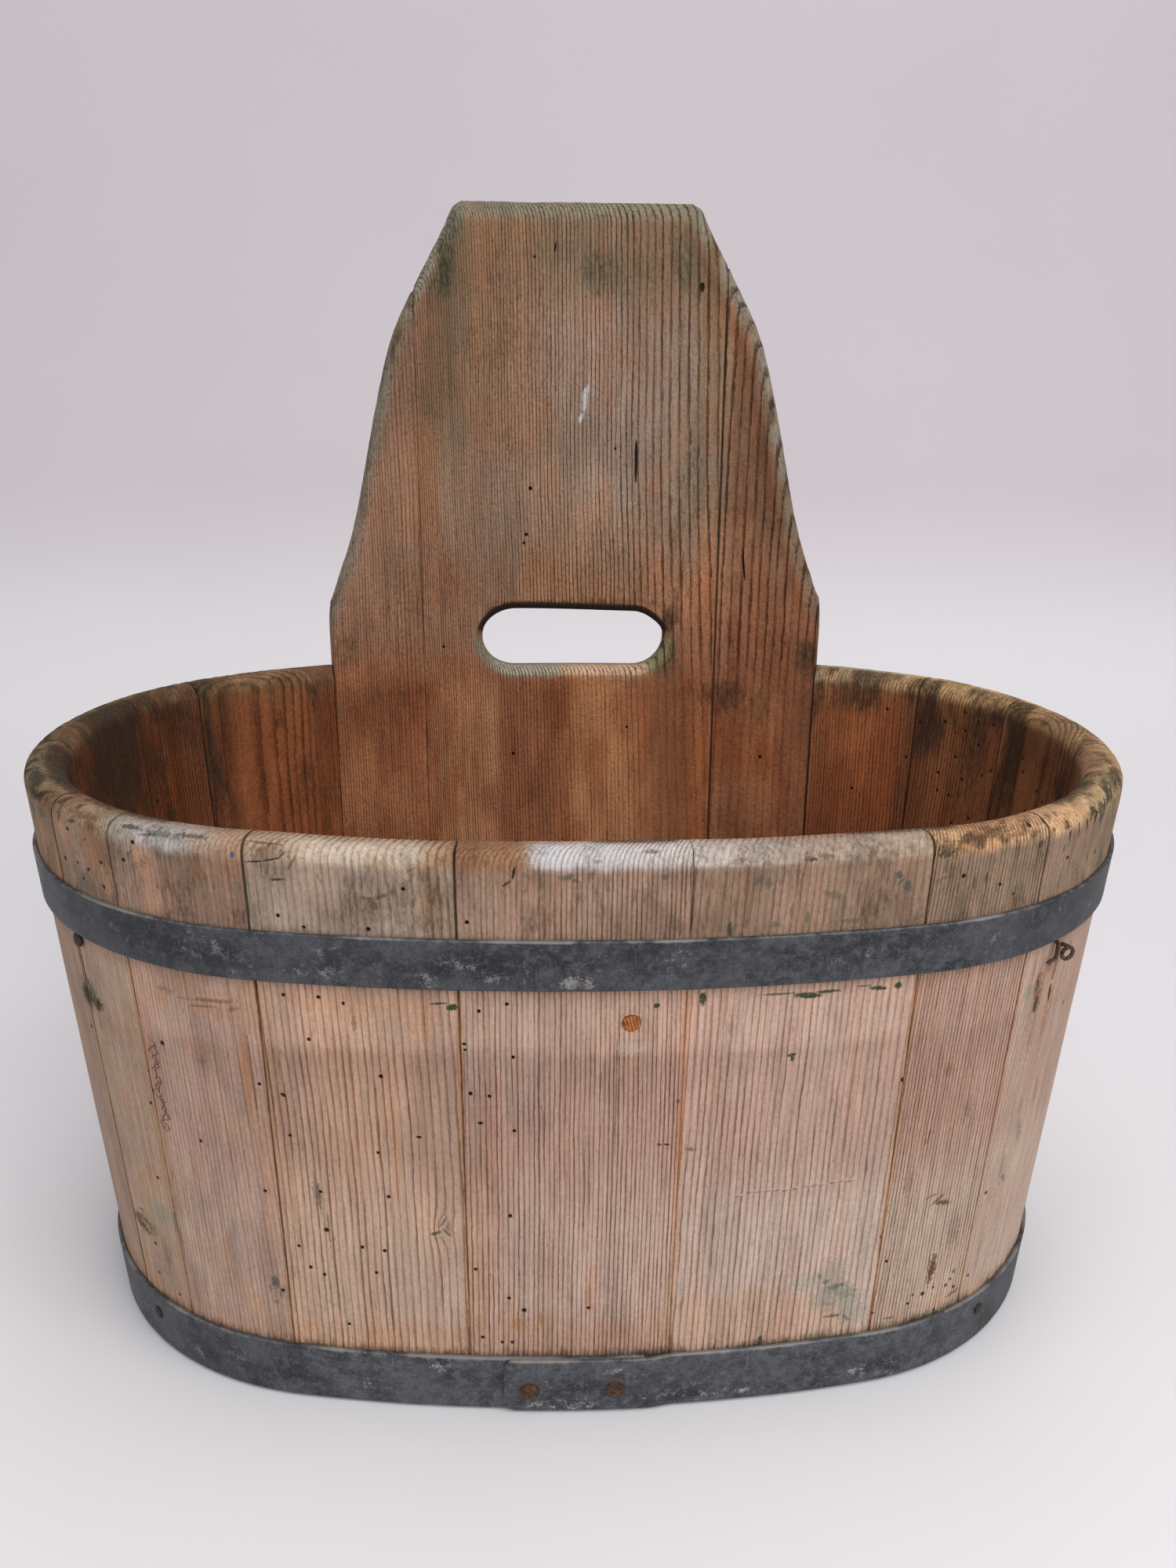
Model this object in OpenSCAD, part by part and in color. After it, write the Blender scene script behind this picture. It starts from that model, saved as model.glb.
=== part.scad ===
// Oval coopered tub with a tall back board that has a hand slot.
// Upright staves stand round a board floor and are held by two riveted hoops.
// +Z is up, the front faces -Y, the ground is z = 0, and the origin is the
// middle of the footprint box.

/* [Wall] */
// Length of the rim from end to end, outside
rim_length = 464; // [430:2:500]
// Width of the rim from front to back, outside
rim_width = 294; // [286:1:310]
// Radius of the two round ends at the rim, outside
end_radius = 138; // [128:1:139]
// Height of the rim above the ground
rim_height = 249; // [235:1:270]
// How far the wall leans out for each millimetre of height
lean = 0.087; // [0.05:0.001:0.11]
// Thickness of the staves
stave_t = 17; // [14:0.5:20]
// Radius of the worn edges of the rim
rim_round = 6.5; // [3:0.5:6.5]
// Gap between neighbouring staves
joint_gap = 0.1; // [0.05:0.05:0.3]

/* [Back board] */
// Height of the board's top above the ground
board_height = 474; // [460:1:490]
// How far the board's middle lies to the right of the tub's middle
board_x = 3; // [0:0.5:5]
// Length of the hand slot
slot_length = 92; // [80:1:100]
// Height of the hand slot
slot_height = 32; // [26:1:36]
// Height of the middle of the hand slot above the ground
slot_z = 262; // [258:1:280]

/* [Floor] */
// Height of the floor's underside above the ground
floor_z = 22; // [16:1:28]
// Thickness of the floor boards
floor_t = 16; // [14:0.5:20]
// Thickness of the floor's edge where it sits in the groove
tongue_t = 8; // [6:0.5:9]
// Depth of the groove cut in the staves
groove_depth = 5; // [3:0.5:6]

/* [Hoops] */
// Thickness of the hoop iron
hoop_t = 1.6; // [1:0.1:2.5]
// Height of the upper hoop's lower edge
upper_z = 195; // [180:1:205]
// Width of the upper hoop
upper_w = 20; // [16:1:24]
// Height of the lower hoop's lower edge
lower_z = 1; // [0.5:0.5:4]
// Width of the lower hoop
lower_w = 26; // [20:1:30]
// Diameter of the rivet shanks
rivet_d = 4; // [3:0.5:5]
// Diameter of the rivet heads
rivet_head_d = 7.6; // [6:0.2:9]

/* [Pegs and nails] */
// Diameter of the dowels that join boards edge to edge
dowel_d = 8; // [6:0.5:9]
// Diameter of the wooden plug in the front
plug_d = 7.2; // [5:0.2:10]
// Diameter of the nail shanks
nail_d = 2.8; // [2:0.1:3.5]
// Diameter of the nail heads
nail_head_d = 6; // [5:0.2:8]

/* [Hidden] */
$fn = 144;

wood = [0.70, 0.56, 0.46];
wood_dark = [0.50, 0.34, 0.24];
iron = [0.36, 0.39, 0.43];
rust = [0.36, 0.22, 0.15];

// Plan of the rim: two end arcs of end_radius about (+-end_x, 0) and two side
// arcs of side_radius about (0, +-side_y), tangent where they meet.
half_l = rim_length / 2;
half_w = rim_width / 2;
end_x = half_l - end_radius;
side_radius = (end_x * end_x + half_w * half_w - end_radius * end_radius)
    / (2 * (half_w - end_radius));
side_y = side_radius - half_w;
side_a = atan2(end_x, side_y);
end_a = 180 - 2 * side_a;
lean_a = atan(lean);
y_shift = lean * (board_height - rim_height) / 2;

// Joints between staves, as shares of the arc they lie on. On the side arcs
// -1 is the left end and 1 the right; on the end arcs 0 is the front and 1
// the back.
front_j = [-1, -0.39, 0.285, 1];
right_j = [0, 0.137, 0.331, 0.444, 0.651, 0.806, 0.972, 1];
left_j = [0, 0.150, 0.250, 0.468, 0.659, 0.772, 0.988, 1];
back_j = [-0.643, 0.638];

// Half outline of the back board, from its top to its shoulder: distance from
// the board's middle and height below the board's top.
outline = [[0, 0], [57, 0], [61.5, 3.5], [66, 13], [72, 24], [81, 41],
    [89.5, 58], [95, 74], [101, 99], [106, 123], [111, 147], [115.5, 164],
    [121.5, 181], [129, 203], [131, 208], [150, 214], [150, 480], [0, 480]];

// Horizontal distance of the outer and inner wall face from an arc's centre.
function r_out(r, z) = r - lean * (rim_height - z);
function r_in(r, z) = r_out(r, z) - stave_t;
tongue_z0 = floor_z + (floor_t - tongue_t) / 2;
tongue_z1 = tongue_z0 + tongue_t;

// Section through a stave: flat foot, leaning faces, rounded top and groove.
function stave_section(r, top) = concat(
    [[r_in(r, 0) + 2, 0], [r_out(r, 0) - 1, 0], [r_out(r, 1), 1]],
    [for (i = [0:5]) let (a = -lean_a + i * (90 + lean_a) / 5, zc = top - rim_round)
        [r_out(r, zc) - rim_round / cos(lean_a) + rim_round * cos(a),
         zc + rim_round * sin(a)]],
    [for (i = [0:5]) let (a = 90 + i * (90 - lean_a) / 5, zc = top - rim_round)
        [r_in(r, zc) + rim_round / cos(lean_a) + rim_round * cos(a),
         zc + rim_round * sin(a)]],
    [[r_in(r, tongue_z1 + 1), tongue_z1 + 1],
     [r_in(r, tongue_z1) + groove_depth, tongue_z1 + 0.1],
     [r_in(r, tongue_z0) + groove_depth, tongue_z0 - 0.1],
     [r_in(r, tongue_z0 - 1), tongue_z0 - 1],
     [r_in(r, 2), 2]]);

// Section through the floor from the arc's centre side to its edge.
function floor_section(r, r0) = [[r0, floor_z],
    [r_in(r, floor_z) - 0.3, floor_z],
    [r_in(r, tongue_z0) - 0.3, tongue_z0],
    [r_in(r, tongue_z0) + groove_depth - 0.5, tongue_z0],
    [r_in(r, tongue_z1) + groove_depth - 0.5, tongue_z1],
    [r_in(r, tongue_z1) - 0.3, tongue_z1],
    [r_in(r, floor_z + floor_t) - 0.3, floor_z + floor_t],
    [r0, floor_z + floor_t]];

// Section through a hoop that lies on the wall, lift above the wood.
function hoop_section(r, z, w, lift, t) = [
    [r_out(r, z) + lift, z], [r_out(r, z) + lift + t, z],
    [r_out(r, z + w) + lift + t, z + w], [r_out(r, z + w) + lift, z + w]];

// One arc's worth of a section, between two shares of the arc.
module on_front(f0, f1, g0 = 0, g1 = 0)
    translate([0, side_y - y_shift, 0]) rotate([0, 0, 270 + f0 * side_a + g0])
        rotate_extrude(angle = (f1 - f0) * side_a - g0 - g1) children();
module on_back(f0, f1, g0 = 0, g1 = 0)
    translate([0, -side_y - y_shift, 0]) rotate([0, 0, 90 - f1 * side_a + g1])
        rotate_extrude(angle = (f1 - f0) * side_a - g0 - g1) children();
module on_right(f0, f1, g0 = 0, g1 = 0)
    translate([end_x, -y_shift, 0]) rotate([0, 0, 270 + side_a + f0 * end_a + g0])
        rotate_extrude(angle = (f1 - f0) * end_a - g0 - g1) children();
module on_left(f0, f1, g0 = 0, g1 = 0)
    translate([-end_x, -y_shift, 0]) rotate([0, 0, 270 - side_a - f1 * end_a + g1])
        rotate_extrude(angle = (f1 - f0) * end_a - g0 - g1) children();

// Half of the joint gap as an angle, on the side arcs and on the end arcs.
gs = joint_gap / 2 / side_radius * 180 / PI;
ge = joint_gap / 2 / end_radius * 180 / PI;

// Puts a thing on the outer wall face, its +Z pointing straight out of it.
module at_front(f, z) translate([0, side_y - y_shift, 0])
    rotate([0, 0, 270 + f * side_a]) translate([r_out(side_radius, z), 0, z])
        rotate([0, 90 + lean_a, 0]) children();
module at_back(f, z) translate([0, -side_y - y_shift, 0])
    rotate([0, 0, 90 - f * side_a]) translate([r_out(side_radius, z), 0, z])
        rotate([0, 90 + lean_a, 0]) children();
module at_right(f, z) translate([end_x, -y_shift, 0])
    rotate([0, 0, 270 + side_a + f * end_a]) translate([r_out(end_radius, z), 0, z])
        rotate([0, 90 + lean_a, 0]) children();
module at_left(f, z) translate([-end_x, -y_shift, 0])
    rotate([0, 0, 270 - side_a - f * end_a]) translate([r_out(end_radius, z), 0, z])
        rotate([0, 90 + lean_a, 0]) children();

module short_side() polygon(stave_section(side_radius, rim_height));
module short_end() polygon(stave_section(end_radius, rim_height));
module tall_side() polygon(stave_section(side_radius, board_height));

// Where the nails, rivets and the plug go: share of the arc and height.
plug_at = [0.122, 181];
lower_nail_left = [0.219, 17];
lower_nail_right = [0.179, 18];
upper_nail_left = [0.238, 191.6];
bent_nail_a = [0.187, 193.4];
bent_nail_b = [0.204, 190];
lower_rivets = [[-0.189, 12], [0.102, 12.5]];
upper_rivets = [[-0.30, 205], [-0.05, 205]];
lower_lap = [-0.275, 0.20];
upper_lap = [-0.40, 0.05];

bent_d = 1.9;
module nail_bore(d = nail_d) translate([0, 0, -12]) cylinder(d = d, h = 16);

// ---- wall staves ----
module front_stave_left() color(wood)
    on_front(front_j[0], front_j[1], gs, gs) short_side();
module front_stave_middle() color(wood) difference() {
    on_front(front_j[1], front_j[2], gs, gs) short_side();
    at_front(plug_at[0], plug_at[1]) translate([0, 0, -30])
        cylinder(d = plug_d, h = 40);
}
module front_stave_right() color(wood)
    on_front(front_j[2], front_j[3], gs, gs) short_side();
module front_right_corner_stave() color(wood)
    on_right(right_j[0], right_j[1], ge, ge) short_end();
module right_end_stave_front() color(wood) difference() {
    on_right(right_j[1], right_j[2], ge, ge) short_end();
    at_right(lower_nail_right[0], lower_nail_right[1]) nail_bore();
    at_right(bent_nail_a[0], bent_nail_a[1]) nail_bore(bent_d + 0.06);
    at_right(bent_nail_b[0], bent_nail_b[1]) nail_bore(bent_d + 0.06);
}
module right_end_stave_middle() color(wood)
    on_right(right_j[2], right_j[3], ge, ge) short_end();
module right_end_stave_back() color(wood)
    on_right(right_j[3], right_j[4], ge, ge) short_end();
module back_right_corner_stave() color(wood)
    on_right(right_j[4], right_j[5], ge, ge) short_end();
module back_stave_right() color(wood)
    on_right(right_j[5], right_j[6], ge, ge) short_end();
module front_left_corner_stave() color(wood)
    on_left(left_j[0], left_j[1], ge, ge) short_end();
module left_end_stave_front() color(wood) difference() {
    on_left(left_j[1], left_j[2], ge, ge) short_end();
    at_left(lower_nail_left[0], lower_nail_left[1]) nail_bore();
    at_left(upper_nail_left[0], upper_nail_left[1]) nail_bore();
}
module left_end_stave_middle() color(wood)
    on_left(left_j[2], left_j[3], ge, ge) short_end();
module left_end_stave_back() color(wood)
    on_left(left_j[3], left_j[4], ge, ge) short_end();
module back_left_corner_stave() color(wood)
    on_left(left_j[4], left_j[5], ge, ge) short_end();
module back_stave_left() color(wood)
    on_left(left_j[5], left_j[6], ge, ge) short_end();

// ---- tall back board: three staves that share one outline ----
module board_shape() translate([board_x, 300, board_height])
    rotate([90, 0, 0]) linear_extrude(height = 400)
        polygon(concat([for (p = outline) [p[0], -p[1]]],
            [for (i = [len(outline) - 1:-1:0]) [-outline[i][0], -outline[i][1]]]));

// Dowel holes across the board's two joints, at two heights.
module board_pins(r, l) for (f = back_j, z = [300, 368])
    translate([0, -side_y - y_shift, 0]) rotate([0, 0, 90 - f * side_a])
        translate([r_out(side_radius, z) - stave_t / 2, 0, z])
            rotate([90, 0, 0]) cylinder(r = r, h = l, center = true);

module hand_slot() translate([board_x - 0.5,
        half_w - stave_t / 2 + lean * (slot_z - rim_height) - y_shift, slot_z])
    rotate([-90 - lean_a, 0, 0]) {
        for (s = [-1, 1]) translate([s * (slot_length - slot_height) / 2, 0, -30])
            cylinder(d = slot_height, h = 60);
        translate([-(slot_length - slot_height) / 2, -slot_height / 2, -30])
            cube([slot_length - slot_height, slot_height, 60]);
    }

module board_stave_middle() color(wood) difference() {
    intersection() {
        on_back(back_j[0], back_j[1], gs, gs) tall_side();
        board_shape();
    }
    hand_slot();
    board_pins(dowel_d / 2, 26);
}
// The outer board staves keep the side arc's curve and are cut off flat where
// they meet the round ends' first staves.
module board_stave_right() color(wood) difference() {
    intersection() {
        on_back(back_j[1], 1.25, gs, 0) tall_side();
        board_shape();
    }
    translate([end_x, -y_shift, 0]) rotate([0, 0, 270 + side_a + right_j[6] * end_a])
        translate([-60, -300 + joint_gap / 2, -1]) cube([400, 300, 600]);
    board_pins(dowel_d / 2, 26);
}
module board_stave_left() color(wood) difference() {
    intersection() {
        on_back(-1.25, back_j[0], 0, gs) tall_side();
        board_shape();
    }
    translate([-end_x, -y_shift, 0]) rotate([0, 0, 270 - side_a - left_j[6] * end_a])
        translate([-60, -joint_gap / 2, -1]) cube([400, 300, 600]);
    board_pins(dowel_d / 2, 26);
}
module board_dowels() color(wood_dark) board_pins(dowel_d / 2 - 0.05, 25);

// ---- floor: three boards that run the length of the tub ----
board_w = r_in(half_w, floor_z + floor_t / 2) * 2 / 3;
module whole_floor() {
    on_front(-1, 1) polygon(floor_section(side_radius, side_y - 1));
    on_back(-1, 1) polygon(floor_section(side_radius, side_y - 1));
    on_right(0, 1) polygon(floor_section(end_radius, 0));
    on_left(0, 1) polygon(floor_section(end_radius, 0));
}
module floor_pins(r, l) for (s = [-1, 1], x = [-110, 0, 110])
    translate([x, s * board_w / 2 - y_shift, floor_z + floor_t / 2])
        rotate([90, 0, 0]) cylinder(r = r, h = l, center = true);
module floor_cut(y0, y1) difference() {
    intersection() {
        whole_floor();
        translate([-half_l, y0 - y_shift, 0]) cube([rim_length, y1 - y0, 100]);
    }
    floor_pins(dowel_d / 2, 34);
}
module floor_board_front() color(wood_dark)
    floor_cut(-half_w, -board_w / 2 - 0.05);
module floor_board_middle() color(wood_dark)
    floor_cut(-board_w / 2 + 0.05, board_w / 2 - 0.05);
module floor_board_back() color(wood_dark)
    floor_cut(board_w / 2 + 0.05, half_w);
module floor_dowels() color(wood) floor_pins(dowel_d / 2 - 0.05, 33);

// ---- hoops, each one strip bent round and riveted where its ends lap ----
module ring(z, w, lift, t) {
    on_front(-1, 1) polygon(hoop_section(side_radius, z, w, lift, t));
    on_right(0, 1) polygon(hoop_section(end_radius, z, w, lift, t));
    on_back(-1, 1) polygon(hoop_section(side_radius, z, w, lift, t));
    on_left(0, 1) polygon(hoop_section(end_radius, z, w, lift, t));
}
module upper_hoop() color(iron) difference() {
    union() {
        ring(upper_z, upper_w, 0.05, hoop_t);
        on_back(upper_lap[0], upper_lap[1])
            polygon(hoop_section(side_radius, upper_z, upper_w, hoop_t, hoop_t));
    }
    for (p = upper_rivets) at_back(p[0], p[1]) translate([0, 0, -5])
        cylinder(d = rivet_d, h = 20);
}
module lower_hoop() color(iron) difference() {
    union() {
        ring(lower_z, lower_w, 0.05, hoop_t);
        on_front(lower_lap[0], lower_lap[1])
            polygon(hoop_section(side_radius, lower_z, lower_w, hoop_t, hoop_t));
    }
    for (p = lower_rivets) at_front(p[0], p[1]) translate([0, 0, -5])
        cylinder(d = rivet_d, h = 20);
    at_left(lower_nail_left[0], lower_nail_left[1]) nail_bore();
    at_right(lower_nail_right[0], lower_nail_right[1]) nail_bore();
}

// A rivet's shank fills both layers of the strip and its low dome stands proud.
module rivet() {
    translate([0, 0, 0.1]) cylinder(d = rivet_d - 0.06, h = 2 * hoop_t + 0.4);
    translate([0, 0, 2 * hoop_t + 0.05]) intersection() {
        translate([0, 0, 1.7 - rivet_head_d * 0.7]) sphere(r = rivet_head_d * 0.7);
        cylinder(d = rivet_head_d, h = 4);
    }
}
module upper_hoop_rivets() color(rust)
    for (p = upper_rivets) at_back(p[0], p[1]) rivet();
module lower_hoop_rivets() color(rust)
    for (p = lower_rivets) at_front(p[0], p[1]) rivet();

// A nail driven straight in, its head standing lift above the wood.
module nail(lift) {
    translate([0, 0, -11.5]) cylinder(d = nail_d - 0.06, h = 11.6 + lift);
    translate([0, 0, lift]) cylinder(d = nail_head_d, h = 1);
}
module lower_hoop_nails() color(rust) {
    at_left(lower_nail_left[0], lower_nail_left[1]) nail(hoop_t + 0.1);
    at_right(lower_nail_right[0], lower_nail_right[1]) nail(hoop_t + 0.1);
}
module upper_hoop_nail() color(rust)
    at_left(upper_nail_left[0], upper_nail_left[1]) nail(0.05);

// A nail that was bent down below the hoop, sideways and down again.
module zig_nail() {
    translate([0, 0, -11.5]) cylinder(d = bent_d, h = 12.8);
    for (p = [[0, 0], [8, 0], [8, -3.8]]) translate([p[0], p[1], 1.3])
        sphere(d = bent_d);
    translate([0, 0, 1.3]) rotate([0, 90, 0]) cylinder(d = bent_d, h = 8);
    translate([8, 0, 1.3]) rotate([90, 0, 0]) cylinder(d = bent_d, h = 3.8);
    translate([8, -3.8, 1.3]) rotate([0, 90, 0]) cylinder(d = bent_d, h = 4);
}
// A nail whose end was curled into an eye.
module eye_nail() {
    translate([0, 0, -11.5]) cylinder(d = bent_d, h = 12.8);
    translate([0, -1.9, 1.3]) rotate_extrude() translate([1.9, 0])
        circle(d = bent_d);
}
module bent_nails() color(rust) {
    at_right(bent_nail_a[0], bent_nail_a[1]) zig_nail();
    at_right(bent_nail_b[0], bent_nail_b[1]) eye_nail();
}

// A round wooden plug that fills an old hole through the front.
module front_plug() color(wood_dark) at_front(plug_at[0], plug_at[1])
    translate([0, 0, -stave_t + 0.4]) cylinder(d = plug_d - 0.06, h = stave_t - 0.4);

front_stave_left();
front_stave_middle();
front_stave_right();
front_right_corner_stave();
right_end_stave_front();
right_end_stave_middle();
right_end_stave_back();
back_right_corner_stave();
back_stave_right();
board_stave_right();
board_stave_middle();
board_stave_left();
back_stave_left();
back_left_corner_stave();
left_end_stave_back();
left_end_stave_middle();
left_end_stave_front();
front_left_corner_stave();
floor_board_front();
floor_board_middle();
floor_board_back();
floor_dowels();
board_dowels();
upper_hoop();
upper_hoop_rivets();
lower_hoop();
lower_hoop_rivets();
lower_hoop_nails();
upper_hoop_nail();
bent_nails();
front_plug();
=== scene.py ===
import bpy
import math
import numpy as np
from mathutils import Matrix, Vector


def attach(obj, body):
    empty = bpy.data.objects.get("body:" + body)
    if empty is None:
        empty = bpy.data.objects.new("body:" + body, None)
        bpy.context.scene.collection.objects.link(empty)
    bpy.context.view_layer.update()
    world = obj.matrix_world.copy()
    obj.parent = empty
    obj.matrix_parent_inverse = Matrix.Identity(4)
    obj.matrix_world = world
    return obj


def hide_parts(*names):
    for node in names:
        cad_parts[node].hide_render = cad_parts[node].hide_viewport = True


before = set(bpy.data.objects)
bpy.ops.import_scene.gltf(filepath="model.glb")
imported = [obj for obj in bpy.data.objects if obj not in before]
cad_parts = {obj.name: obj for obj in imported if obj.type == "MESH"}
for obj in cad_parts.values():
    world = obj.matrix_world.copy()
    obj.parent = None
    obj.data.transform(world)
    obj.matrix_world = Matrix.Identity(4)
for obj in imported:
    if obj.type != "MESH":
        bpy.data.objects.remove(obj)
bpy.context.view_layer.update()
pieces_made = []

# ---------------------------------------------------------------- dimensions
# Millimetres, the same plan as the solids: two end arcs and two side arcs.
RE, EX, RS, SY, YS = 138.0, 94.0, 11401.0 / 18.0, 11401.0 / 18.0 - 147.0, 9.7875
LEAN, RIM, TOP, TH = 0.087, 249.0, 474.0, 17.0
SA = math.atan2(EX, SY)
EA = math.pi - 2 * SA
LS, LE = RS * SA, RE * EA
HALF = 2 * LS + LE
FRONT = (0.0, SY - YS, RS)
BACK = (0.0, -SY - YS, RS)
RIGHT = (EX, -YS, RE)
LEFT = (-EX, -YS, RE)
LEAN_A = math.atan(LEAN)
HOOP = 1.6


# ---------------------------------------------------------------- noise
def _hash(ix, iy, iz, seed):
    h = (ix * 374761393 + iy * 668265263 + iz * 1103515245 + seed * 974711) & 0xFFFFFFFF
    h = ((h ^ (h >> 13)) * 1274126177) & 0xFFFFFFFF
    h = ((h ^ (h >> 16)) * 1911520717) & 0xFFFFFFFF
    return ((h ^ (h >> 15)) & 0xFFFFFF) / float(0xFFFFFF)


def vnoise(x, y, z, seed=0):
    """Smooth value noise between 0 and 1."""
    x, y, z = np.broadcast_arrays(np.asarray(x, float), np.asarray(y, float), np.asarray(z, float))
    fx, fy, fz = np.floor(x), np.floor(y), np.floor(z)
    ix, iy, iz = fx.astype(np.int64), fy.astype(np.int64), fz.astype(np.int64)
    x, y, z = x - fx, y - fy, z - fz
    x, y, z = x * x * (3 - 2 * x), y * y * (3 - 2 * y), z * z * (3 - 2 * z)
    out = 0.0
    for a in (0, 1):
        for b in (0, 1):
            for c in (0, 1):
                w = (x if a else 1 - x) * (y if b else 1 - y) * (z if c else 1 - z)
                out = out + w * _hash(ix + a, iy + b, iz + c, seed)
    return out


def fbm(x, y, z, seed=0, octaves=3, gain=0.5):
    total, norm, amp, f = 0.0, 0.0, 1.0, 1.0
    for k in range(octaves):
        total = total + amp * vnoise(np.asarray(x) * f + 17.3 * k, np.asarray(y) * f + 5.1 * k, np.asarray(z) * f + 9.7 * k, seed + k)
        norm += amp
        amp *= gain
        f *= 2.03
    return total / norm


def smooth(a, b, x):
    t = np.clip((np.asarray(x, float) - a) / (b - a), 0, 1)
    return t * t * (3 - 2 * t)


def lin(c):
    """sRGB 0-255 to linear."""
    c = np.asarray(c, float) / 255.0
    return np.where(c <= 0.04045, c / 12.92, ((c + 0.055) / 1.055) ** 2.4)


def mixc(a, b, f):
    return a + (b - a) * np.asarray(f)[..., None]


def rounding(s, r):
    """How far a rounded edge of radius r lies back at distance s from the edge."""
    r = np.maximum(np.asarray(r, float), 1e-6)
    k = np.clip(r - s, 0, r)
    return r - np.sqrt(np.maximum(r * r - k * k, 0))


# ---------------------------------------------------------------- mesh helpers
def new_object(name, verts_mm, faces, smooth_shade=True):
    """verts_mm: (n, 3) in millimetres. faces: list of arrays (m, k)."""
    me = bpy.data.meshes.new(name)
    verts = np.asarray(verts_mm, np.float64) * 0.001
    loops = np.concatenate([np.asarray(f, np.int64).ravel() for f in faces if len(f)])
    totals = np.concatenate([np.full(len(f), np.asarray(f).shape[1], np.int64) for f in faces if len(f)])
    starts = np.concatenate([[0], np.cumsum(totals)[:-1]])
    me.vertices.add(len(verts))
    me.vertices.foreach_set("co", verts.astype(np.float32).ravel())
    me.loops.add(len(loops))
    me.loops.foreach_set("vertex_index", loops.astype(np.int32))
    me.polygons.add(len(totals))
    me.polygons.foreach_set("loop_start", starts.astype(np.int32))
    me.polygons.foreach_set("loop_total", totals.astype(np.int32))
    me.update(calc_edges=True)
    me.polygons.foreach_set("use_smooth", np.full(len(totals), smooth_shade))
    me.validate()
    ob = bpy.data.objects.new(name, me)
    bpy.context.scene.collection.objects.link(ob)
    return ob


def set_float(ob, name, values):
    a = ob.data.attributes.new(name, "FLOAT", "POINT")
    a.data.foreach_set("value", np.asarray(values, np.float32).ravel())


def set_vector(ob, name, values):
    a = ob.data.attributes.new(name, "FLOAT_VECTOR", "POINT")
    a.data.foreach_set("vector", np.asarray(values, np.float32).ravel())


def set_color(ob, name, values):
    values = np.asarray(values, np.float32)
    if values.shape[1] == 3:
        values = np.c_[values, np.ones(len(values), np.float32)]
    a = ob.data.attributes.new(name, "FLOAT_COLOR", "POINT")
    a.data.foreach_set("color", values.ravel())


def normals_of(v, faces):
    n = np.zeros_like(v)
    for f in faces:
        if not len(f):
            continue
        f = np.asarray(f)
        a = v[f[:, 2 % f.shape[1]]] - v[f[:, 0]]
        b = v[f[:, 3 % f.shape[1]]] - v[f[:, 1]] if f.shape[1] > 3 else v[f[:, 2]] - v[f[:, 1]]
        c = np.cross(a, b)
        for k in range(f.shape[1]):
            np.add.at(n, f[:, k], c)
    return n / np.maximum(np.linalg.norm(n, axis=1, keepdims=True), 1e-12)


def finish_piece(ob, material, slot, *nodes):
    ob.data.materials.append(material)
    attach(ob, "root")
    if nodes:
        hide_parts(*nodes)
    pieces_made.append(ob)
    return ob


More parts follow.
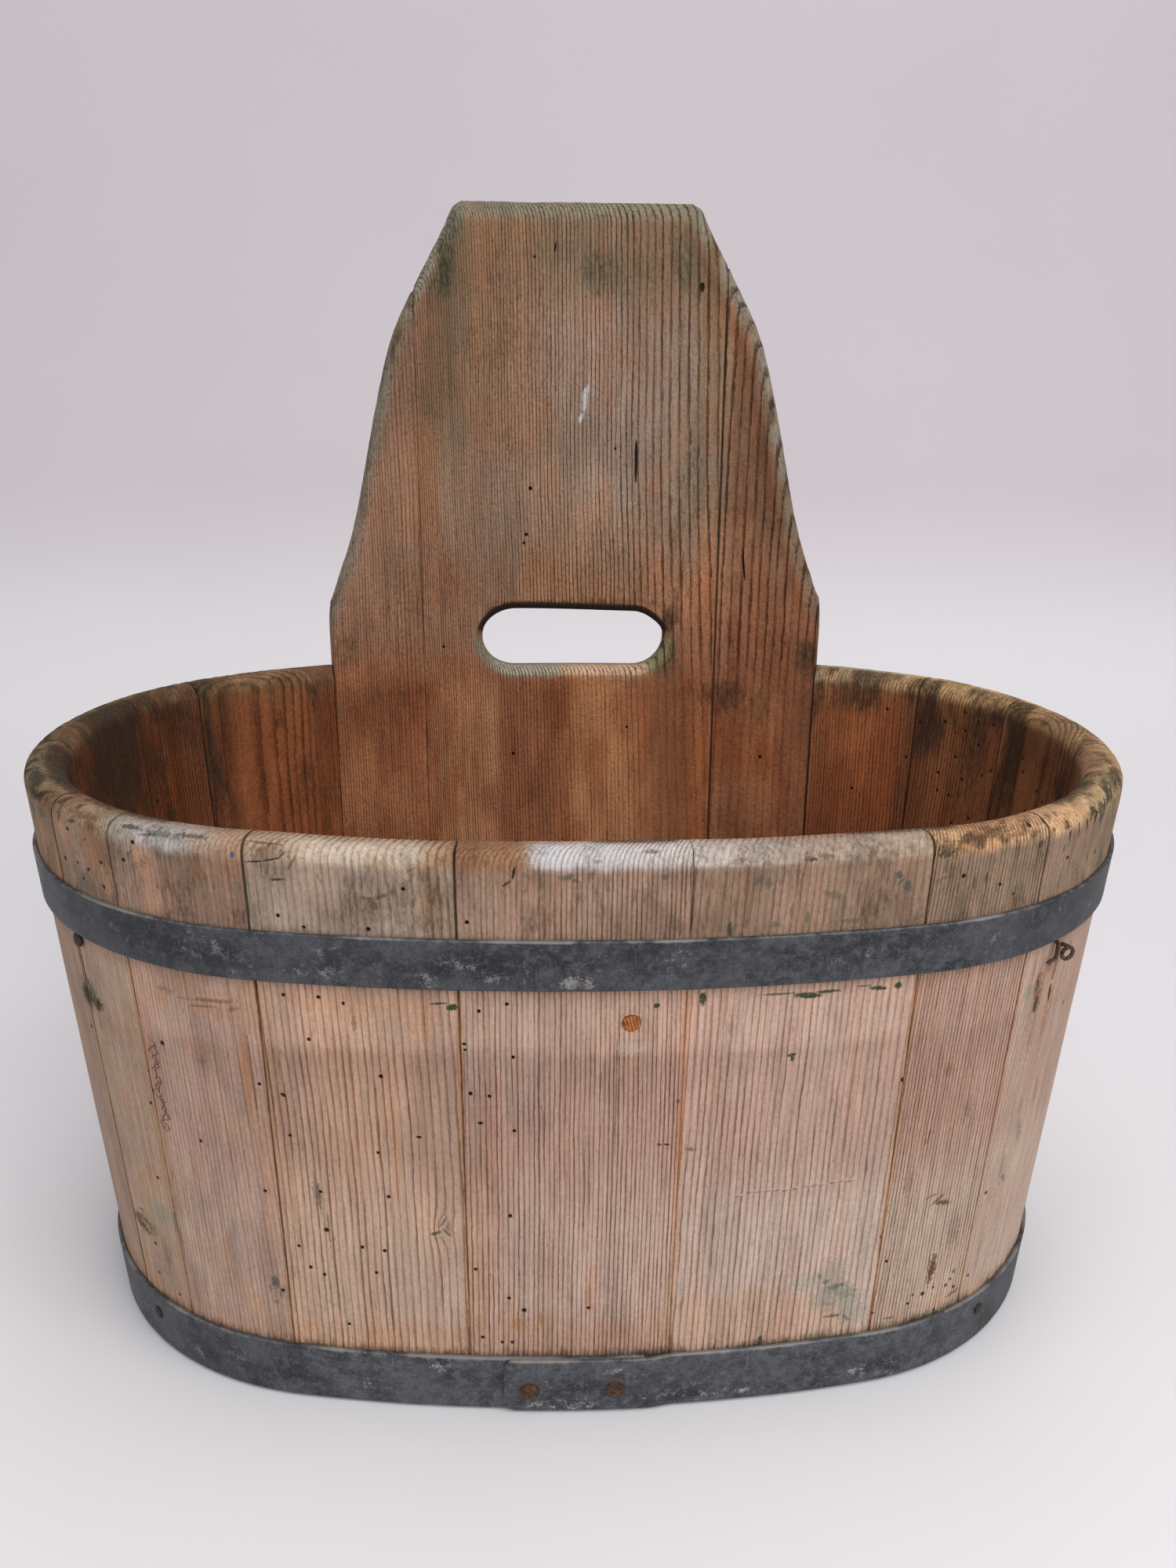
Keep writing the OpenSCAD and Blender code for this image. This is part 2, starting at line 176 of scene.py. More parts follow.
class Slab:
    """A board as two grids of points, one on each face, joined round the edge.
    t runs from 0 to 1 to the right as seen from outside, z is the height, b is
    0 on the outer face and 1 on the inner face, e is extra depth in mm."""

    def __init__(self, ts, zs, width, strip=(0.2, 0.5, 0.8)):
        self.ts, self.zs, self.width = np.asarray(ts), np.asarray(zs), width
        self.nt, self.nz = len(ts), len(zs)
        tg, zg = np.meshgrid(self.ts, self.zs)
        n = tg.size
        self.t = [np.r_[tg.ravel(), tg.ravel()]]
        self.z = [np.r_[zg.ravel(), zg.ravel()]]
        self.b = [np.r_[np.zeros(n), np.ones(n)]]
        self.e = [np.zeros(2 * n)]
        self.h = [np.zeros(2 * n)]
        self.count = 2 * n
        self.keep = [np.ones((self.nz - 1, self.nt - 1), bool), np.ones((self.nz - 1, self.nt - 1), bool)]
        self.quads, self.tris = [], []
        nt, nz = self.nt, self.nz
        loop = [(i, 0) for i in range(nt)] + [(nt - 1, j) for j in range(1, nz)] + \
               [(i, nz - 1) for i in range(nt - 2, -1, -1)] + [(0, j) for j in range(nz - 2, 0, -1)]
        loop = np.array([j * nt + i for i, j in loop])
        rings = [loop]
        for s in strip:
            rings.append(self.add(self.t[0][loop], self.z[0][loop], np.full(len(loop), s)))
        rings.append(loop + n)
        for a, b in zip(rings[:-1], rings[1:]):
            a2, b2 = np.roll(a, -1), np.roll(b, -1)
            self.quads.append(np.c_[a2, a, b, b2])

    def add(self, t, z, b, e=None, h=None):
        n = len(t)
        self.t.append(np.asarray(t, float))
        self.z.append(np.asarray(z, float))
        self.b.append(np.asarray(b, float))
        self.e.append(np.zeros(n) if e is None else np.asarray(e, float))
        self.h.append(np.zeros(n) if h is None else np.asarray(h, float))
        ids = np.arange(self.count, self.count + n)
        self.count += n
        return ids

    def block(self, i0, i1, j0, j1):
        loop = [(i, j0) for i in range(i0, i1)] + [(i1, j) for j in range(j0, j1)] + \
               [(i, j1) for i in range(i1, i0, -1)] + [(i0, j) for j in range(j1, j0, -1)]
        return np.array([j * self.nt + i for i, j in loop])

    def join(self, a, b, flip=False):
        a2, b2 = np.roll(a, -1), np.roll(b, -1)
        self.quads.append(np.c_[a2, a, b, b2] if flip else np.c_[a, a2, b2, b])

    def pit(self, face, t0, z0, rx, rz, depth, angle=0.0):
        """A blind hole or slit: half width rx and half height rz in mm."""
        w = self.width(z0)
        ca, sa = abs(math.cos(angle)), abs(math.sin(angle))
        ex, ez = rx * ca + rz * sa, rx * sa + rz * ca
        i, j = int(np.abs(self.ts - t0).argmin()), int(np.abs(self.zs - z0).argmin())
        i0 = i1 = i
        j0 = j1 = j
        while i0 > 0 and (t0 - self.ts[i0]) * w < ex * 1.5 + 0.5:
            i0 -= 1
        while i1 < self.nt - 1 and (self.ts[i1] - t0) * w < ex * 1.5 + 0.5:
            i1 += 1
        while j0 > 0 and z0 - self.zs[j0] < ez * 1.3 + 0.8:
            j0 -= 1
        while j1 < self.nz - 1 and self.zs[j1] - z0 < ez * 1.3 + 0.8:
            j1 += 1
        if i0 < 2 or i1 > self.nt - 3 or j0 < 2 or j1 > self.nz - 3:
            return False
        if not self.keep[face][j0:j1, i0:i1].all():
            return False
        self.keep[face][j0:j1, i0:i1] = False
        loop = self.block(i0, i1, j0, j1)
        bt, bz = self.t[0][loop], self.z[0][loop]
        dx, dz = (bt - t0) * w, bz - z0
        a = np.arctan2(dz * math.cos(angle) - dx * math.sin(angle), dx * math.cos(angle) + dz * math.sin(angle))
        # points of the ellipse in the same directions, spread a little more evenly
        q = np.arctan2(np.sin(a) * rx ** 0.5, np.cos(a) * rz ** 0.5)
        px, pz = rx * np.cos(q), rz * np.sin(q)
        px, pz = px * math.cos(angle) - pz * math.sin(angle), px * math.sin(angle) + pz * math.cos(angle)
        loop = loop + (self.nt * self.nz if face else 0)
        sign, bval = (-1.0, 1.0) if face else (1.0, 0.0)
        last = loop
        for k, e, h in ((1.0 + 0.30, 0.0, 0.10), (1.0, 0.10, 0.55), (0.93, 0.45, 0.9), (0.85, depth * 0.55, 1.0), (0.7, depth, 1.0)):
            if k > 1:
                gx, gz = px * 1.10 + 0.12 * np.sign(px), pz * 1.10 + 0.12 * np.sign(pz)
            else:
                gx, gz = px * k, pz * k
            ids = self.add(t0 + gx / w, z0 + gz, np.full(len(loop), bval), np.full(len(loop), sign * e), np.full(len(loop), h))
            self.join(last, ids, flip=bool(face))
            last = ids
        c = self.add([t0], [z0], [bval], [sign * depth * 1.1], [1.0])
        nxt = np.roll(last, -1)
        cc = np.full(len(last), c[0])
        self.tris.append(np.c_[nxt, last, cc] if face else np.c_[last, nxt, cc])
        return True

    def slot(self, t0, z0, half, rad, edge):
        """A hole right through with round ends and rounded edges."""
        w = self.width(z0)
        i0 = int(np.searchsorted(self.ts, t0 - (half + edge + 5) / w)) - 1
        i1 = int(np.searchsorted(self.ts, t0 + (half + edge + 5) / w))
        j0 = int(np.searchsorted(self.zs, z0 - (rad + edge + 5))) - 1
        j1 = int(np.searchsorted(self.zs, z0 + (rad + edge + 5)))
        for f in (0, 1):
            self.keep[f][j0:j1, i0:i1] = False
        loop = self.block(i0, i1, j0, j1)
        bx, bz = (self.t[0][loop] - t0) * w, self.z[0][loop] - z0
        mx = np.clip(bx, -(half - rad), half - rad)
        vx, vz = bx - mx, bz
        ln = np.hypot(vx, vz)
        ux, uz = vx / ln, vz / ln
        steps = [edge + 2.5, edge + 0.2, edge * 0.75, edge * 0.5, edge * 0.28, edge * 0.12, 0.0]
        n = self.nt * self.nz
        last = loop
        for s in steps:
            r = rad + s
            ids = self.add(t0 + (mx + ux * r) / w, z0 + uz * r, np.zeros(len(loop)), None, np.full(len(loop), -1 - s))
            self.join(last, ids)
            last = ids
        for b in (0.25, 0.5, 0.75):
            ids = self.add(t0 + (mx + ux * rad) / w, z0 + uz * rad, np.full(len(loop), b), None, np.full(len(loop), -1.0))
            self.join(last, ids)
            last = ids
        for s in steps[::-1]:
            r = rad + s
            ids = self.add(t0 + (mx + ux * r) / w, z0 + uz * r, np.ones(len(loop)), None, np.full(len(loop), -1 - s))
            self.join(last, ids)
            last = ids
        self.join(last, loop + n)

    def done(self):
        t, z, b, e, h = (np.concatenate(x) for x in (self.t, self.z, self.b, self.e, self.h))
        nt = self.nt
        quads = list(self.quads)
        for face in (0, 1):
            jj, ii = np.nonzero(self.keep[face])
            a = jj * nt + ii + (self.nt * self.nz if face else 0)
            q = np.c_[a, a + 1, a + nt + 1, a + nt]
            quads.append(q[:, ::-1] if face else q)
        quads = np.concatenate(quads)
        tris = np.concatenate(self.tris) if self.tris else np.zeros((0, 3), np.int64)
        used = np.zeros(len(t), bool)
        used[quads.ravel()] = True
        used[tris.ravel()] = True
        new = np.cumsum(used) - 1
        return t[used], z[used], b[used], e[used], h[used], new[quads], new[tris]


def graded(length, near, step):
    """Distances from 0 to length, fine near both ends."""
    near = [x for x in near if x < length * 0.45]
    a, b = near[-1], length - near[-1]
    n = max(2, int(round((b - a) / step)))
    mid = list(np.linspace(a, b, n + 1))[1:-1]
    return np.array(near + mid + [length - x for x in near[::-1]])


# ---------------------------------------------------------------- grain
class Grain:
    """Growth rings round a pith line at (px, py), mm from the middle of the
    stave's outer face. steps: ring spacings at places across the face."""

    def __init__(self, width, px, py, steps, tilt=0.0, wave=1.0, seed=0, knots=()):
        self.px, self.py, self.tilt, self.wave, self.seed, self.knots = px, py, tilt, wave, seed, knots
        edge = width * 0.62
        if px <= -edge or px >= edge:
            xs = np.linspace(-edge, edge, 500)
        else:
            xs = np.linspace(px, edge if px < 0 else -edge, 500)
        at = np.array([q[0] for q in steps], float)
        sp = np.interp(xs, at, np.array([q[1] for q in steps], float))
        r = np.hypot(xs - px, py)
        k = np.r_[0, np.cumsum(np.abs(np.diff(xs)) / (0.5 * (sp[1:] + sp[:-1])))]
        if r[0] > r[-1]:
            r, sp, k = r[::-1], sp[::-1], k[-1] - k[::-1]
        self.r, self.k = r, k
        self.lo, self.hi = max(sp[0], 0.5), max(sp[-1], 0.5)

    def ring(self, x, y, z):
        """x across, y out of the face, z up, mm."""
        xs = x + self.tilt * (z - 120) + self.wave * 6 * (vnoise(x * 0.01, y * 0.01, z * 0.006, self.seed) - 0.5) \
            + self.wave * 1.2 * (vnoise(x * 0.05, y * 0.05, z * 0.03, self.seed + 3) - 0.5)
        for kx, kz, kr, amp in self.knots:
            g = np.exp(-((x - kx) ** 2 / (2 * kr * kr) + (z - kz) ** 2 / (2 * (kr * 1.8) ** 2)))
            xs = xs + amp * g
        r = np.hypot(xs - self.px, y - self.py)
        c = np.clip(r, self.r[0], self.r[-1])
        return np.interp(c, self.r, self.k) + np.where(r < c, (r - c) / self.lo, (r - c) / self.hi) + 40.0


# ---------------------------------------------------------------- node helpers
class Tree:
    def __init__(self, name):
        self.mat = bpy.data.materials.new(name)
        self.mat.use_nodes = True
        self.t = self.mat.node_tree
        self.t.nodes.clear()
        self.out = self.t.nodes.new("ShaderNodeOutputMaterial")
        self.bsdf = self.t.nodes.new("ShaderNodeBsdfPrincipled")
        self.t.links.new(self.bsdf.outputs[0], self.out.inputs[0])

    def put(self, socket, value):
        if hasattr(value, "is_output"):
            self.t.links.new(value, socket)
        elif isinstance(value, (tuple, list, np.ndarray)):
            v = [float(x) for x in value]
            n = len(socket.default_value)
            socket.default_value = (v + [1.0] * n)[:n]
        else:
            socket.default_value = value

    def attr(self, name, out="Fac"):
        n = self.t.nodes.new("ShaderNodeAttribute")
        n.attribute_name = name
        return n.outputs[out]

    def split(self, color):
        n = self.t.nodes.new("ShaderNodeSeparateColor")
        self.put(n.inputs[0], color)
        return n.outputs[0], n.outputs[1], n.outputs[2]

    def xyz(self, vec):
        n = self.t.nodes.new("ShaderNodeSeparateXYZ")
        self.put(n.inputs[0], vec)
        return n.outputs[0], n.outputs[1], n.outputs[2]

    def math(self, op, a, b=0.0, c=0.0, clamp=False):
        n = self.t.nodes.new("ShaderNodeMath")
        n.operation = op
        n.use_clamp = clamp
        self.put(n.inputs[0], a)
        self.put(n.inputs[1], b)
        self.put(n.inputs[2], c)
        return n.outputs[0]

    def mul(self, a, b):
        return self.math("MULTIPLY", a, b)

    def addf(self, a, b):
        return self.math("ADD", a, b)

    def vmul(self, vec, s):
        n = self.t.nodes.new("ShaderNodeVectorMath")
        n.operation = "MULTIPLY"
        self.put(n.inputs[0], vec)
        self.put(n.inputs[1], s)
        return n.outputs[0]

    def vadd(self, vec, s):
        n = self.t.nodes.new("ShaderNodeVectorMath")
        n.operation = "ADD"
        self.put(n.inputs[0], vec)
        self.put(n.inputs[1], s)
        return n.outputs[0]

    def noise(self, vec, scale=1.0, detail=2.0, rough=0.5, dist=0.0):
        n = self.t.nodes.new("ShaderNodeTexNoise")
        self.put(n.inputs["Vector"], vec)
        self.put(n.inputs["Scale"], scale)
        self.put(n.inputs["Detail"], detail)
        self.put(n.inputs["Roughness"], rough)
        self.put(n.inputs["Distortion"], dist)
        return n.outputs[0]

    def voronoi(self, vec, scale=1.0, rand=1.0):
        n = self.t.nodes.new("ShaderNodeTexVoronoi")
        self.put(n.inputs["Vector"], vec)
        self.put(n.inputs["Scale"], scale)
        self.put(n.inputs["Randomness"], rand)
        return n.outputs["Distance"]

    def white(self, value):
        n = self.t.nodes.new("ShaderNodeTexWhiteNoise")
        n.noise_dimensions = "1D"
        self.put(n.inputs["W"], value)
        return n.outputs["Value"]

    def step(self, x, a, b, lo=0.0, hi=1.0):
        n = self.t.nodes.new("ShaderNodeMapRange")
        n.interpolation_type = "SMOOTHSTEP"
        self.put(n.inputs[0], x)
        n.inputs[1].default_value, n.inputs[2].default_value = a, b
        n.inputs[3].default_value, n.inputs[4].default_value = lo, hi
        return n.outputs[0]

    def mix(self, f, a, b, mode="MIX"):
        n = self.t.nodes.new("ShaderNodeMix")
        n.data_type = "RGBA"
        n.blend_type = mode
        self.put(n.inputs[0], f)
        self.put(n.inputs[6], a)
        self.put(n.inputs[7], b)
        return n.outputs[2]

    def scale_color(self, color, f):
        n = self.t.nodes.new("ShaderNodeVectorMath")
        n.operation = "SCALE"
        self.put(n.inputs[0], color)
        self.put(n.inputs["Scale"], f)
        return n.outputs[0]

    def bump(self, height, distance, strength=1.0):
        n = self.t.nodes.new("ShaderNodeBump")
        n.inputs["Strength"].default_value = strength
        n.inputs["Distance"].default_value = distance
        self.put(n.inputs["Height"], height)
        return n.outputs[0]


PAINT = {
    "olive": (0.075, 0.062, 0.026),
    "dirt_and_shade": (0.030, 0.019, 0.012), "brown": (0.125, 0.062, 0.030), "green": (0.040, 0.058, 0.030), "moss": (0.105, 0.110, 0.060),
    "mint": (0.22, 0.27, 0.21), "slate": (0.080, 0.088, 0.068), "grey": (0.16, 0.14, 0.12), "white": (0.60, 0.58, 0.55), "blue": (0.05, 0.12, 0.20), "red": (0.22, 0.055, 0.03),
    "pale": (0.50, 0.40, 0.32), "orange": (0.36, 0.165, 0.070),
}


def wood_material(name, line_dark=(0.44, 0.31, 0.24), relief=0.00035, spots=(), track=None, start=0.42):
    """Weathered softwood. spots: small marks (kind, x, z, half width, half height,
    angle, strength, raggedness) in the piece's own plank coordinates, mm."""
    k = Tree(name)
    ring, plank = k.attr("ring"), k.attr("plank", "Vector")
    tint = k.attr("tint", "Color")
    dirt_and_shade, green, bleach = k.split(k.attr("m1", "Color"))
    strength, fuzz, warm = k.split(k.attr("m2", "Color"))
    # growth rings, each with its own strength and width
    n1 = k.noise(k.vmul(plank, (200, 200, 9)), 1.0, 2.0)
    n2 = k.noise(k.vmul(plank, (1000, 1000, 90)), 1.0, 4.0, 0.65)
    r = k.addf(ring, k.mul(k.math("SUBTRACT", n1, 0.5), 0.34))
    r = k.addf(r, k.mul(k.math("SUBTRACT", n2, 0.5), 0.55))
    f, cell = k.math("FRACT", r), k.math("FLOOR", r)
    rnd, rnd2 = k.white(cell), k.white(k.addf(cell, 0.37))
    f = k.addf(f, k.math("MULTIPLY_ADD", rnd2, 0.16, -0.08))
    rise = k.math("POWER", k.step(f, start, 0.87), 1.8)
    late = k.mul(rise, k.step(f, 0.90, 0.975, 1.0, 0.0))
    fade = k.noise(k.vmul(plank, (420, 420, 26)), 1.0, 4.0, 0.65)
    line = k.mul(k.mul(late, k.math("MULTIPLY_ADD", rnd, 0.50, 0.62)), strength)
    line = k.mul(line, k.step(fade, 0.28, 0.60, 0.35, 1.15))
    # fibres along the grain, cloudy tone and fine grit
    fib = k.noise(k.vmul(plank, (1900, 1900, 60)), 1.0, 4.0, 0.70)
    fib2 = k.noise(k.vmul(plank, (560, 560, 16)), 1.0, 5.0, 0.70)
    cloud = k.noise(k.vmul(plank, (70, 70, 24)), 1.0, 6.0, 0.66)
    fine = k.noise(k.vmul(plank, (900, 900, 620)), 1.0, 4.0, 0.78)
    grit = k.noise(k.vmul(plank, (760, 760, 520)), 1.0, 3.0, 0.65)
    g = k.addf(k.mul(fib, 0.62), k.mul(fib2, 0.95))
    g = k.addf(g, k.mul(cloud, 0.75))
    g = k.addf(g, k.mul(fine, 0.75))
    g = k.math("MAXIMUM", k.addf(g, -0.535), 0.2)
    base = k.scale_color(tint, g)
    rosy = k.noise(k.vmul(plank, (110, 110, 7)), 1.0, 4.0, 0.6)
    base = k.mix(k.step(rosy, 0.47, 0.72, 0.0, 0.6), base, k.mix(1.0, base, (1.02, 0.92, 0.87, 1), "MULTIPLY"))
    base = k.mix(k.step(rosy, 0.50, 0.28, 0.0, 0.6), base, k.mix(1.0, base, (0.92, 0.98, 0.99, 1), "MULTIPLY"))
    base = k.mix(warm, base, k.mix(1.0, base, (1.00, 0.78, 0.57, 1), "MULTIPLY"))
    wood = k.mix(line, base, k.mix(1.0, base, (*line_dark, 1), "MULTIPLY"))
    # rough, pebbly surface between the lines: painted highlights on the grit's high places and painted shade in its low
    # places
    wood = k.mix(k.mul(k.step(grit, 0.52, 0.70), k.mul(fuzz, 0.55)), wood, k.mix(1.0, base, (1.30, 1.28, 1.26, 1), "MULTIPLY"))
    wood = k.mix(k.mul(k.step(grit, 0.47, 0.30), k.mul(fuzz, 0.75)), wood, k.mix(1.0, wood, (0.52, 0.50, 0.48, 1), "MULTIPLY"))
    # bleached and rubbed places, where only the deepest lines stay
    pale_n = k.noise(k.vmul(plank, (420, 420, 150)), 1.0, 5.0, 0.72)
    pale = k.step(k.addf(bleach, k.mul(k.math("SUBTRACT", pale_n, 0.5), 1.3)), 0.25, 0.90)
    wood = k.mix(k.mul(pale, 0.80), wood, k.mix(k.mul(line, 0.62), (0.72, 0.690, 0.705, 1), (0.40, 0.355, 0.345, 1)))
    # green tints, and dirt with painted shade (inside the small holes and along the top of the hand slot), broken up by
    # noise
    gn = k.noise(k.vmul(plank, (520, 520, 210)), 1.0, 6.0, 0.76)
    gmask = k.step(k.addf(green, k.mul(k.math("SUBTRACT", gn, 0.5), 1.7)), 0.26, 0.95)
    wood = k.mix(k.mul(gmask, 0.62), wood, k.mix(0.35, (0.098, 0.108, 0.066, 1), k.mix(1.0, wood, (0.50, 0.66, 0.52, 1), "MULTIPLY")))
    deep = k.step(k.addf(green, k.mul(k.math("SUBTRACT", gn, 0.5), 2.4)), 0.72, 1.15)
    wood = k.mix(k.mul(deep, 0.65), wood, (0.032, 0.038, 0.022, 1))
    dn = k.noise(k.vmul(plank, (700, 700, 170)), 1.0, 6.0, 0.78)
    dmask = k.step(k.addf(dirt_and_shade, k.mul(k.math("SUBTRACT", dn, 0.5), 1.7)), 0.24, 0.92)
    wood = k.mix(k.mul(dmask, 0.84), wood, k.mix(0.3, (0.030, 0.020, 0.013, 1), k.mix(1.0, wood, (0.30, 0.24, 0.20, 1), "MULTIPLY")))
    # small dark flecks along the grain
    fl = k.noise(k.vmul(plank, (900, 900, 150)), 1.0, 2.0, 0.5)
    wood = k.mix(k.step(fl, 0.66, 0.78, 0.0, 0.6), wood, k.mix(1.0, wood, (0.45, 0.38, 0.34, 1), "MULTIPLY"))
    # single marks
    if spots:
        ragged = k.noise(k.vmul(plank, (800, 800, 650)), 1.0, 6.0, 0.80)
        ragged = k.math("SUBTRACT", ragged, 0.5)
        holed = k.step(k.noise(k.vmul(plank, (1100, 1100, 500)), 1.0, 3.0, 0.7), 0.32, 0.50, 0.70, 1.0)
        by_kind = {}
        for kind, x0, z0, rx, rz, ang, amount, rag in spots:
            v = k.vadd(plank, (-x0 * 0.001, 0, -z0 * 0.001))
            if ang:
                n = k.t.nodes.new("ShaderNodeVectorRotate")
                n.rotation_type = "Y_AXIS"
                k.put(n.inputs["Vector"], v)
                n.inputs["Angle"].default_value = ang
                v = n.outputs[0]
            v = k.vmul(v, (1000.0 / rx, 0, 1000.0 / rz))
            n = k.t.nodes.new("ShaderNodeVectorMath")
            n.operation = "LENGTH"
            k.put(n.inputs[0], v)
            q = k.math("MULTIPLY_ADD", ragged, rag * 2.4, n.outputs["Value"])
            m = k.step(q, 0.78, 1.18, min(1.0, amount * 1.12), 0.0)
            by_kind[kind] = m if kind not in by_kind else k.math("MAXIMUM", by_kind[kind], m)
        for kind, m in by_kind.items():
            wood = k.mix(k.mul(m, holed), wood, (*PAINT[kind], 1))
    if track:
        x0, z0, z1 = track
        px, py_, pz = k.xyz(plank)
        wob = k.noise(k.vmul(plank, (0, 0, 105)), 1.0, 4.0, 0.62)
        wob2 = k.noise(k.vadd(k.vmul(plank, (0, 0, 210)), (7.0, 0, 0)), 1.0, 3.0, 0.65)
        c = k.addf(k.math("SUBTRACT", px, x0 * 0.001), k.math("MULTIPLY_ADD", wob, -0.017, 0.0085))
        wid = k.math("MAXIMUM", k.math("MULTIPLY_ADD", wob2, 0.0125, -0.0055), 0.0)
        d = k.math("ABSOLUTE", k.math("SUBTRACT", k.math("ABSOLUTE", c), wid))
        m = k.mul(k.step(d, 0.00026, 0.00062, 0.92, 0.0), k.mul(k.step(pz, z0 * 0.001, z0 * 0.001 + 0.003), k.step(pz, z1 * 0.001 - 0.003, z1 * 0.001, 1.0, 0.0)))
        m = k.mul(m, k.step(fine, 0.36, 0.50, 0.35, 1.0))
        wood = k.mix(m, wood, (0.115, 0.060, 0.034, 1))
        line = k.math("MAXIMUM", line, m)
    k.put(k.bsdf.inputs["Base Color"], wood)
    rough = k.math("SUBTRACT", 0.94, k.addf(k.mul(line, 0.14), k.mul(fib, 0.10)))
    k.put(k.bsdf.inputs["Roughness"], rough)
    k.bsdf.inputs["Specular IOR Level"].default_value = 0.22
    height = k.addf(k.mul(line, k.math("MULTIPLY_ADD", fuzz, 1.6, 0.7)), k.mul(fib, 0.50))
    height = k.addf(height, k.mul(k.addf(fine, grit), k.addf(k.mul(fuzz, 1.6), 0.45)))
    height = k.math("SUBTRACT", height, k.mul(dmask, 0.7))
    k.put(k.bsdf.inputs["Normal"], k.bump(height, relief))
    return k.mat


def hoop_material():
    k = Tree("old_galvanised_strip")
    co = k.attr("plank", "Vector")
    rust, white, edge = k.split(k.attr("m1", "Color"))
    a = k.noise(k.vmul(co, (38, 38, 60)), 1.0, 5.0, 0.62)
    b = k.noise(k.vmul(co, (240, 240, 260)), 1.0, 4.0, 0.7)
    c = k.noise(k.vmul(co, (1300, 1300, 1300)), 1.0, 3.0, 0.7)
    base = k.mix(k.step(a, 0.34, 0.66), (0.027, 0.030, 0.036, 1), (0.104, 0.111, 0.126, 1))
    base = k.mix(k.step(b, 0.46, 0.66, 0.0, 0.70), base, (0.155, 0.162, 0.178, 1))
    base = k.mix(k.step(b, 0.30, 0.44, 0.65, 0.0), base, (0.022, 0.024, 0.027, 1))
    base = k.mix(k.step(c, 0.57, 0.69, 0.0, 0.70), base, (0.24, 0.245, 0.25, 1))
    m = k.noise(k.vmul(co, (520, 520, 620)), 1.0, 5.0, 0.78)
    base = k.mix(k.step(m, 0.55, 0.70, 0.0, 0.75), base, (0.17, 0.175, 0.185, 1))
    base = k.mix(k.step(m, 0.45, 0.33, 0.0, 0.70), base, (0.020, 0.021, 0.024, 1))
    base = k.mix(k.step(c, 0.44, 0.32, 0.0, 0.60), base, (0.018, 0.018, 0.020, 1))
    scr = k.noise(k.vmul(co, (60, 60, 2400)), 1.0, 2.0, 0.5)
    base = k.mix(k.step(scr, 0.66, 0.76, 0.0, 0.5), base, (0.22, 0.22, 0.22, 1))
    scv = k.noise(k.vmul(co, (1500, 1500, 70)), 1.0, 3.0, 0.6)
    base = k.mix(k.step(scv, 0.64, 0.74, 0.0, 0.45), base, (0.26, 0.26, 0.265, 1))
    wn = k.addf(k.mul(k.math("SUBTRACT", b, 0.5), 2.0), k.mul(k.math("SUBTRACT", c, 0.5), 1.6))
    w = k.step(k.addf(white, wn), 0.50, 0.90)
    base = k.mix(k.mul(w, 0.8), base, (0.46, 0.45, 0.43, 1))
    base = k.mix(1.0, base, k.attr("tint", "Color"), "MULTIPLY")
    base = k.mix(1.0, base, (0.90, 0.90, 0.91, 1), "MULTIPLY")
    # lighter top edge: painted highlight where the edge catches the light, together with wood-coloured dust
    e = k.step(k.addf(edge, k.mul(k.math("SUBTRACT", b, 0.5), 0.8)), 0.35, 1.0)
    base = k.mix(k.mul(e, 0.7), base, (0.34, 0.315, 0.29, 1))
    r = k.step(k.addf(rust, k.mul(k.math("SUBTRACT", b, 0.5), 1.2)), 0.35, 0.95)
    base = k.mix(k.mul(r, 0.9), base, (0.115, 0.052, 0.026, 1))
    k.put(k.bsdf.inputs["Base Color"], base)
    metal = k.math("SUBTRACT", 0.40, k.mul(k.math("MAXIMUM", w, r), 0.40), clamp=True)
    k.put(k.bsdf.inputs["Metallic"], metal)
    rough = k.addf(k.math("MULTIPLY_ADD", b, 0.34, 0.40), k.mul(k.math("MAXIMUM", w, r), 0.3))
    k.put(k.bsdf.inputs["Roughness"], rough)
    h = k.addf(k.mul(b, 0.5), k.addf(k.mul(c, 0.25), k.mul(w, 0.5)))
    h = k.addf(h, k.mul(r, 0.5))
    k.put(k.bsdf.inputs["Normal"], k.bump(h, 0.00022))
    return k.mat


def rust_material(name="rusty_iron", dark=(0.020, 0.012, 0.009), light=(0.15, 0.062, 0.028)):
    k = Tree(name)
    co = k.t.nodes.new("ShaderNodeTexCoord").outputs["Object"]
    a = k.noise(co, 700.0, 5.0, 0.65)
    b = k.noise(co, 2600.0, 3.0, 0.6)
    base = k.mix(k.step(a, 0.38, 0.66), (*dark, 1), (*light, 1))
    base = k.mix(k.step(b, 0.55, 0.75, 0.0, 0.5), base, (0.26, 0.13, 0.065, 1))
    k.put(k.bsdf.inputs["Base Color"], base)
    k.bsdf.inputs["Metallic"].default_value = 0.25
    k.put(k.bsdf.inputs["Roughness"], k.math("MULTIPLY_ADD", a, 0.35, 0.45))
    k.put(k.bsdf.inputs["Normal"], k.bump(k.addf(a, k.mul(b, 0.5)), 0.0003))
    return k.mat


MAT_WALL = wood_material("weathered_softwood")
MAT_BOARD = wood_material("weathered_board_softwood", (0.38, 0.27, 0.21), 0.00045, start=0.56)
MAT_FLOOR = wood_material("floor_softwood", (0.55, 0.42, 0.34))
MAT_HOOP = hoop_material()
MAT_RUST = rust_material()
MAT_NAIL = rust_material("dark_nail_iron", (0.012, 0.009, 0.008), (0.055, 0.028, 0.018))

# ---------------------------------------------------------------- paint
BODY = {
    "front_stave_left": (190, 158, 136),
    "front_stave_middle": (184, 152, 136),
    "front_stave_right": (188, 158, 142),
    "front_right_corner_stave": (178, 146, 130),
    "right_end_stave_front": (180, 154, 138),
    "right_end_stave_middle": (176, 148, 128),
    "front_left_corner_stave": (178, 148, 134),
    "left_end_stave_front": (176, 148, 128),
    "left_end_stave_middle": (170, 142, 124),
}
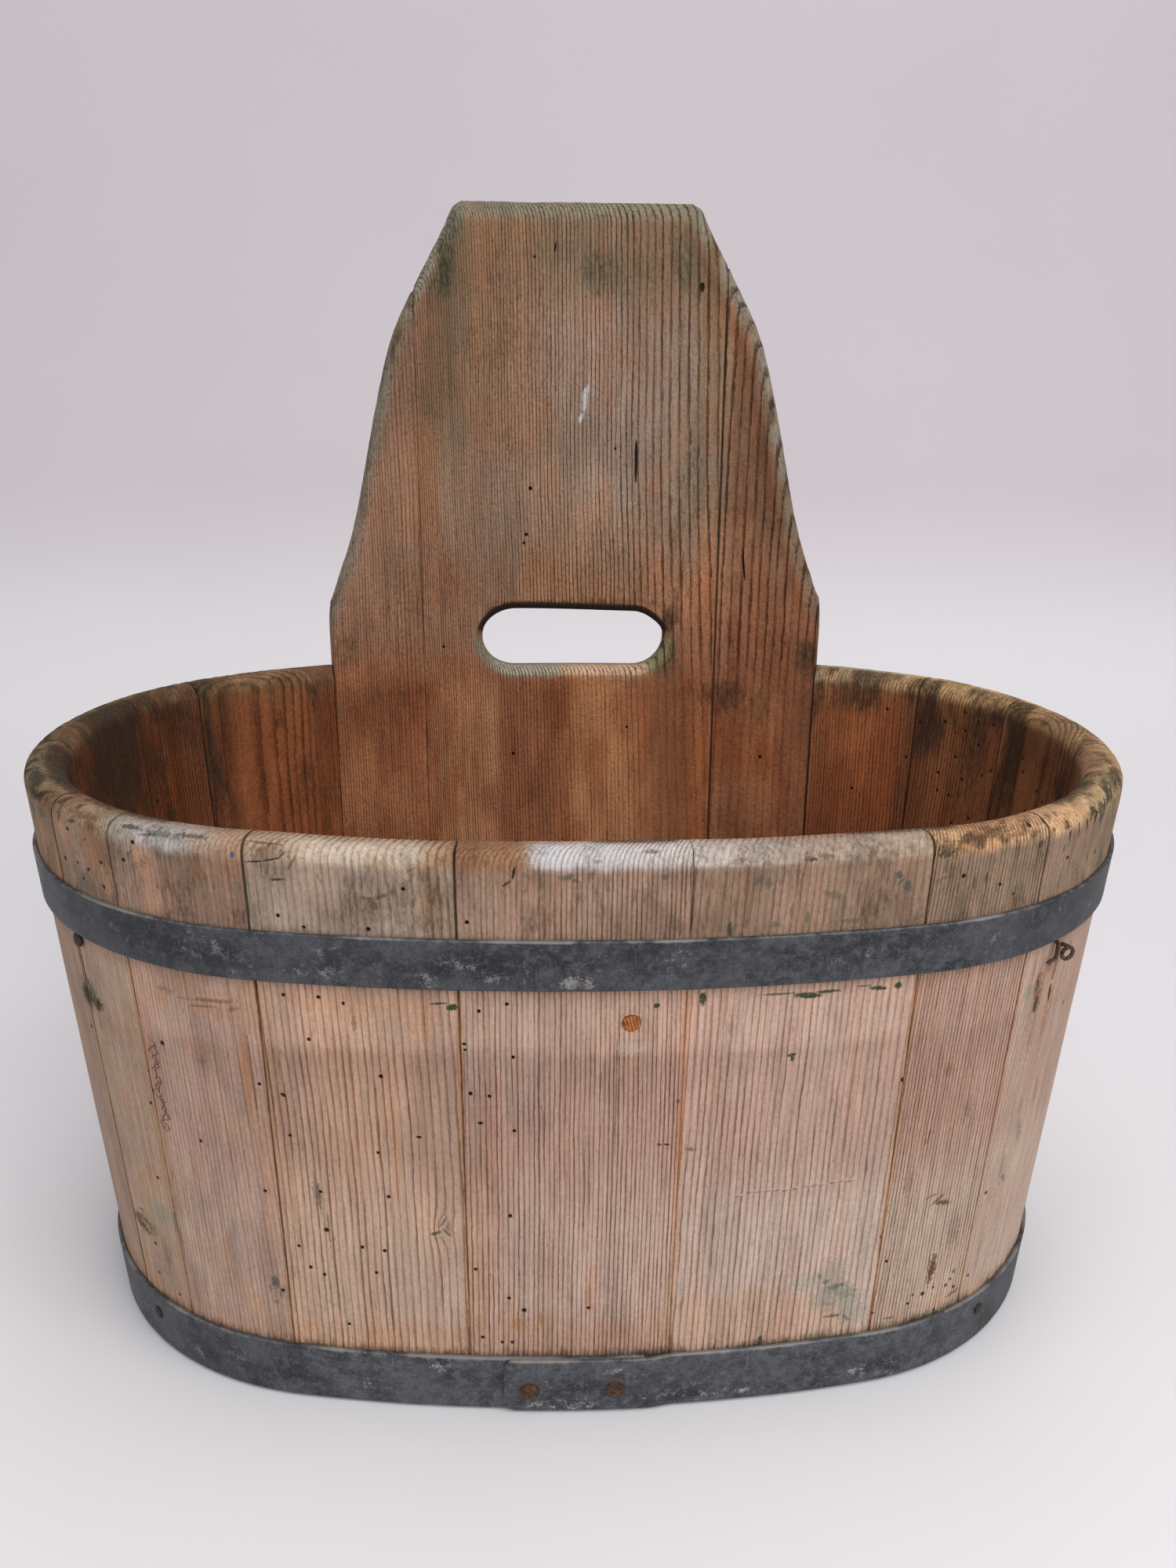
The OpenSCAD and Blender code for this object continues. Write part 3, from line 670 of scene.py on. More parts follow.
# colours of the rim round the tub: arc position, colour
RIM_U = np.array([-620, -400, -250, -212, -178, -150, -128, -90, -60, -45, -26, -18, 34, 70, 118, 123, 150, 215, 330, 620], float)
RIM_C = np.array([(136, 117, 91), (132, 104, 75), (142, 124, 96), (160, 126, 94), (166, 154, 136), (190, 186, 180), (182, 154, 130), (218, 196, 170), (210, 188, 162), (158, 116, 86),
                  (170, 132, 102), (222, 212, 206), (218, 208, 203), (177, 158, 142), (179, 160, 140), (202, 162, 120), (236, 186, 140), (210, 176, 136), (210, 172, 128), (166, 142, 112)], float)


def ell(u, z, u0, z0, ru, rz, ang=0.0, soft=0.5):
    c, s = math.cos(ang), math.sin(ang)
    du, dz = u - u0, z - z0
    q = np.hypot((du * c + dz * s) / ru, (-du * s + dz * c) / rz)
    return smooth(1 + soft, 1 - soft, q)


# small marks on the outside: kind, arc position, height, half width, half
# height, angle, strength, raggedness
SPOTS = [
    # remains of green paint under the upper hoop
    ("green", -49.5, 187.2, 2.0, 1.3, 0.25, 0.95, 0.9), ("green", -54.6, 188.6, 3.4, 0.5, 0.1, 0.85, 1.0), ("green", 23.6, 187.9, 1.2, 0.9, 0, 0.9, 0.9),
    ("green", 40.2, 190.2, 1.3, 2.8, 0, 0.95, 0.9), ("green", 79, 189.3, 5.4, 1.2, -0.05, 0.95, 1.2), ("green", 86.5, 190.3, 4.5, 0.7, 0, 0.85, 1.2), ("green", 68, 190.6, 6.5, 0.45, 0, 0.7, 1.2),
    ("green", 106, 190.0, 3.4, 0.9, -0.1, 0.95, 1.1), ("green", 113.6, 190.4, 1.4, 1.5, 0.5, 0.9, 0.9), ("green", 100, 191.4, 3.0, 0.4, 0, 0.6, 1.0),
    # above the upper hoop
    ("slate", 57.8, 236.8, 2.2, 1.5, 0.6, 0.60, 2.2), ("slate", 61, 235.2, 1.6, 1.9, 0.2, 0.50, 2.2), ("slate", 108.4, 235.4, 1.5, 1.5, 0, 0.80, 1.3), ("slate", 112.2, 230.8, 1.5, 2.1, 0.4, 0.75, 1.3),
    ("slate", 109.6, 232.8, 2.4, 0.5, 0.8, 0.6, 1.0), ("green", 48.3, 217.8, 0.9, 3.0, 0, 0.8, 1.1), ("slate", 85, 229, 4.0, 1.2, -0.3, 0.45, 2.4), ("slate", 88.5, 225, 1.6, 4.5, 0, 0.35, 2.2),
    ("slate", 70, 224, 0.7, 3.0, 0, 0.5, 1.2), ("slate", 76, 221, 0.7, 2.6, 0, 0.5, 1.2), ("slate", 97, 221, 0.7, 2.4, 0, 0.5, 1.2), ("slate", 54, 220, 0.6, 2.2, 0, 0.5, 1.2), ("slate", 64, 219, 2.5, 1.2, 0, 0.4, 2.0),
    ("slate", 92, 218.5, 5.0, 1.0, 0, 0.45, 2.2), ("brown", 66, 238, 0.8, 4.5, 0, 0.30, 1.2), ("slate", 40, 226, 0.8, 5.0, 0, 0.30, 1.4), ("brown", 50, 243.5, 3.2, 1.0, 0.2, 0.45, 2.0),
    ("brown", 76, 243.3, 2.8, 1.0, 0, 0.6, 1.8), ("brown", 81, 243.8, 3.2, 0.8, 0, 0.5, 1.8), ("dirt_and_shade", 76.5, 243.0, 1.4, 0.5, 0, 0.6, 1.2), ("slate", 92, 242.6, 1.0, 0.8, 0, 0.6, 1.2), ("brown", 106, 243.5, 3.0, 1.2, 0, 0.45, 2.0),
    ("brown", 98, 244, 2.2, 0.8, 0.3, 0.4, 1.8), ("brown", 60, 242.5, 1.8, 0.8, 0, 0.5, 1.6), ("brown", 113, 244.5, 1.6, 1.6, 0, 0.4, 1.6),
    ("slate", -8.4, 239.2, 2.4, 1.0, 0.5, 0.62, 1.8), ("slate", -5.6, 237.6, 1.3, 0.8, -0.4, 0.5, 1.4), ("dirt_and_shade", -27.0, 240.6, 0.55, 2.6, -0.18, 0.92, 0.7), ("dirt_and_shade", -29.4, 236.6, 0.45, 2.0, -0.9, 0.75, 0.9),
    ("slate", 5, 235.6, 0.8, 3.4, 0, 0.40, 1.4), ("slate", 14.5, 232, 0.6, 2.8, 0, 0.45, 1.2), ("brown", -16.4, 221, 0.45, 5.5, 0, 0.75, 0.9), ("orange", -17.0, 224, 1.0, 8, 0, 0.30, 1.2),
    ("slate", 24.6, 238.6, 1.2, 1.0, 0, 0.55, 1.4), ("slate", -37, 226, 1.0, 4.0, 0, 0.2, 1.6), ("slate", 2, 244.6, 1.6, 0.6, 0, 0.4, 1.6), ("brown", 20, 247.4, 3.0, 0.5, 0, 0.6, 1.4),
    ("brown", -75.8, 227.4, 1.3, 2.6, 0.5, 0.75, 1.8), ("brown", -72.6, 230.4, 2.6, 0.7, 0.5, 0.7, 1.5), ("brown", -78.4, 229.4, 1.6, 0.6, -0.3, 0.55, 1.5), ("brown", -68.8, 232, 1.4, 1.2, 0, 0.45, 1.6),
    ("dirt_and_shade", -109, 235, 2.6, 0.5, 0.1, 0.75, 1.0), ("slate", -103.4, 241.6, 0.6, 3.4, -0.5, 0.65, 1.2), ("dirt_and_shade", -116.6, 241.4, 3.4, 0.36, 0.10, 0.80, 0.7), ("dirt_and_shade", -110.8, 242.4, 3.4, 0.36, 0.24, 0.80, 0.7), ("dirt_and_shade", -106.6, 244.4, 1.9, 0.38, 0.85, 0.72, 0.8),
    ("brown", -112.5, 247.6, 6.4, 0.34, -0.04, 0.62, 0.9), ("brown", -112, 244.6, 6.4, 2.4, 0.08, 0.40, 2.2), ("slate", -94, 236, 0.6, 2.2, 0.4, 0.4, 1.4), ("slate", -62, 241, 1.6, 0.6, 0.6, 0.45, 1.4), ("slate", -90, 222, 1.0, 3, 0, 0.25, 1.6),
    ("blue", -124.3, 243.4, 0.85, 1.3, 0, 0.95, 0.7), ("slate", -152, 247.2, 8, 0.9, 0, 0.55, 2.4), ("dirt_and_shade", -168, 247.3, 4, 0.6, 0.05, 0.7, 1.6), ("dirt_and_shade", -159, 246.2, 3.4, 0.45, 0.1, 0.6, 1.6),
    ("dirt_and_shade", -140, 247.8, 6, 0.5, 0, 0.6, 1.8), ("slate", -167, 238.6, 2.4, 0.5, 0.6, 0.55, 1.3), ("slate", -161, 236, 1.8, 0.5, -0.4, 0.45, 1.3), ("slate", -148, 240, 1.4, 0.8, 0, 0.4, 1.8), ("brown", -133, 238, 1.0, 5, 0, 0.25, 1.6),
    ("brown", -195, 246.6, 9, 1.2, 0, 0.55, 2.2), ("dirt_and_shade", -200, 243.4, 3, 0.6, 0.2, 0.55, 1.8), ("brown", -188, 244.5, 3.4, 1.8, 0, 0.5, 2.2), ("dirt_and_shade", -209, 244, 1.2, 2.6, 0.2, 0.5, 1.8), ("slate", -192, 238, 1.6, 0.6, 0.4, 0.5, 1.4),
    ("dirt_and_shade", -230, 246, 6, 0.9, 0.3, 0.65, 2.2), ("green", -245, 246, 8, 2.6, 0, 0.55, 2.4), ("dirt_and_shade", -262, 246.5, 5, 1.0, 0.4, 0.6, 2.2), ("green", -226, 240, 5, 2.6, 0, 0.45, 2.4), ("slate", -222, 226, 2, 5, 0, 0.3, 2.0),
    ("green", 127, 243.6, 5, 2.6, 0.1, 0.60, 2.4), ("dirt_and_shade", 125, 242, 3.6, 1.2, 0, 0.55, 2.2), ("brown", 146, 246.6, 8, 1.6, 0, 0.50, 2.2), ("brown", 137, 245.6, 5, 1.2, 0, 0.55, 2.2), ("brown", 158, 245, 5, 1.0, 0, 0.35, 2.0),
    ("dirt_and_shade", 164.6, 246.8, 0.9, 0.7, 0, 0.95, 0.7), ("dirt_and_shade", 168.6, 239.6, 1.2, 1.8, 0, 0.6, 1.6), ("dirt_and_shade", 139, 229.5, 0.5, 3.0, 0, 0.5, 1.2), ("dirt_and_shade", 144, 230.5, 0.5, 2.6, 0, 0.6, 1.2), ("brown", 157, 238, 0.9, 3.6, 0, 0.45, 1.6),
    ("slate", 126, 232.5, 4, 0.7, 0.3, 0.4, 1.8), ("slate", 150, 226, 1.4, 2, 0, 0.3, 1.8), ("slate", 162, 222, 1, 3, 0, 0.3, 1.8), ("dirt_and_shade", 158.5, 221.6, 0.5, 0.7, 0, 0.8, 0.8),
    ("dirt_and_shade", 186.5, 239.0, 0.55, 2.4, 0.12, 0.75, 1.2), ("dirt_and_shade", 192.6, 240.2, 0.6, 2.8, 0.1, 0.8, 1.2), ("dirt_and_shade", 199.0, 240.6, 0.7, 2.6, 0.2, 0.85, 1.3), ("dirt_and_shade", 184, 234.5, 0.5, 2.0, 0, 0.5, 1.2), ("brown", 190, 230, 0.6, 4, 0, 0.35, 1.4),
    ("green", 204, 243.6, 5, 1.4, 0.6, 0.70, 2.6), ("dirt_and_shade", 207, 242.0, 3.0, 1.0, 0.9, 0.85, 2.0), ("green", 213, 242.5, 4, 3.0, 0.6, 0.70, 2.6), ("dirt_and_shade", 217, 244.0, 3.8, 0.8, 0.7, 0.85, 2.2), ("dirt_and_shade", 212, 239.0, 0.8, 3.0, 0.2, 0.7, 1.6),
    ("green", 226, 245.5, 6, 2.0, 0.3, 0.70, 2.6), ("dirt_and_shade", 230, 244.8, 5, 0.9, 0.4, 0.8, 2.4), ("green", 240, 246.5, 6, 2.2, 0.2, 0.65, 2.6), ("dirt_and_shade", 243, 245.6, 4, 0.9, 0.4, 0.75, 2.4), ("dirt_and_shade", 224, 239, 0.6, 3.0, 0.1, 0.6, 1.6),
    ("dirt_and_shade", 206, 225, 0.5, 2.4, 0.3, 0.6, 1.2), ("dirt_and_shade", 231, 226, 0.7, 0.8, 0, 0.7, 0.9), ("slate", 225, 222, 3, 6, 0, 0.30, 2.2), ("slate", 236, 230, 3, 6, 0, 0.35, 2.2),
    # between the hoops
    ("brown", -139, 183.8, 8.5, 0.8, 0.06, 0.55, 2.0), ("brown", -144, 180.6, 5, 0.5, 0.1, 0.5, 1.8), ("brown", -131, 181.2, 2.2, 0.8, 0.2, 0.45, 1.6), ("grey", -161, 184.6, 3.4, 1.2, 0, 0.50, 2.2), ("grey", -152, 182.5, 4.0, 0.5, 0, 0.42, 1.8),
    ("grey", -148, 156.5, 1.5, 1.4, 0, 0.55, 1.8), ("brown", -147.2, 156.6, 0.6, 1.0, 0, 0.5, 1.2), ("dirt_and_shade", -214.5, 180, 0.55, 11, 0.02, 0.92, 0.9), ("dirt_and_shade", -217, 166.4, 1.7, 3.4, 0.25, 0.8, 1.8), ("dirt_and_shade", -208, 163.6, 1.5, 2.8, -0.1, 0.8, 1.6),
    ("dirt_and_shade", -212, 171, 1.0, 4.6, 0.3, 0.55, 1.6), ("green", -210, 168, 4, 6, 0, 0.35, 2.4), ("dirt_and_shade", -209, 155, 0.6, 2.6, 0.1, 0.5, 1.4), ("olive", -211, 60.8, 5.5, 2.6, -0.25, 0.70, 2.6), ("olive", -204, 63.6, 4.5, 1.6, -0.2, 0.70, 2.6), ("brown", -207, 58.5, 5.0, 1.4, -0.1, 0.6, 2.4), ("olive", -215, 166, 4.2, 3.6, 0, 0.95, 2.2), ("olive", -207, 165, 3.4, 2.2, 0, 0.9, 2.4), ("dirt_and_shade", -216, 167, 2.0, 2.2, 0, 0.8, 2.2), ("dirt_and_shade", -208.5, 165, 1.6, 1.2, 0, 0.8, 2.2),
    ("mint", -190, 72, 8, 6, 0, 0.42, 2.4), ("dirt_and_shade", -206, 68, 2.2, 0.7, 0.2, 0.5, 1.6), ("slate", -198, 62, 2.0, 5.0, 0, 0.30, 2.2), ("slate", -179, 72, 0.9, 6.5, 0, 0.5, 1.6), ("slate", -176.6, 64, 0.8, 7, 0, 0.35, 1.6), ("slate", -190, 52, 2, 7, 0, 0.28, 2.0),
    ("slate", -127.2, 56.6, 1.6, 2.7, 0, 0.72, 1.8), ("slate", -124.8, 52, 0.8, 3.2, 0, 0.5, 1.5), ("slate", -128, 46.8, 1.4, 0.9, 0, 0.4, 1.6), ("slate", -130, 53, 0.9, 2.2, 0, 0.4, 1.6),
    ("dirt_and_shade", -104.6, 101, 0.45, 9, 0.02, 0.55, 1.1), ("slate", -105.4, 103, 1.7, 6.5, 0, 0.34, 2.0), ("dirt_and_shade", -101.9, 86, 0.45, 9, 0.02, 0.5, 1.1), ("dirt_and_shade", -126.4, 152, 0.40, 20, 0, 0.55, 1.0), ("orange", -128.6, 156, 1.6, 12, 0, 0.40, 1.6),
    ("orange", -85.7, 179.6, 0.9, 3.6, 0, 0.8, 1.0), ("orange", -86.2, 184.2, 0.7, 1.4, 0, 0.5, 1.0), ("dirt_and_shade", -56.2, 92.0, 0.5, 3.0, -0.55, 0.50, 0.9), ("dirt_and_shade", -54.9, 87.4, 0.55, 2.4, 0.75, 0.55, 0.9), ("green", -59.2, 86.8, 2.2, 0.8, 0.45, 0.75, 1.2),
    ("orange", -48.2, 166, 0.5, 14, 0, 0.55, 1.0), ("dirt_and_shade", -45.6, 172.2, 0.8, 0.7, 0, 0.95, 0.6), ("dirt_and_shade", -45.4, 169.8, 0.75, 0.6, 0, 0.95, 0.6), ("dirt_and_shade", -46.0, 150, 0.35, 22, 0, 0.45, 1.1), ("brown", -46.4, 120, 0.6, 14, 0, 0.35, 1.4),
    ("slate", 38.6, 125.3, 1.9, 0.9, -0.25, 0.62, 1.6), ("dirt_and_shade", 26.6, 128.0, 1.0, 0.45, 0, 0.85, 0.8), ("dirt_and_shade", 29.6, 127.9, 1.1, 0.45, 0, 0.85, 0.8), ("orange", 1.3, 57, 0.5, 7.5, 0, 0.65, 1.0),
    ("orange", -26.4, 160, 0.7, 9, 0, 0.40, 1.3), ("orange", -18, 45, 0.9, 4.0, 0, 0.65, 1.2), ("orange", -27, 43, 3.4, 3.4, 0, 0.40, 2.0), ("orange", -43, 42, 2.2, 6, 0, 0.3, 2.0),
    ("brown", 9.8, 152, 0.32, 30, 0, 0.55, 0.9), ("brown", 8.9, 95, 0.28, 42, 0, 0.45, 0.9), ("dirt_and_shade", 9.7, 168, 0.35, 5, 0, 0.5, 0.9), ("brown", 31.5, 100, 0.30, 55, 0, 0.45, 0.9), ("dirt_and_shade", 33.0, 147, 0.6, 1.0, 0, 0.6, 1.0),
    ("green", 75.0, 164.4, 1.5, 0.8, 0.15, 0.95, 1.0), ("green", 75.4, 163.0, 0.7, 1.4, 0, 0.9, 0.9), ("slate", 103.5, 52.6, 3.6, 1.7, 0.3, 0.75, 1.9), ("slate", 99.2, 55.8, 1.7, 1.1, 0.5, 0.62, 1.6), ("slate", 95.9, 58.8, 0.8, 1.4, 0, 0.6, 1.3),
    ("slate", 109, 47.4, 2.6, 0.8, 0.5, 0.48, 1.8), ("green", 104, 37.6, 4.0, 0.8, 0, 0.60, 1.8), ("green", 109.4, 36, 0.7, 2.2, 0.7, 0.6, 1.2), ("slate", 101, 44, 2.4, 0.7, 0, 0.36, 1.8), ("green", 72.8, 29.2, 1.0, 2.6, 0, 0.85, 1.0),
    ("mint", 94, 58, 8, 4, 0.3, 0.36, 2.8), ("mint", 102, 60, 5, 7, 0, 0.34, 2.8), ("mint", 101, 48, 8, 5, 0.5, 0.46, 2.8), ("mint", 111, 42, 5, 8, 0.3, 0.44, 2.8), ("slate", 108, 49, 4, 3, 0, 0.34, 2.8), ("pale", 88, 168, 7, 2.6, 0.1, 0.30, 2.2), ("pale", 108, 176, 5, 3.6, 0, 0.30, 2.2), ("pale", 15, 170.5, 5, 2.6, 0, 0.6, 2.0), ("pale", 17, 175.6, 2, 1.2, 0.3, 0.4, 1.8),
    ("brown", 150.6, 85.6, 4.2, 1.1, -0.25, 0.80, 1.6), ("brown", 147.4, 88.0, 3.6, 0.7, 0.6, 0.70, 1.4), ("brown", 143, 90.4, 3.0, 0.5, 0.3, 0.55, 1.2), ("brown", 151.0, 52, 1.7, 7.4, -0.06, 0.95, 1.9), ("dirt_and_shade", 150.3, 47, 0.7, 3, 0, 0.5, 1.3),
    ("slate", 148.6, 56, 0.6, 4, 0, 0.4, 1.4), ("dirt_and_shade", 120.6, 149, 0.85, 1.1, 0, 0.9, 0.9), ("brown", 137, 121.6, 0.5, 3.4, 0, 0.6, 1.2), ("brown", 136.2, 118.2, 0.9, 1.4, 0.4, 0.42, 1.5), ("brown", 133.5, 150, 0.45, 2.0, 0, 0.4, 1.2), ("brown", 141, 150, 2, 3, 0, 0.35, 2.2), ("brown", 155, 130, 2, 5, 0, 0.35, 2.2), ("brown", 130, 100, 2, 6, 0, 0.3, 2.2), ("slate", 160, 70, 3, 9, 0, 0.3, 2.2), ("brown", 166, 46, 1.2, 1.0, 0, 0.7, 1.4), ("dirt_and_shade", 142.2, 41, 0.7, 0.7, 0, 0.8, 0.8), ("dirt_and_shade", 153.8, 41.6, 0.7, 0.7, 0, 0.8, 0.8), ("dirt_and_shade", 164.6, 42.4, 0.7, 0.7, 0, 0.8, 0.8),
    ("dirt_and_shade", 121.2, 36, 1.2, 0.7, 0, 0.7, 1.3), ("dirt_and_shade", 120.4, 75, 0.4, 1.1, 0, 0.7, 1.0), ("dirt_and_shade", 131, 31.8, 3, 0.5, 0, 0.5, 1.8), ("slate", 168, 34, 3.2, 0.9, 0.2, 0.6, 1.9), ("slate", 183, 48, 0.7, 8, 0, 0.3, 1.8),
    ("dirt_and_shade", 187.6, 167.4, 1.3, 4.6, 0.10, 0.90, 1.7), ("dirt_and_shade", 185.6, 176.5, 0.9, 3.2, 0.2, 0.75, 1.8), ("brown", 186.8, 172, 2.6, 8.0, 0.1, 0.60, 2.4), ("brown", 189.0, 152, 2.2, 9, 0.05, 0.30, 3.0), ("dirt_and_shade", 197.6, 169.5, 1.1, 4.4, 0.08, 0.85, 1.7), ("brown", 198.6, 156, 2.0, 11, 0.04, 0.34, 3.0), ("brown", 197.6, 179, 1.3, 6, 0, 0.55, 1.6), ("brown", 192.4, 182, 1.9, 2.2, 0, 0.45, 1.8), ("brown", 201, 164, 1.0, 9, 0.1, 0.30, 1.6),
    ("mint", 180.2, 174.6, 2.6, 3.8, 0, 0.48, 2.0), ("dirt_and_shade", 181, 184, 0.4, 4, 0, 0.55, 1.0), ("dirt_and_shade", 218, 157, 0.8, 1.1, 0, 0.8, 1.0), ("dirt_and_shade", 209, 187.0, 0.9, 1.6, 0, 0.5, 1.4),
    ("slate", 188, 90, 1.6, 8, 0.1, 0.30, 2.0), ("slate", 191, 84, 1.0, 3.2, 0.5, 0.5, 1.5), ("slate", 197, 104, 1.4, 6, 0.2, 0.4, 1.8), ("slate", 206, 120, 1.2, 7, 0.1, 0.34, 1.8), ("slate", 193, 118, 0.5, 4, 0, 0.4, 1.3),
]
# row of small scratches left by a tool
for _k, _u in enumerate(np.arange(58.0, 106.0, 3.7)):
    _j = float(vnoise(_k * 3.7, 1.3, 0.2, 17))
    SPOTS.append(("brown", float(_u + 2 * _j), 101.6 + 2.6 * _j + 0.03 * (_u - 58), 0.8 + 0.9 * _j, 0.36, 0.2, 0.30 + 0.50 * float(vnoise(_k * 2.1, 4.4, 0.7, 19)), 1.8))
    SPOTS.append(("pale", float(_u + 1.6 + 2 * _j), 102.4 + 2.6 * _j + 0.03 * (_u - 58), 1.5, 0.50, -0.2, 0.80, 1.6))


def paint_wall(name, u, z, d, inner, top, seam, faint):
    """Colour and masks of a wall stave at arc position u and height z (mm).
    inner: 1 on the inner face. top: not used. seam: distance to a joint."""
    n_lo = fbm(u * 0.02, d * 0.02, z * 0.02, 11, 4)
    n_mid = fbm(u * 0.07, d * 0.05, z * 0.03, 23, 4)
    n_hi = fbm(u * 0.25, d * 0.2, z * 0.08, 31, 3)
    body = lin(BODY.get(name, (178, 150, 128)))
    col = np.tile(body, (len(u), 1))
    # slow changes of tone, pinker and greyer
    col = mixc(col, col * np.array([0.98, 0.91, 0.90]), smooth(0.45, 0.75, n_mid) * 0.6)
    col = mixc(col, lin((158, 136, 126)), smooth(0.50, 0.78, fbm(u * 0.035, 0, z * 0.012, 47, 3)) * 0.40)
    dirt_and_shade = np.zeros(len(u))
    green = np.zeros(len(u))
    bleach = np.zeros(len(u))
    warm = np.zeros(len(u))
    strength = np.full(len(u), 0.85)
    outer = 1 - inner
    n_pa = fbm(u * 0.10, 0, z * 0.045, 67, 4)
    lf = smooth(-112, -124, u) * outer
    col = mixc(col, lin((178, 150, 124)), smooth(0.54, 0.68, n_pa) * lf * 0.50)
    col = mixc(col, lin((158, 134, 118)), smooth(0.46, 0.34, n_pa) * lf * 0.45)
    warm = np.maximum(warm, smooth(0.52, 0.66, fbm(u * 0.08, 3, z * 0.05, 69, 4)) * lf * 0.40)
    col = mixc(col, col * np.array([0.95, 0.99, 1.01]), smooth(-174, -182, u) * outer)
    col = mixc(col, col * np.array([1.03, 1.05, 1.04]), ((u > 121) & (u < 173)) * smooth(110, 90, z) * outer)
    col = mixc(col, col * np.array([0.98, 0.96, 0.95]), ((u > -121) & (u < -47)) * smooth(150, 165, z) * outer)
    col = mixc(col, col * np.array([1.02, 1.05, 1.03]), ((u > -47) & (u < 35)) * smooth(160, 170, z) * outer)
    # band where the hoop sat before, a little lower: clean and pale
    edge = 169.0 + 1.6 * (vnoise(u * 0.05, 0, 0, 5) - 0.5) - 3.0 * smooth(120, 180, np.abs(u)) - 3.0 * smooth(-60, -110, u)
    clean = smooth(edge - 2.2, edge + 2.2, z + 2.5 * (n_hi - 0.5)) * (1 - smooth(192, 196, z))
    clean = clean * (1 - 0.75 * smooth(116, 124, u)) * (1 - 0.65 * smooth(-116, -126, u)) * (1 - smooth(170, 215, np.abs(u)))
    col = mixc(col, col * np.array([1.14, 1.16, 1.16]), clean)
    col = mixc(col, col * np.array([0.93, 0.92, 0.92]), smooth(edge + 1.0, edge - 1.0, z) * smooth(edge - 26, edge - 2, z) * 0.8)
    shade = smooth(186, 195, z) * (1 - smooth(195, 197, z)) * (0.3 + 0.7 * n_hi)
    col = mixc(col, lin((128, 98, 76)), shade * 0.6)
    # paler and greyer low down
    lowz = smooth(128, 82, z)
    for u0, u1, c in ((-178, -121, (1.03, 1.09, 1.08)), (-121, -47, (1.06, 1.14, 1.17)), (-47, 35, (1.07, 1.18, 1.21)), (35, 121, (1.12, 1.27, 1.33)), (121, 173, (1.13, 1.31, 1.34)), (173, 262, (1.10, 1.20, 1.22))):
        col = mixc(col, col * np.array(c), ((u >= u0) & (u < u1)) * lowz)
    col = mixc(col, col * np.array([0.93, 0.91, 0.88]), ((u >= -121) & (u < -47)) * smooth(100, 130, z) * smooth(172, 160, z))
    # above the upper hoop: greyer, dirtier wood
    up = smooth(212.0, 216.0, z)
    upc = np.tile(lin((148, 126, 106)), (len(u), 1))
    for u0, u1, c in ((-47, 35, (168, 138, 118)), (-121, -47, (168, 150, 134)), (-178, -121, (164, 132, 114)), (-216, -178, (158, 124, 100)), (-300, -216, (140, 114, 88)),
                      (35, 121, (156, 128, 106)), (121, 173, (146, 124, 102)), (173, 212, (156, 128, 105)), (212, 262, (148, 125, 100))):
        upc = mixc(upc, lin(c), ((u >= u0) & (u < u1)) * 0.9)
    upc = mixc(upc, lin((196, 150, 118)), smooth(0.50, 0.64, n_pa) * smooth(-112, -124, u) * 0.5)
    upc = mixc(upc, lin((150, 146, 128)), smooth(0.46, 0.36, n_pa) * smooth(-112, -124, u) * 0.4)
    upc = mixc(upc, lin((112, 94, 76)), smooth(0.46, 0.70, fbm(u * 0.09, 0, z * 0.05, 59, 4)) * 0.55 * (1 - 0.75 * ell(u, z, -86, 238, 18, 14, 0, 0.6)))
    upc = mixc(upc, lin((172, 160, 146)), ((u > -121) & (u < -60)) * smooth(0.48, 0.64, fbm(u * 0.06, 3, z * 0.07, 61, 4)) * 0.55)
    col = mixc(col, upc, up * 0.92)
    # rim
    rim_c = np.stack([np.interp(u, RIM_U, RIM_C[:, k]) for k in range(3)], 1)
    crisp = smooth(30, 38, u) * smooth(122, 118, u)
    rim_w = smooth(RIM - 9.0 + 1.5 * crisp, RIM - 4.5 - 1.2 * crisp, z + 3.0 * (1 - crisp) * (n_hi - 0.5))
    rim_w = rim_w * (1 - inner * 0.35)
    rim = lin(rim_c)
    rim_f = fbm(u * 0.45, d * 0.45, z * 0.45, 77, 3)
    rough_end = smooth(120, 126, u) + smooth(-176, -182, u)
    spot_n = fbm(u * 0.12, d * 0.12, z * 0.12, 71, 4)
    rim = mixc(rim, rim * np.array([0.62, 0.55, 0.48]), smooth(0.50, 0.70, spot_n) * (0.35 + 0.30 * np.clip(rough_end, 0, 1)))
    rim = mixc(rim, lin((190, 166, 134)), smooth(0.42, 0.25, spot_n) * 0.45 * np.clip(rough_end, 0, 1))
    rim = mixc(rim, rim * np.array([0.66, 0.58, 0.50]), smooth(0.52, 0.68, rim_f) * (0.25 + 0.25 * np.clip(rough_end, 0, 1)))
    rim = mixc(rim, rim * np.array([1.66, 1.70, 1.58]), smooth(340, 380, u))
    rim = mixc(rim, lin((176, 176, 146)), smooth(432, 452, u) * (0.45 + 0.4 * smooth(0.4, 0.6, n_hi)))
    oc = mixc(col, rim, rim_w * 0.95)
    white = np.interp(u, [-185, -176, -150, -135, -112, -100, -60, -50, -26, -16, 33, 120, 122, 140, 620],
                      [0, .35, .52, 0.20, 0.10, .42, .42, 0.10, 0.0, .90, .30, .28, 0, 0, 0])
    bleach = bleach + rim_w * white * outer
    dirt_and_shade = np.maximum(dirt_and_shade, rim_w * (0.07 + 0.10 * np.clip(rough_end, 0, 1) + smooth(0.46, 0.70, fbm(u * 0.2, d * 0.2, z * 0.2, 73, 4)) * (0.22 + 0.50 * np.clip(rough_end, 0, 1) * (1 - 0.45 * smooth(320, 380, u)))))
    green = np.maximum(green, rim_w * smooth(205, 222, np.abs(u)) * smooth(0.40, 0.62, fbm(u * 0.08, d * 0.1, z * 0.1, 79, 4)) * 0.75)
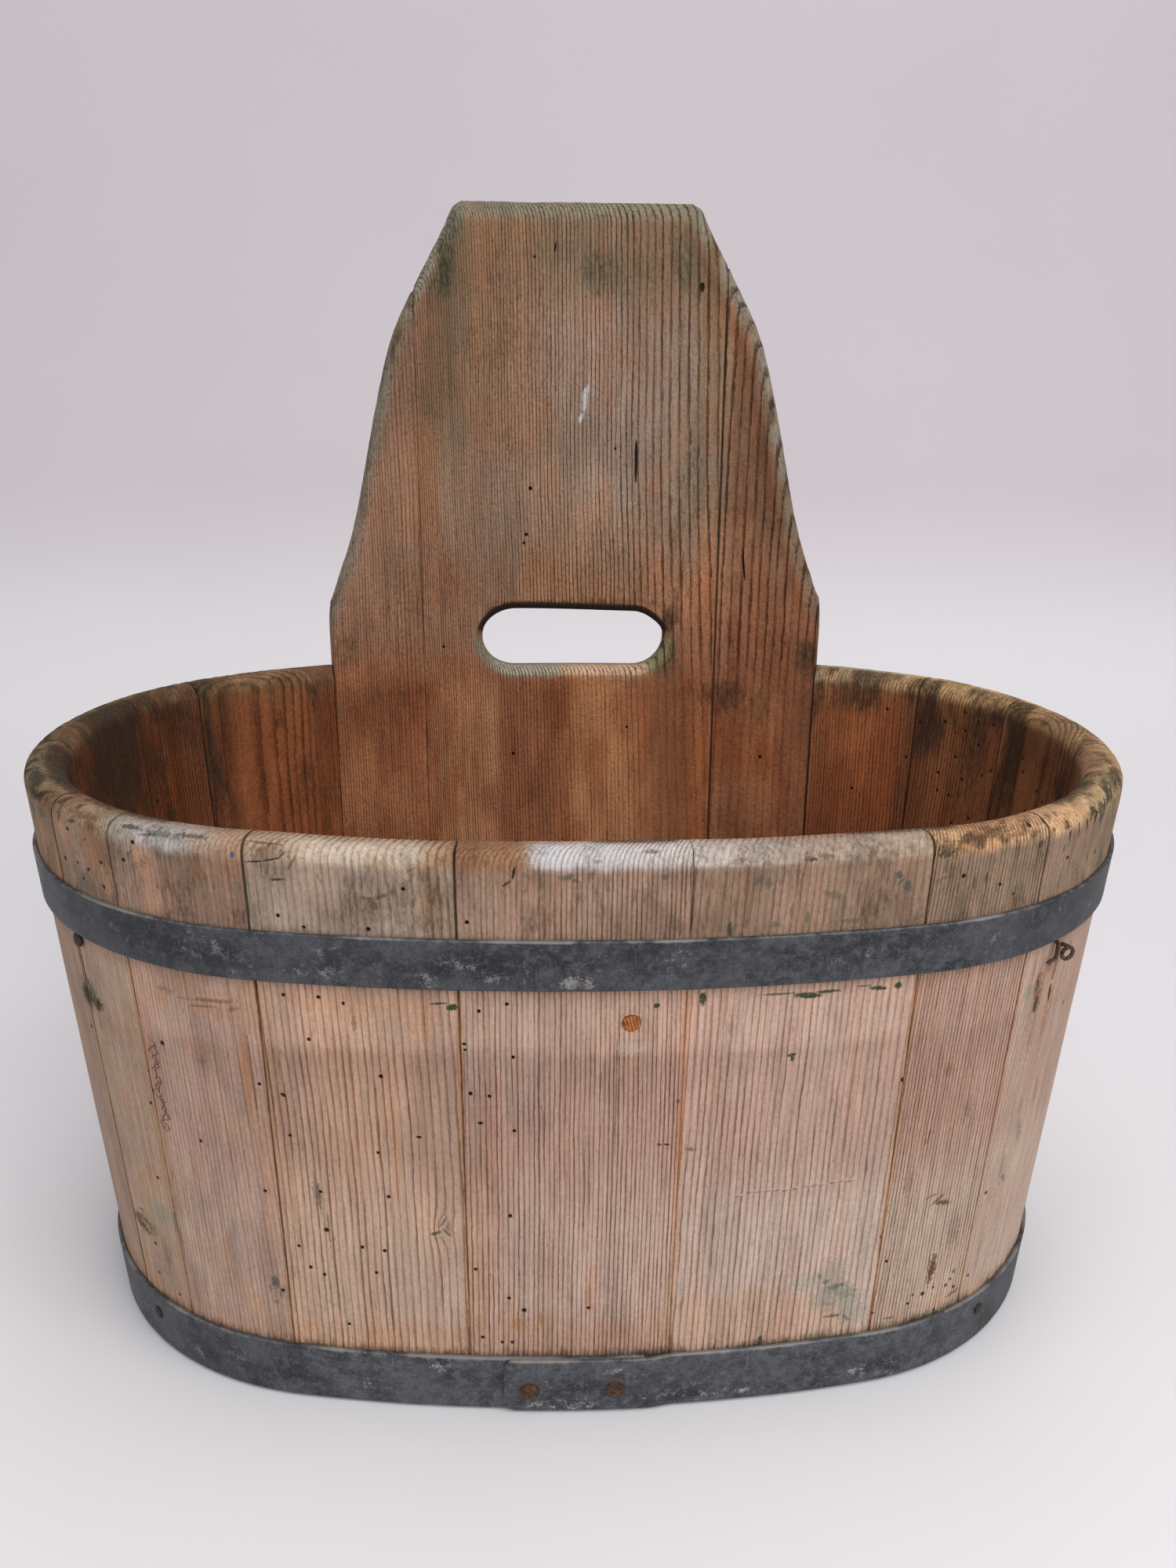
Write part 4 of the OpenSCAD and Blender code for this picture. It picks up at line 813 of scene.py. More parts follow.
    # soft stains named one by one: kind, u, z, half width, half height, strength
    for kind, u0, z0, ru, rz, s in (
        ("warm", -35, 245, 13, 8, 0.34), ("warm", -24, 238, 10, 6, 0.2), ("dirt_and_shade", -54.5, 226, 4.5, 13, 0.50), ("green", -55, 222, 5, 10, 0.45), ("warm", -56, 232, 5, 16, 0.55),
        ("warm", -50, 222, 3.5, 9, 0.4), ("green", 84, 224, 14, 7, 0.30), ("dirt_and_shade", 86, 230, 10, 5, 0.18), ("green", 48, 221, 6, 5, 0.40), ("green", 62, 219, 8, 3, 0.30),
        ("green", 34, 221, 3, 6, 0.30), ("dirt_and_shade", 1, 233, 3.0, 6, 0.16), ("green", -20, 217.0, 60, 2.4, 0.26), ("dirt_and_shade", 133, 228, 8, 8, 0.30), ("green", 128, 232, 6, 9, 0.35),
        ("dirt_and_shade", -160, 241, 5, 1.6, 0.30), ("green", -150, 246, 16, 4, 0.30), ("green", -240, 240, 30, 9, 0.40), ("dirt_and_shade", -236, 222, 12, 8, 0.25),
        ("green", 232, 238, 18, 9, 0.55), ("dirt_and_shade", 236, 243, 12, 5, 0.35), ("dirt_and_shade", 242, 230, 6, 7, 0.35), ("green", 214, 232, 16, 10, 0.30),
        ("green", 150, 218, 20, 3, 0.25), ("green", 100, 217, 22, 2.5, 0.28),
        ("warm", -80, 186, 30, 4, 0.30), ("warm", -60, 182, 4, 8, 0.5), ("dirt_and_shade", -30, 189, 16, 2.6, 0.20), ("dirt_and_shade", -139, 181.5, 12, 3.2, 0.25), ("warm", -138, 182, 14, 6, 0.5),
        ("warm", -150, 188, 10, 5, 0.5), ("green", -214, 166, 10, 10, 0.62), ("dirt_and_shade", -217, 165, 6, 5, 0.75), ("dirt_and_shade", -209, 164, 4, 4, 0.60), ("green", -205, 62, 11, 7, 0.42), ("dirt_and_shade", -208, 63, 7, 3.5, 0.30), ("green", -194, 52, 9, 18, 0.42), ("green", -230, 120, 8, 40, 0.25), ("dirt_and_shade", -186, 120, 3, 50, 0.22),
        ("warm", -176, 140, 5, 40, 0.35), ("green", -164, 60, 10, 16, 0.22), ("green", -188, 76, 9, 10, 0.30), ("warm", -129, 150, 2.4, 22, 0.6), ("warm", -126, 110, 2.0, 50, 0.55),
        ("warm", -117, 150, 3, 20, 0.4), ("warm", -115, 96, 1.8, 25, 0.4), ("warm", -43, 60, 4.5, 70, 0.45), ("warm", -37, 110, 5, 55, 0.28), ("warm", -73, 120, 1.8, 40, 0.35),
        ("warm", -31, 42, 5, 10, 0.5), ("warm", 1.5, 60, 1.8, 14, 0.4), ("green", 104, 48, 11, 13, 0.42), ("green", 113, 36, 6, 9, 0.45), ("green", 114, 90, 5, 40, 0.26),
        ("green", 191, 90, 14, 34, 0.28), ("green", 184, 66, 16, 26, 0.22), ("green", 194, 56, 10, 16, 0.28), ("warm", 141, 130, 14, 30, 0.12),
        ("warm", 190, 176, 9, 9, 0.6), ("warm", 197, 160, 5, 16, 0.4), ("green", 180, 172, 4, 7, 0.35), ("warm", 215, 170, 14, 14, 0.25),
    ):
        m = ell(u, z, u0, z0, ru, rz, 0, 0.45) * s * outer
        if kind == "dirt_and_shade":
            dirt_and_shade = np.maximum(dirt_and_shade, m)
        elif kind == "green":
            green = np.maximum(green, m)
        else:
            warm = np.maximum(warm, m)
    # orange stain above the lower hoop with a ragged edge
    hi = np.interp(u, [-230, -180, -130, -90, -50, -20, 20, 34, 40, 70, 95, 112, 124, 160, 230], [34, 34, 36, 41, 42, 48, 43, 48, 56, 55, 50, 34, 32, 34, 32])
    low = smooth(hi + 3, hi - 3, z + 9 * (n_mid - 0.5)) * outer
    warm = np.maximum(warm, low * (0.30 + 0.25 * n_hi))
    line = smooth(29.4, 27.6, z) * outer
    dirt_and_shade = np.maximum(dirt_and_shade, line * (0.35 + 0.6 * n_hi))
    green = np.maximum(green, smooth(32.0, 28.0, z) * outer * smooth(0.40, 0.62, vnoise(u * 0.11, 0, 3, 91)) * smooth(-20, 10, u) * 0.9)
    dirt_and_shade = np.maximum(dirt_and_shade, smooth(219.0, 215.2, z) * up * outer * (0.30 + 0.5 * n_hi))
    dirt_and_shade = np.maximum(dirt_and_shade, up * outer * (0.10 + 0.34 * smooth(0.42, 0.70, fbm(u * 0.10, 2, z * 0.06, 63, 4))))
    green = np.maximum(green, up * outer * 0.42 * smooth(0.44, 0.68, fbm(u * 0.06, 6, z * 0.05, 65, 4)))
    # the rest of the outside, which the photo doesn't show: the same wood
    back_side = smooth(262, 300, np.abs(u))
    oc = mixc(oc, oc * np.array([0.95, 0.92, 0.90]), back_side * 0.6)
    green = np.maximum(green, back_side * outer * smooth(0.55, 0.75, n_lo) * 0.35)
    dirt_and_shade = np.maximum(dirt_and_shade, back_side * outer * smooth(0.60, 0.80, n_mid) * 0.35)
    # inner face
    ic = np.tile(lin((168, 106, 66)), (len(u), 1))
    ic = mixc(ic, lin((124, 70, 42)), smooth(0.38, 0.66, fbm(u * 0.03, 3, z * 0.012, 83, 4)) * 0.9)
    ic = mixc(ic, lin((176, 116, 72)), smooth(0.55, 0.75, fbm(u * 0.09, 5, z * 0.010, 89, 3)) * 0.35)
    ic = mixc(ic, lin((150, 90, 57)), (smooth(356, 366, u) + smooth(-398, -410, u)) * 0.60)
    ic = mixc(ic, ic * np.array([1.30, 1.30, 1.25]), smooth(0.46, 0.34, fbm(u * 0.15, 6, z * 0.03, 107, 4)) * smooth(-235, -265, u) * 0.8)
    ic = mixc(ic, lin((150, 116, 82)), smooth(226, 246, z) * 0.4)
    ends = smooth(170, 330, np.abs(u)) * (1 - smooth(432, 440, np.abs(u)))
    ic = mixc(ic, lin((96, 64, 42)), ends * 0.55)
    ic = mixc(ic, ic * np.array([0.70, 0.50, 0.31]), smooth(-150, -260, u) * 0.9 * (1 - 0.72 * smooth(-392, -408, u)))
    ic = mixc(ic, ic * np.array([1.32, 1.25, 1.20]), ((u > 418) & (u < 470)) * 0.9)
    ic = mixc(ic, ic * np.array([1.55, 1.55, 1.50]), smooth(362, 368, u) * (u < 418) * 0.95)
    ic = mixc(ic, ic * np.array([1.20, 1.25, 1.15]), smooth(300, 330, u) * smooth(368, 362, u) * 0.95)
    stain = smooth(0.45, 0.62, fbm(u * 0.05, 9, z * 0.018, 97, 4)) * smooth(140, 225, z)
    for u0, z0, ru, rz, s in ((420, 226, 9, 22, 0.85), (388, 220, 11, 26, 0.80), (402, 232, 24, 8, 0.7), (470, 236, 14, 12, 0.75), (452, 214, 6, 20, 0.45), (366, 225, 8, 16, 0.5),
                              (335, 232, 26, 10, 0.55), (300, 236, 30, 8, 0.5), (430, 190, 5, 26, 0.4), (412, 180, 5, 28, 0.35), (376, 184, 4, 34, 0.38), (396, 190, 4, 30, 0.45), (480, 215, 5, 20, 0.4),
                              (-320, 225, 14, 22, 0.8), (-345, 215, 10, 30, 0.7), (-290, 232, 16, 12, 0.7), (-372, 220, 14, 26, 0.7), (-400, 228, 20, 18, 0.7), (-255, 236, 22, 8, 0.6), (-300, 200, 8, 30, 0.5)):
        ku, kz = u + 14 * (fbm(u * 0.05, 2, z * 0.03, 93, 3) - 0.5), z + 30 * (fbm(u * 0.07, 4, z * 0.03, 95, 3) - 0.5)
        stain = np.maximum(stain, ell(ku, kz, u0, z0, ru, rz, 0, 0.8) * s)
    band = smooth(214, 238, z + 22 * (n_mid - 0.5)) * smooth(0.34, 0.56, fbm(u * 0.11, 5, z * 0.05, 99, 4)) * smooth(350, 366, u)
    stain = np.maximum(stain, band * 0.95)
    mott = smooth(0.50, 0.62, fbm(u * 0.13, 2, z * 0.06, 101, 4)) * smooth(-235, -265, u) * smooth(80, 130, z) * (1 - 0.65 * smooth(-392, -408, u))
    stain = np.maximum(stain, mott * 0.80)
    fleck = smooth(0.56, 0.66, fbm(u * 0.16, 8, z * 0.07, 103, 4)) * smooth(350, 366, u) * smooth(110, 170, z)
    stain = np.maximum(stain, fleck * 0.42)
    dirt_and_shade = np.maximum(dirt_and_shade, stain * inner * 0.80)
    green = np.maximum(green, stain * inner * 0.62)
    green = np.maximum(green, inner * smooth(0.5, 0.7, n_mid) * smooth(205, 240, z) * 0.55)
    rim_in = mixc(ic, rim, rim_w * 0.8)
    col = mixc(oc, rim_in, inner)
    # below the floor, and the foot
    foot = smooth(20, 12, z) * inner + smooth(2.0, 0.2, z)
    col = mixc(col, lin((96, 78, 62)), np.clip(foot, 0, 1) * 0.8)
    dirt_and_shade = np.maximum(dirt_and_shade, np.clip(foot, 0, 1) * 0.35)
    dirt_and_shade = np.maximum(dirt_and_shade, inner * smooth(50, 38, z) * 0.5)
    # joints
    vary = 0.55 + 0.6 * fbm(u * 0.3, 0, z * 0.03, 37, 3)
    below = smooth(196, 190, z) * outer
    dirt_and_shade = np.maximum(dirt_and_shade, smooth(0.62, 0.22, seam) * 1.35 * vary * faint * (1 - 0.38 * below))
    dirt_and_shade = np.maximum(dirt_and_shade, smooth(1.5, 0.3, seam) * (0.05 + 0.40 * n_hi) * faint)
    warm = np.maximum(warm, smooth(1.6, 0.4, seam) * below * 0.9)
    strength = strength * (0.75 + 0.5 * n_mid)
    for u0, u1, f in ((-121, -47, 1.12), (-178, -121, 0.62), (-310, -178, 0.60), (-47, 35, 1.25), (35, 96, 1.12), (96, 121, 0.85), (121, 173, 1.30), (173, 262, 0.60)):
        strength = np.where((u >= u0) & (u < u1), strength * f, strength)
    for u0, u1, f in ((-121, -60, 0.50), (-60, -47, 0.95), (-178, -121, 0.75), (-47, -14, 0.55), (-14, 35, 0.90), (35, 121, 0.62), (121, 173, 0.85), (173, 262, 0.8)):
        strength = np.where((u >= u0) & (u < u1), strength * (1 - (1 - f) * up * outer), strength)
    strength = strength * (1 + 0.25 * inner) * (1 - 0.20 * clean) * (1 - inner * 0.10) * (1 - 0.35 * rim_w * smooth(-16, 0, u) * smooth(122, 118, u))
    fuzz = np.clip(rim_w * (0.40 - 0.22 * crisp) + up * outer * 0.28 + inner * 0.85 + outer * 0.14, 0, 1)
    return col, np.c_[dirt_and_shade, green, bleach], np.c_[strength, fuzz, warm]


def paint_board(name, x, z, d, b, out_dist, seam, slot_dist, left_seam):
    """Colour and masks of the tall board: x from its middle, out_dist from its
    outline, slot_dist from the edge of the hand slot."""
    n_mid = fbm(x * 0.05, d * 0.05, z * 0.02, 123, 4)
    n_hi = fbm(x * 0.22, d * 0.2, z * 0.08, 131, 3)
    n_lo = fbm(x * 0.018, 0, z * 0.010, 137, 3)
    n_bl = fbm(x * 0.07, 0, z * 0.05, 141, 4)
    col = np.tile(lin((152, 124, 104)), (len(x), 1))
    col = mixc(col, lin((162, 122, 98)), smooth(0.4, 0.7, n_mid) * 0.6)
    # greyer towards the right, brown green at the upper left, redder below
    col = mixc(col, lin((146, 130, 114)), smooth(10, 60, x) * smooth(280, 340, z) * 0.55)
    col = mixc(col, lin((156, 132, 120)), ell(x, z, 10, 345, 34, 60, 0, 0.7) * 0.6)
    col = mixc(col, lin((128, 106, 80)), smooth(-5, -45, x) * smooth(320, 400, z) * 0.55 * (0.5 + n_lo))
    col = mixc(col, lin((134, 112, 88)), smooth(405, 440, z) * 0.55)
    col = mixc(col, lin((156, 114, 90)), smooth(-66, -78, x) * smooth(280, 320, z) * 0.6)
    col = mixc(col, lin((160, 138, 130)), ell(x, z, 22, 400, 40, 60, 0, 0.7) * 0.45)
    col = mixc(col, lin((150, 134, 128)), ell(x, z, 44, 340, 26, 60, 0, 0.7) * 0.45)
    col = mixc(col, lin((146, 108, 84)), smooth(330, 268, z) * 0.6)
    col = mixc(col, lin((136, 90, 64)), smooth(290, 235, z) * smooth(-20, -70, x) * 0.6)
    col = mixc(col, lin((152, 100, 68)), smooth(262, 235, z) * 0.85)
    col = mixc(col, lin((168, 112, 70)), ell(x, z, 14, 205, 30, 60, 0, 0.8) * 0.65)
    col = mixc(col, lin((188, 128, 76)), ell(x, z, 65.0, 172, 2.4, 56, 0, 0.4) * 0.62)
    col = mixc(col, lin((124, 76, 50)), ell(x, z, 62, 205, 18, 60, 0, 0.8) * 0.7)
    col = mixc(col, lin((122, 86, 66)), smooth(74, 82, x) * 0.75)
    col = mixc(col, lin((124, 76, 50)), smooth(74, 82, x) * smooth(290, 240, z) * 0.7)
    # blotches of grey and of rusty orange
    col = mixc(col, lin((134, 114, 98)), smooth(0.50, 0.70, n_bl) * smooth(262, 300, z) * 0.34)
    col = mixc(col, lin((162, 118, 90)), smooth(0.46, 0.30, n_bl) * smooth(262, 300, z) * 0.34)
    col = col * (np.array([1.22, 1.22, 1.20]) + np.array([0.12, 0.10, 0.08]) * smooth(300, 262, z)[:, None] + np.array([0.20, 0.16, 0.12]) * (smooth(50, 62, x) * smooth(330, 300, z))[:, None])
    col = mixc(col, col * np.array([0.85, 0.82, 0.77]), smooth(415, 445, z))
    col = mixc(col, col * np.array([1.10, 1.11, 1.09]), smooth(352, 340, z) * smooth(262, 280, z) * smooth(-34, -24, x) * smooth(72, 64, x))
    col = mixc(col, col * np.array([1.07, 1.00, 0.96]), smooth(352, 340, z) * smooth(262, 280, z) * smooth(26, 34, x) * smooth(72, 64, x))
    col = mixc(col, col * np.array([1.19, 1.06, 1.03]), smooth(-16, -28, x) * smooth(340, 360, z) * smooth(-58, -50, x))
    col = mixc(col, col * np.array([0.78, 0.79, 0.81]), smooth(-54, -60, x) * smooth(345, 385, z))
    xw = x + 3.0 * (fbm(x * 0.05, 2, z * 0.02, 109, 3) - 0.5)
    below_slot = smooth(246, 232, z)
    col = mixc(col, col * np.array([0.72, 0.66, 0.62]), below_slot * smooth(-73, -78, xw) * smooth(195, 225, z))
    col = mixc(col, col * np.array([1.16, 1.28, 1.32]), below_slot * smooth(-74, -68, xw) * smooth(-38, -44, xw))
    col = mixc(col, col * np.array([0.78, 0.72, 0.72]), below_slot * smooth(-43, -35, xw) * smooth(-1, -6, xw))
    col = mixc(col, col * np.array([1.12, 1.22, 1.36]), below_slot * smooth(-5, 1, xw) * smooth(37, 30, xw))
    col = mixc(col, col * np.array([0.82, 0.82, 0.82]), below_slot * smooth(36, 42, xw) * smooth(62, 56, xw))
    col = mixc(col, col * np.array([0.86, 0.88, 0.88]), below_slot * smooth(70, 74, xw) * smooth(92, 84, xw))
    col = mixc(col, col * np.array([1.17, 1.25, 1.22]), below_slot * smooth(86, 92, xw) * smooth(108, 102, xw))
    col = mixc(col, col * np.array([0.76, 0.78, 0.80]), below_slot * smooth(112, 118, xw) * smooth(190, 215, z))
    blot = fbm(x * 0.09, 4, z * 0.045, 113, 4)
    col = mixc(col, col * np.array([0.80, 0.68, 0.64]), below_slot * smooth(0.52, 0.66, blot) * 0.75)
    col = mixc(col, col * np.array([1.15, 1.20, 1.24]), below_slot * smooth(0.45, 0.32, blot) * 0.6)
    col = mixc(col, col * np.array([0.90, 0.88, 0.84]), smooth(22, 40, x) * smooth(300, 330, z))
    col = mixc(col, col * np.array([1.00, 0.88, 0.82]), smooth(68, 76, x) * smooth(300, 330, z))
    col = mixc(col, col * np.array([1.10, 0.99, 0.92]), smooth(30, 60, x) * smooth(330, 290, z) * smooth(250, 270, z))
    dirt_and_shade = np.zeros(len(x))
    green = np.zeros(len(x))
    bleach = np.zeros(len(x))
    warm = np.zeros(len(x))
    for kind, x0, z0, rx, rz, s in (
        ("green", 12, 440, 14, 14, 0.72), ("green", 34, 436, 16, 18, 0.55), ("green", 52, 446, 7, 16, 0.72), ("green", -8, 450, 26, 8, 0.50), ("dirt_and_shade", 8, 442, 10, 8, 0.34),
        ("green", 60, 352, 5, 40, 0.60), ("green", 52, 330, 6, 26, 0.50), ("green", 24, 318, 10, 22, 0.34), ("dirt_and_shade", 62, 352, 3, 9, 0.40), ("green", 64, 336, 3, 14, 0.6),
        ("green", -46, 418, 26, 30, 0.50), ("dirt_and_shade", -44, 400, 18, 26, 0.36), ("green", -34, 350, 16, 24, 0.46), ("dirt_and_shade", -36, 358, 10, 10, 0.36), ("dirt_and_shade", -30, 395, 10, 20, 0.30),
        ("green", -64, 446, 5, 20, 0.95), ("green", -60, 462, 5, 8, 0.8), ("dirt_and_shade", -66, 440, 3, 12, 0.50), ("green", -70, 430, 4, 14, 0.75),
        ("warm", -70, 395, 8, 40, 0.35), ("warm", -76, 340, 8, 40, 0.50), ("warm", -40, 370, 14, 12, 0.40), ("warm", -20, 366, 10, 16, 0.40), ("warm", 10, 290, 40, 10, 0.25), ("warm", 66, 410, 5, 40, 0.55),
        ("warm", 30, 420, 6, 36, 0.30), ("warm", -74, 290, 20, 14, 0.45), ("green", 20, 300, 26, 14, 0.30), ("warm", -20, 296, 8, 12, 0.45), ("warm", 68, 300, 5, 50, 0.45), ("dirt_and_shade", 92, 352, 6, 30, 0.30),
        ("green", 88, 400, 6, 14, 0.45), ("green", -26, 245.2, 18, 2.0, 0.55), ("green", 42, 247, 14, 4.5, 0.95), ("green", 50, 255, 4, 10, 0.8), ("dirt_and_shade", 46, 250, 6, 4, 0.40),
        # the first entry here, a thin dark band just over the hand slot, is painted shade
        ("dirt_and_shade", 2, 279.4, 47, 1.6, 0.6), ("dirt_and_shade", -43, 272, 4, 6, 0.8), ("dirt_and_shade", 48, 272, 4, 8, 0.8), ("green", 49, 268, 3, 9, 0.65),
        ("warm", 10, 244, 22, 2.5, 0.55), ("dirt_and_shade", 64, 235, 10, 4, 0.40), ("dirt_and_shade", 78, 232, 16, 10, 0.60), ("green", 118, 256, 9, 12, 0.60), ("dirt_and_shade", 120, 252, 8, 12, 0.60),
        ("dirt_and_shade", -118, 256, 9, 12, 0.45), ("warm", 84, 205, 20, 18, 0.5), ("dirt_and_shade", 95, 225, 8, 12, 0.50), ("dirt_and_shade", 104, 262, 12, 10, 0.40),
    ):
        m = ell(x, z, x0, z0, rx, rz, 0, 0.55) * s * (0.35 + 0.65 * b)
        if kind == "dirt_and_shade":
            dirt_and_shade = np.maximum(dirt_and_shade, m)
        elif kind == "green":
            green = np.maximum(green, m)
        else:
            warm = np.maximum(warm, m)
    dirt_and_shade = np.maximum(dirt_and_shade, b * (0.08 + 0.24 * smooth(0.45, 0.70, n_mid)))
    green = np.maximum(green, b * 0.30 * smooth(0.45, 0.65, n_lo) * smooth(270, 320, z))
    col = col * (1 - np.outer(b * smooth(-45, -15, x) * smooth(268, 285, z), [0, 0, 0.05]))
    # small white scar
    bleach = np.maximum(bleach, ell(x, z, 3.9, 381, 1.1, 6.0, -0.2, 0.3) * 2.2 * b)
    bleach = np.maximum(bleach, ell(x, z, 2.4, 372, 0.6, 3.4, -0.35, 0.3) * 1.8 * b)
    # worn bevel round the outline: grey, a little green
    ev = smooth(9.0, 3.0, out_dist + 2.0 * (n_hi - 0.5)) * smooth(255, 268, z)
    bev = mixc(np.tile(lin((154, 148, 132)), (len(x), 1)), lin((136, 118, 94)), smooth(0.4, 0.7, n_hi))
    bev = mixc(bev, lin((136, 104, 80)), smooth(60, 100, x) * smooth(380, 300, z) * 0.6)
    bev = mixc(bev, lin((150, 134, 116)), smooth(-60, -100, x) * smooth(420, 300, z) * 0.6)
    col = mixc(col, col * np.array([0.78, 0.68, 0.64]), smooth(8, 10, out_dist) * smooth(15, 12, out_dist) * smooth(50, 60, x) * smooth(262, 290, z) * 0.7)
    col = mixc(col, bev, ev * 0.85)
    top = smooth(13, 4, out_dist) * smooth(455, 468, z)
    col = mixc(col, lin((150, 139, 117)), top * 0.8)
    green = np.maximum(green, ev * smooth(0.45, 0.7, n_mid) * 0.65)
    dirt_and_shade = np.maximum(dirt_and_shade, ev * smooth(0.45, 0.70, n_hi) * 0.55 * (1 - 0.6 * smooth(455, 468, z)))
    # hand slot: dark above, painted shade along its rounded top edge; rubbed below
    sl = smooth(6.0, 0.0, slot_dist)
    lip = smooth(5.9, 3.9, slot_dist + 1.6 * (n_hi - 0.5)) * smooth(257, 248, z + 0.10 * np.abs(x) - 0.90 * np.maximum(np.abs(x) - 34, 0))
    lipc = np.tile(lin((232, 198, 164)), (len(x), 1))
    lipc = mixc(lipc, lin((192, 188, 166)), smooth(-2, -14, x))
    lipc = mixc(lipc, lin((110, 132, 84)), smooth(34, 42, x) * 0.8)
    lipc = mixc(lipc, lin((150, 140, 112)), smooth(-38, -46, x) * 0.8)
    col = mixc(col, lipc, lip * 0.95)
    dirt_and_shade = dirt_and_shade * (1 - 0.8 * lip)
    green = green * (1 - 0.55 * lip)
    warm = warm * (1 - 0.7 * lip)
    # painted shade: a crisp dark band along the slot's upper rounded edge, in the colour and the darkening mask
    slot_top_shade = smooth(3.9, 2.7, slot_dist) * smooth(262, 268, z)
    dirt_and_shade = np.maximum(dirt_and_shade, slot_top_shade * 1.5)
    col = mixc(col, lin((58, 40, 28)), slot_top_shade * 0.8)
    # the back of the board
    bk = smooth(0.55, 0.2, b)
    colb = mixc(np.tile(lin((170, 142, 118)), (len(x), 1)), lin((140, 122, 100)), smooth(0.4, 0.7, n_mid))
    colb = mixc(colb, lin((190, 160, 136)), smooth(215, 190, z) * 0.8)
    colb = mixc(colb, lin((142, 132, 108)), smooth(240, 330, z) * smooth(0.4, 0.7, n_lo) * 0.7)
    col = mixc(col, mixc(colb, bev, ev * 0.8), bk)
    green = np.maximum(green, bk * smooth(0.55, 0.8, n_mid) * 0.45)
    dirt_and_shade = np.maximum(dirt_and_shade, bk * smooth(29.8, 27.6, z) * (0.35 + 0.5 * n_hi))
    low_in = smooth(50, 38, z) * b
    dirt_and_shade = np.maximum(dirt_and_shade, low_in * 0.5)
    foot = np.clip(smooth(20, 12, z) * b + smooth(2.0, 0.2, z), 0, 1)
    col = mixc(col, lin((96, 78, 62)), foot * 0.8)
    show = np.where(left_seam, 0.22 * smooth(0.35, 0.6, n_hi) + 0.06, 0.80 + 0.20 * n_hi)
    dirt_and_shade = np.maximum(dirt_and_shade, smooth(0.75, 0.35, seam) * 1.4 * show)
    dirt_and_shade = np.maximum(dirt_and_shade, smooth(1.8, 0.4, seam) * (0.10 + 0.35 * n_hi) * show)
    strength = np.full(len(x), 1.05) * (0.8 + 0.4 * n_mid) * (0.70 + 0.45 * smooth(-50, 20, x))
    strength = np.where(x > 74, strength * 1.10, strength)
    strength = strength * (1 - 0.50 * smooth(262, 244, z) * smooth(-60, 10, x)) * (1 - 0.35 * smooth(250, 225, z) * smooth(34, 44, x)) * (1 + 0.9 * lip)
    fuzz = np.clip(0.85 + ev * 0.4 + sl * 0.3 - 0.25 * bk, 0, 1.2)
    return col, np.c_[dirt_and_shade, green, bleach], np.c_[strength, fuzz, warm]


# ---------------------------------------------------------------- wall staves
# name, arc, angle range, pith x, pith y, ring spacing left and right, tilt, wave
def on_front(f):
    return 1.5 * math.pi + f * SA


def on_right(f):
    return 1.5 * math.pi + SA + f * EA


def on_left(f):
    return 1.5 * math.pi - SA - f * EA


def on_back(f):
    return 0.5 * math.pi - f * SA


STAVES = [
    # name, arc, phi0, phi1, grain
    ("front_stave_left", FRONT, on_front(-1), on_front(-0.39), dict(px=-170, py=-60, steps=((-36, 2.5), (-8, 2.7), (36, 3.1)), tilt=0.030, wave=0.7, seed=2, knots=((26.8, 89, 2.6, 3.6),))),
    ("front_stave_middle", FRONT, on_front(-0.39), on_front(0.285), dict(px=-140, py=-90, steps=((-40, 2.1), (-18, 1.95), (10, 1.75), (40, 1.6)), tilt=0.006, wave=0.5, seed=3)),
    ("front_stave_right", FRONT, on_front(0.285), on_front(1), dict(px=-160, py=-70, steps=((-42, 2.6), (-10, 2.4), (20, 2.4), (42, 2.9)), tilt=-0.012, wave=0.6, seed=4)),
    ("front_right_corner_stave", RIGHT, on_right(0), on_right(0.137), dict(px=-150, py=-60, steps=((-26, 1.4), (26, 1.8)), tilt=-0.02, wave=0.5, seed=5)),
    ("right_end_stave_front", RIGHT, on_right(0.137), on_right(0.331), dict(px=160, py=-90, steps=((-36, 1.9), (36, 2.3)), tilt=-0.01, wave=0.7, seed=6)),
    ("right_end_stave_middle", RIGHT, on_right(0.331), on_right(0.444), dict(px=-120, py=-60, steps=((-20, 2.2), (20, 1.9)), tilt=0.01, wave=1.0, seed=7)),
    ("right_end_stave_back", RIGHT, on_right(0.444), on_right(0.651), dict(px=10, py=-70, steps=((-40, 2.6), (40, 2.4)), tilt=0.01, wave=1.6, seed=8)),
    ("back_right_corner_stave", RIGHT, on_right(0.651), on_right(0.806), dict(px=150, py=60, steps=((-30, 1.8), (30, 2.2)), tilt=0.0, wave=1.0, seed=9)),
    ("back_stave_right", RIGHT, on_right(0.806), on_right(0.972), dict(px=-150, py=-60, steps=((-32, 2.4), (32, 1.7)), tilt=-0.01, wave=1.0, seed=10)),
    ("front_left_corner_stave", LEFT, on_left(0.150), on_left(0), dict(px=-160, py=-50, steps=((-28, 1.8), (28, 2.1)), tilt=0.01, wave=0.6, seed=12)),
    ("left_end_stave_front", LEFT, on_left(0.250), on_left(0.150), dict(px=140, py=-60, steps=((-19, 2.0), (19, 1.7)), tilt=0.02, wave=0.7, seed=13)),
    ("left_end_stave_middle", LEFT, on_left(0.468), on_left(0.250), dict(px=-20, py=-80, steps=((-40, 2.6), (40, 2.4)), tilt=0.01, wave=1.6, seed=14)),
    ("left_end_stave_back", LEFT, on_left(0.659), on_left(0.468), dict(px=150, py=-60, steps=((-36, 2.2), (36, 2.6)), tilt=0.0, wave=1.2, seed=15)),
    ("back_left_corner_stave", LEFT, on_left(0.772), on_left(0.659), dict(px=-130, py=60, steps=((-22, 1.7), (22, 2.0)), tilt=0.0, wave=1.0, seed=16)),
    ("back_stave_left", LEFT, on_left(0.988), on_left(0.772), dict(px=20, py=-70, steps=((-42, 2.4), (42, 2.6)), tilt=0.01, wave=1.5, seed=17)),
]

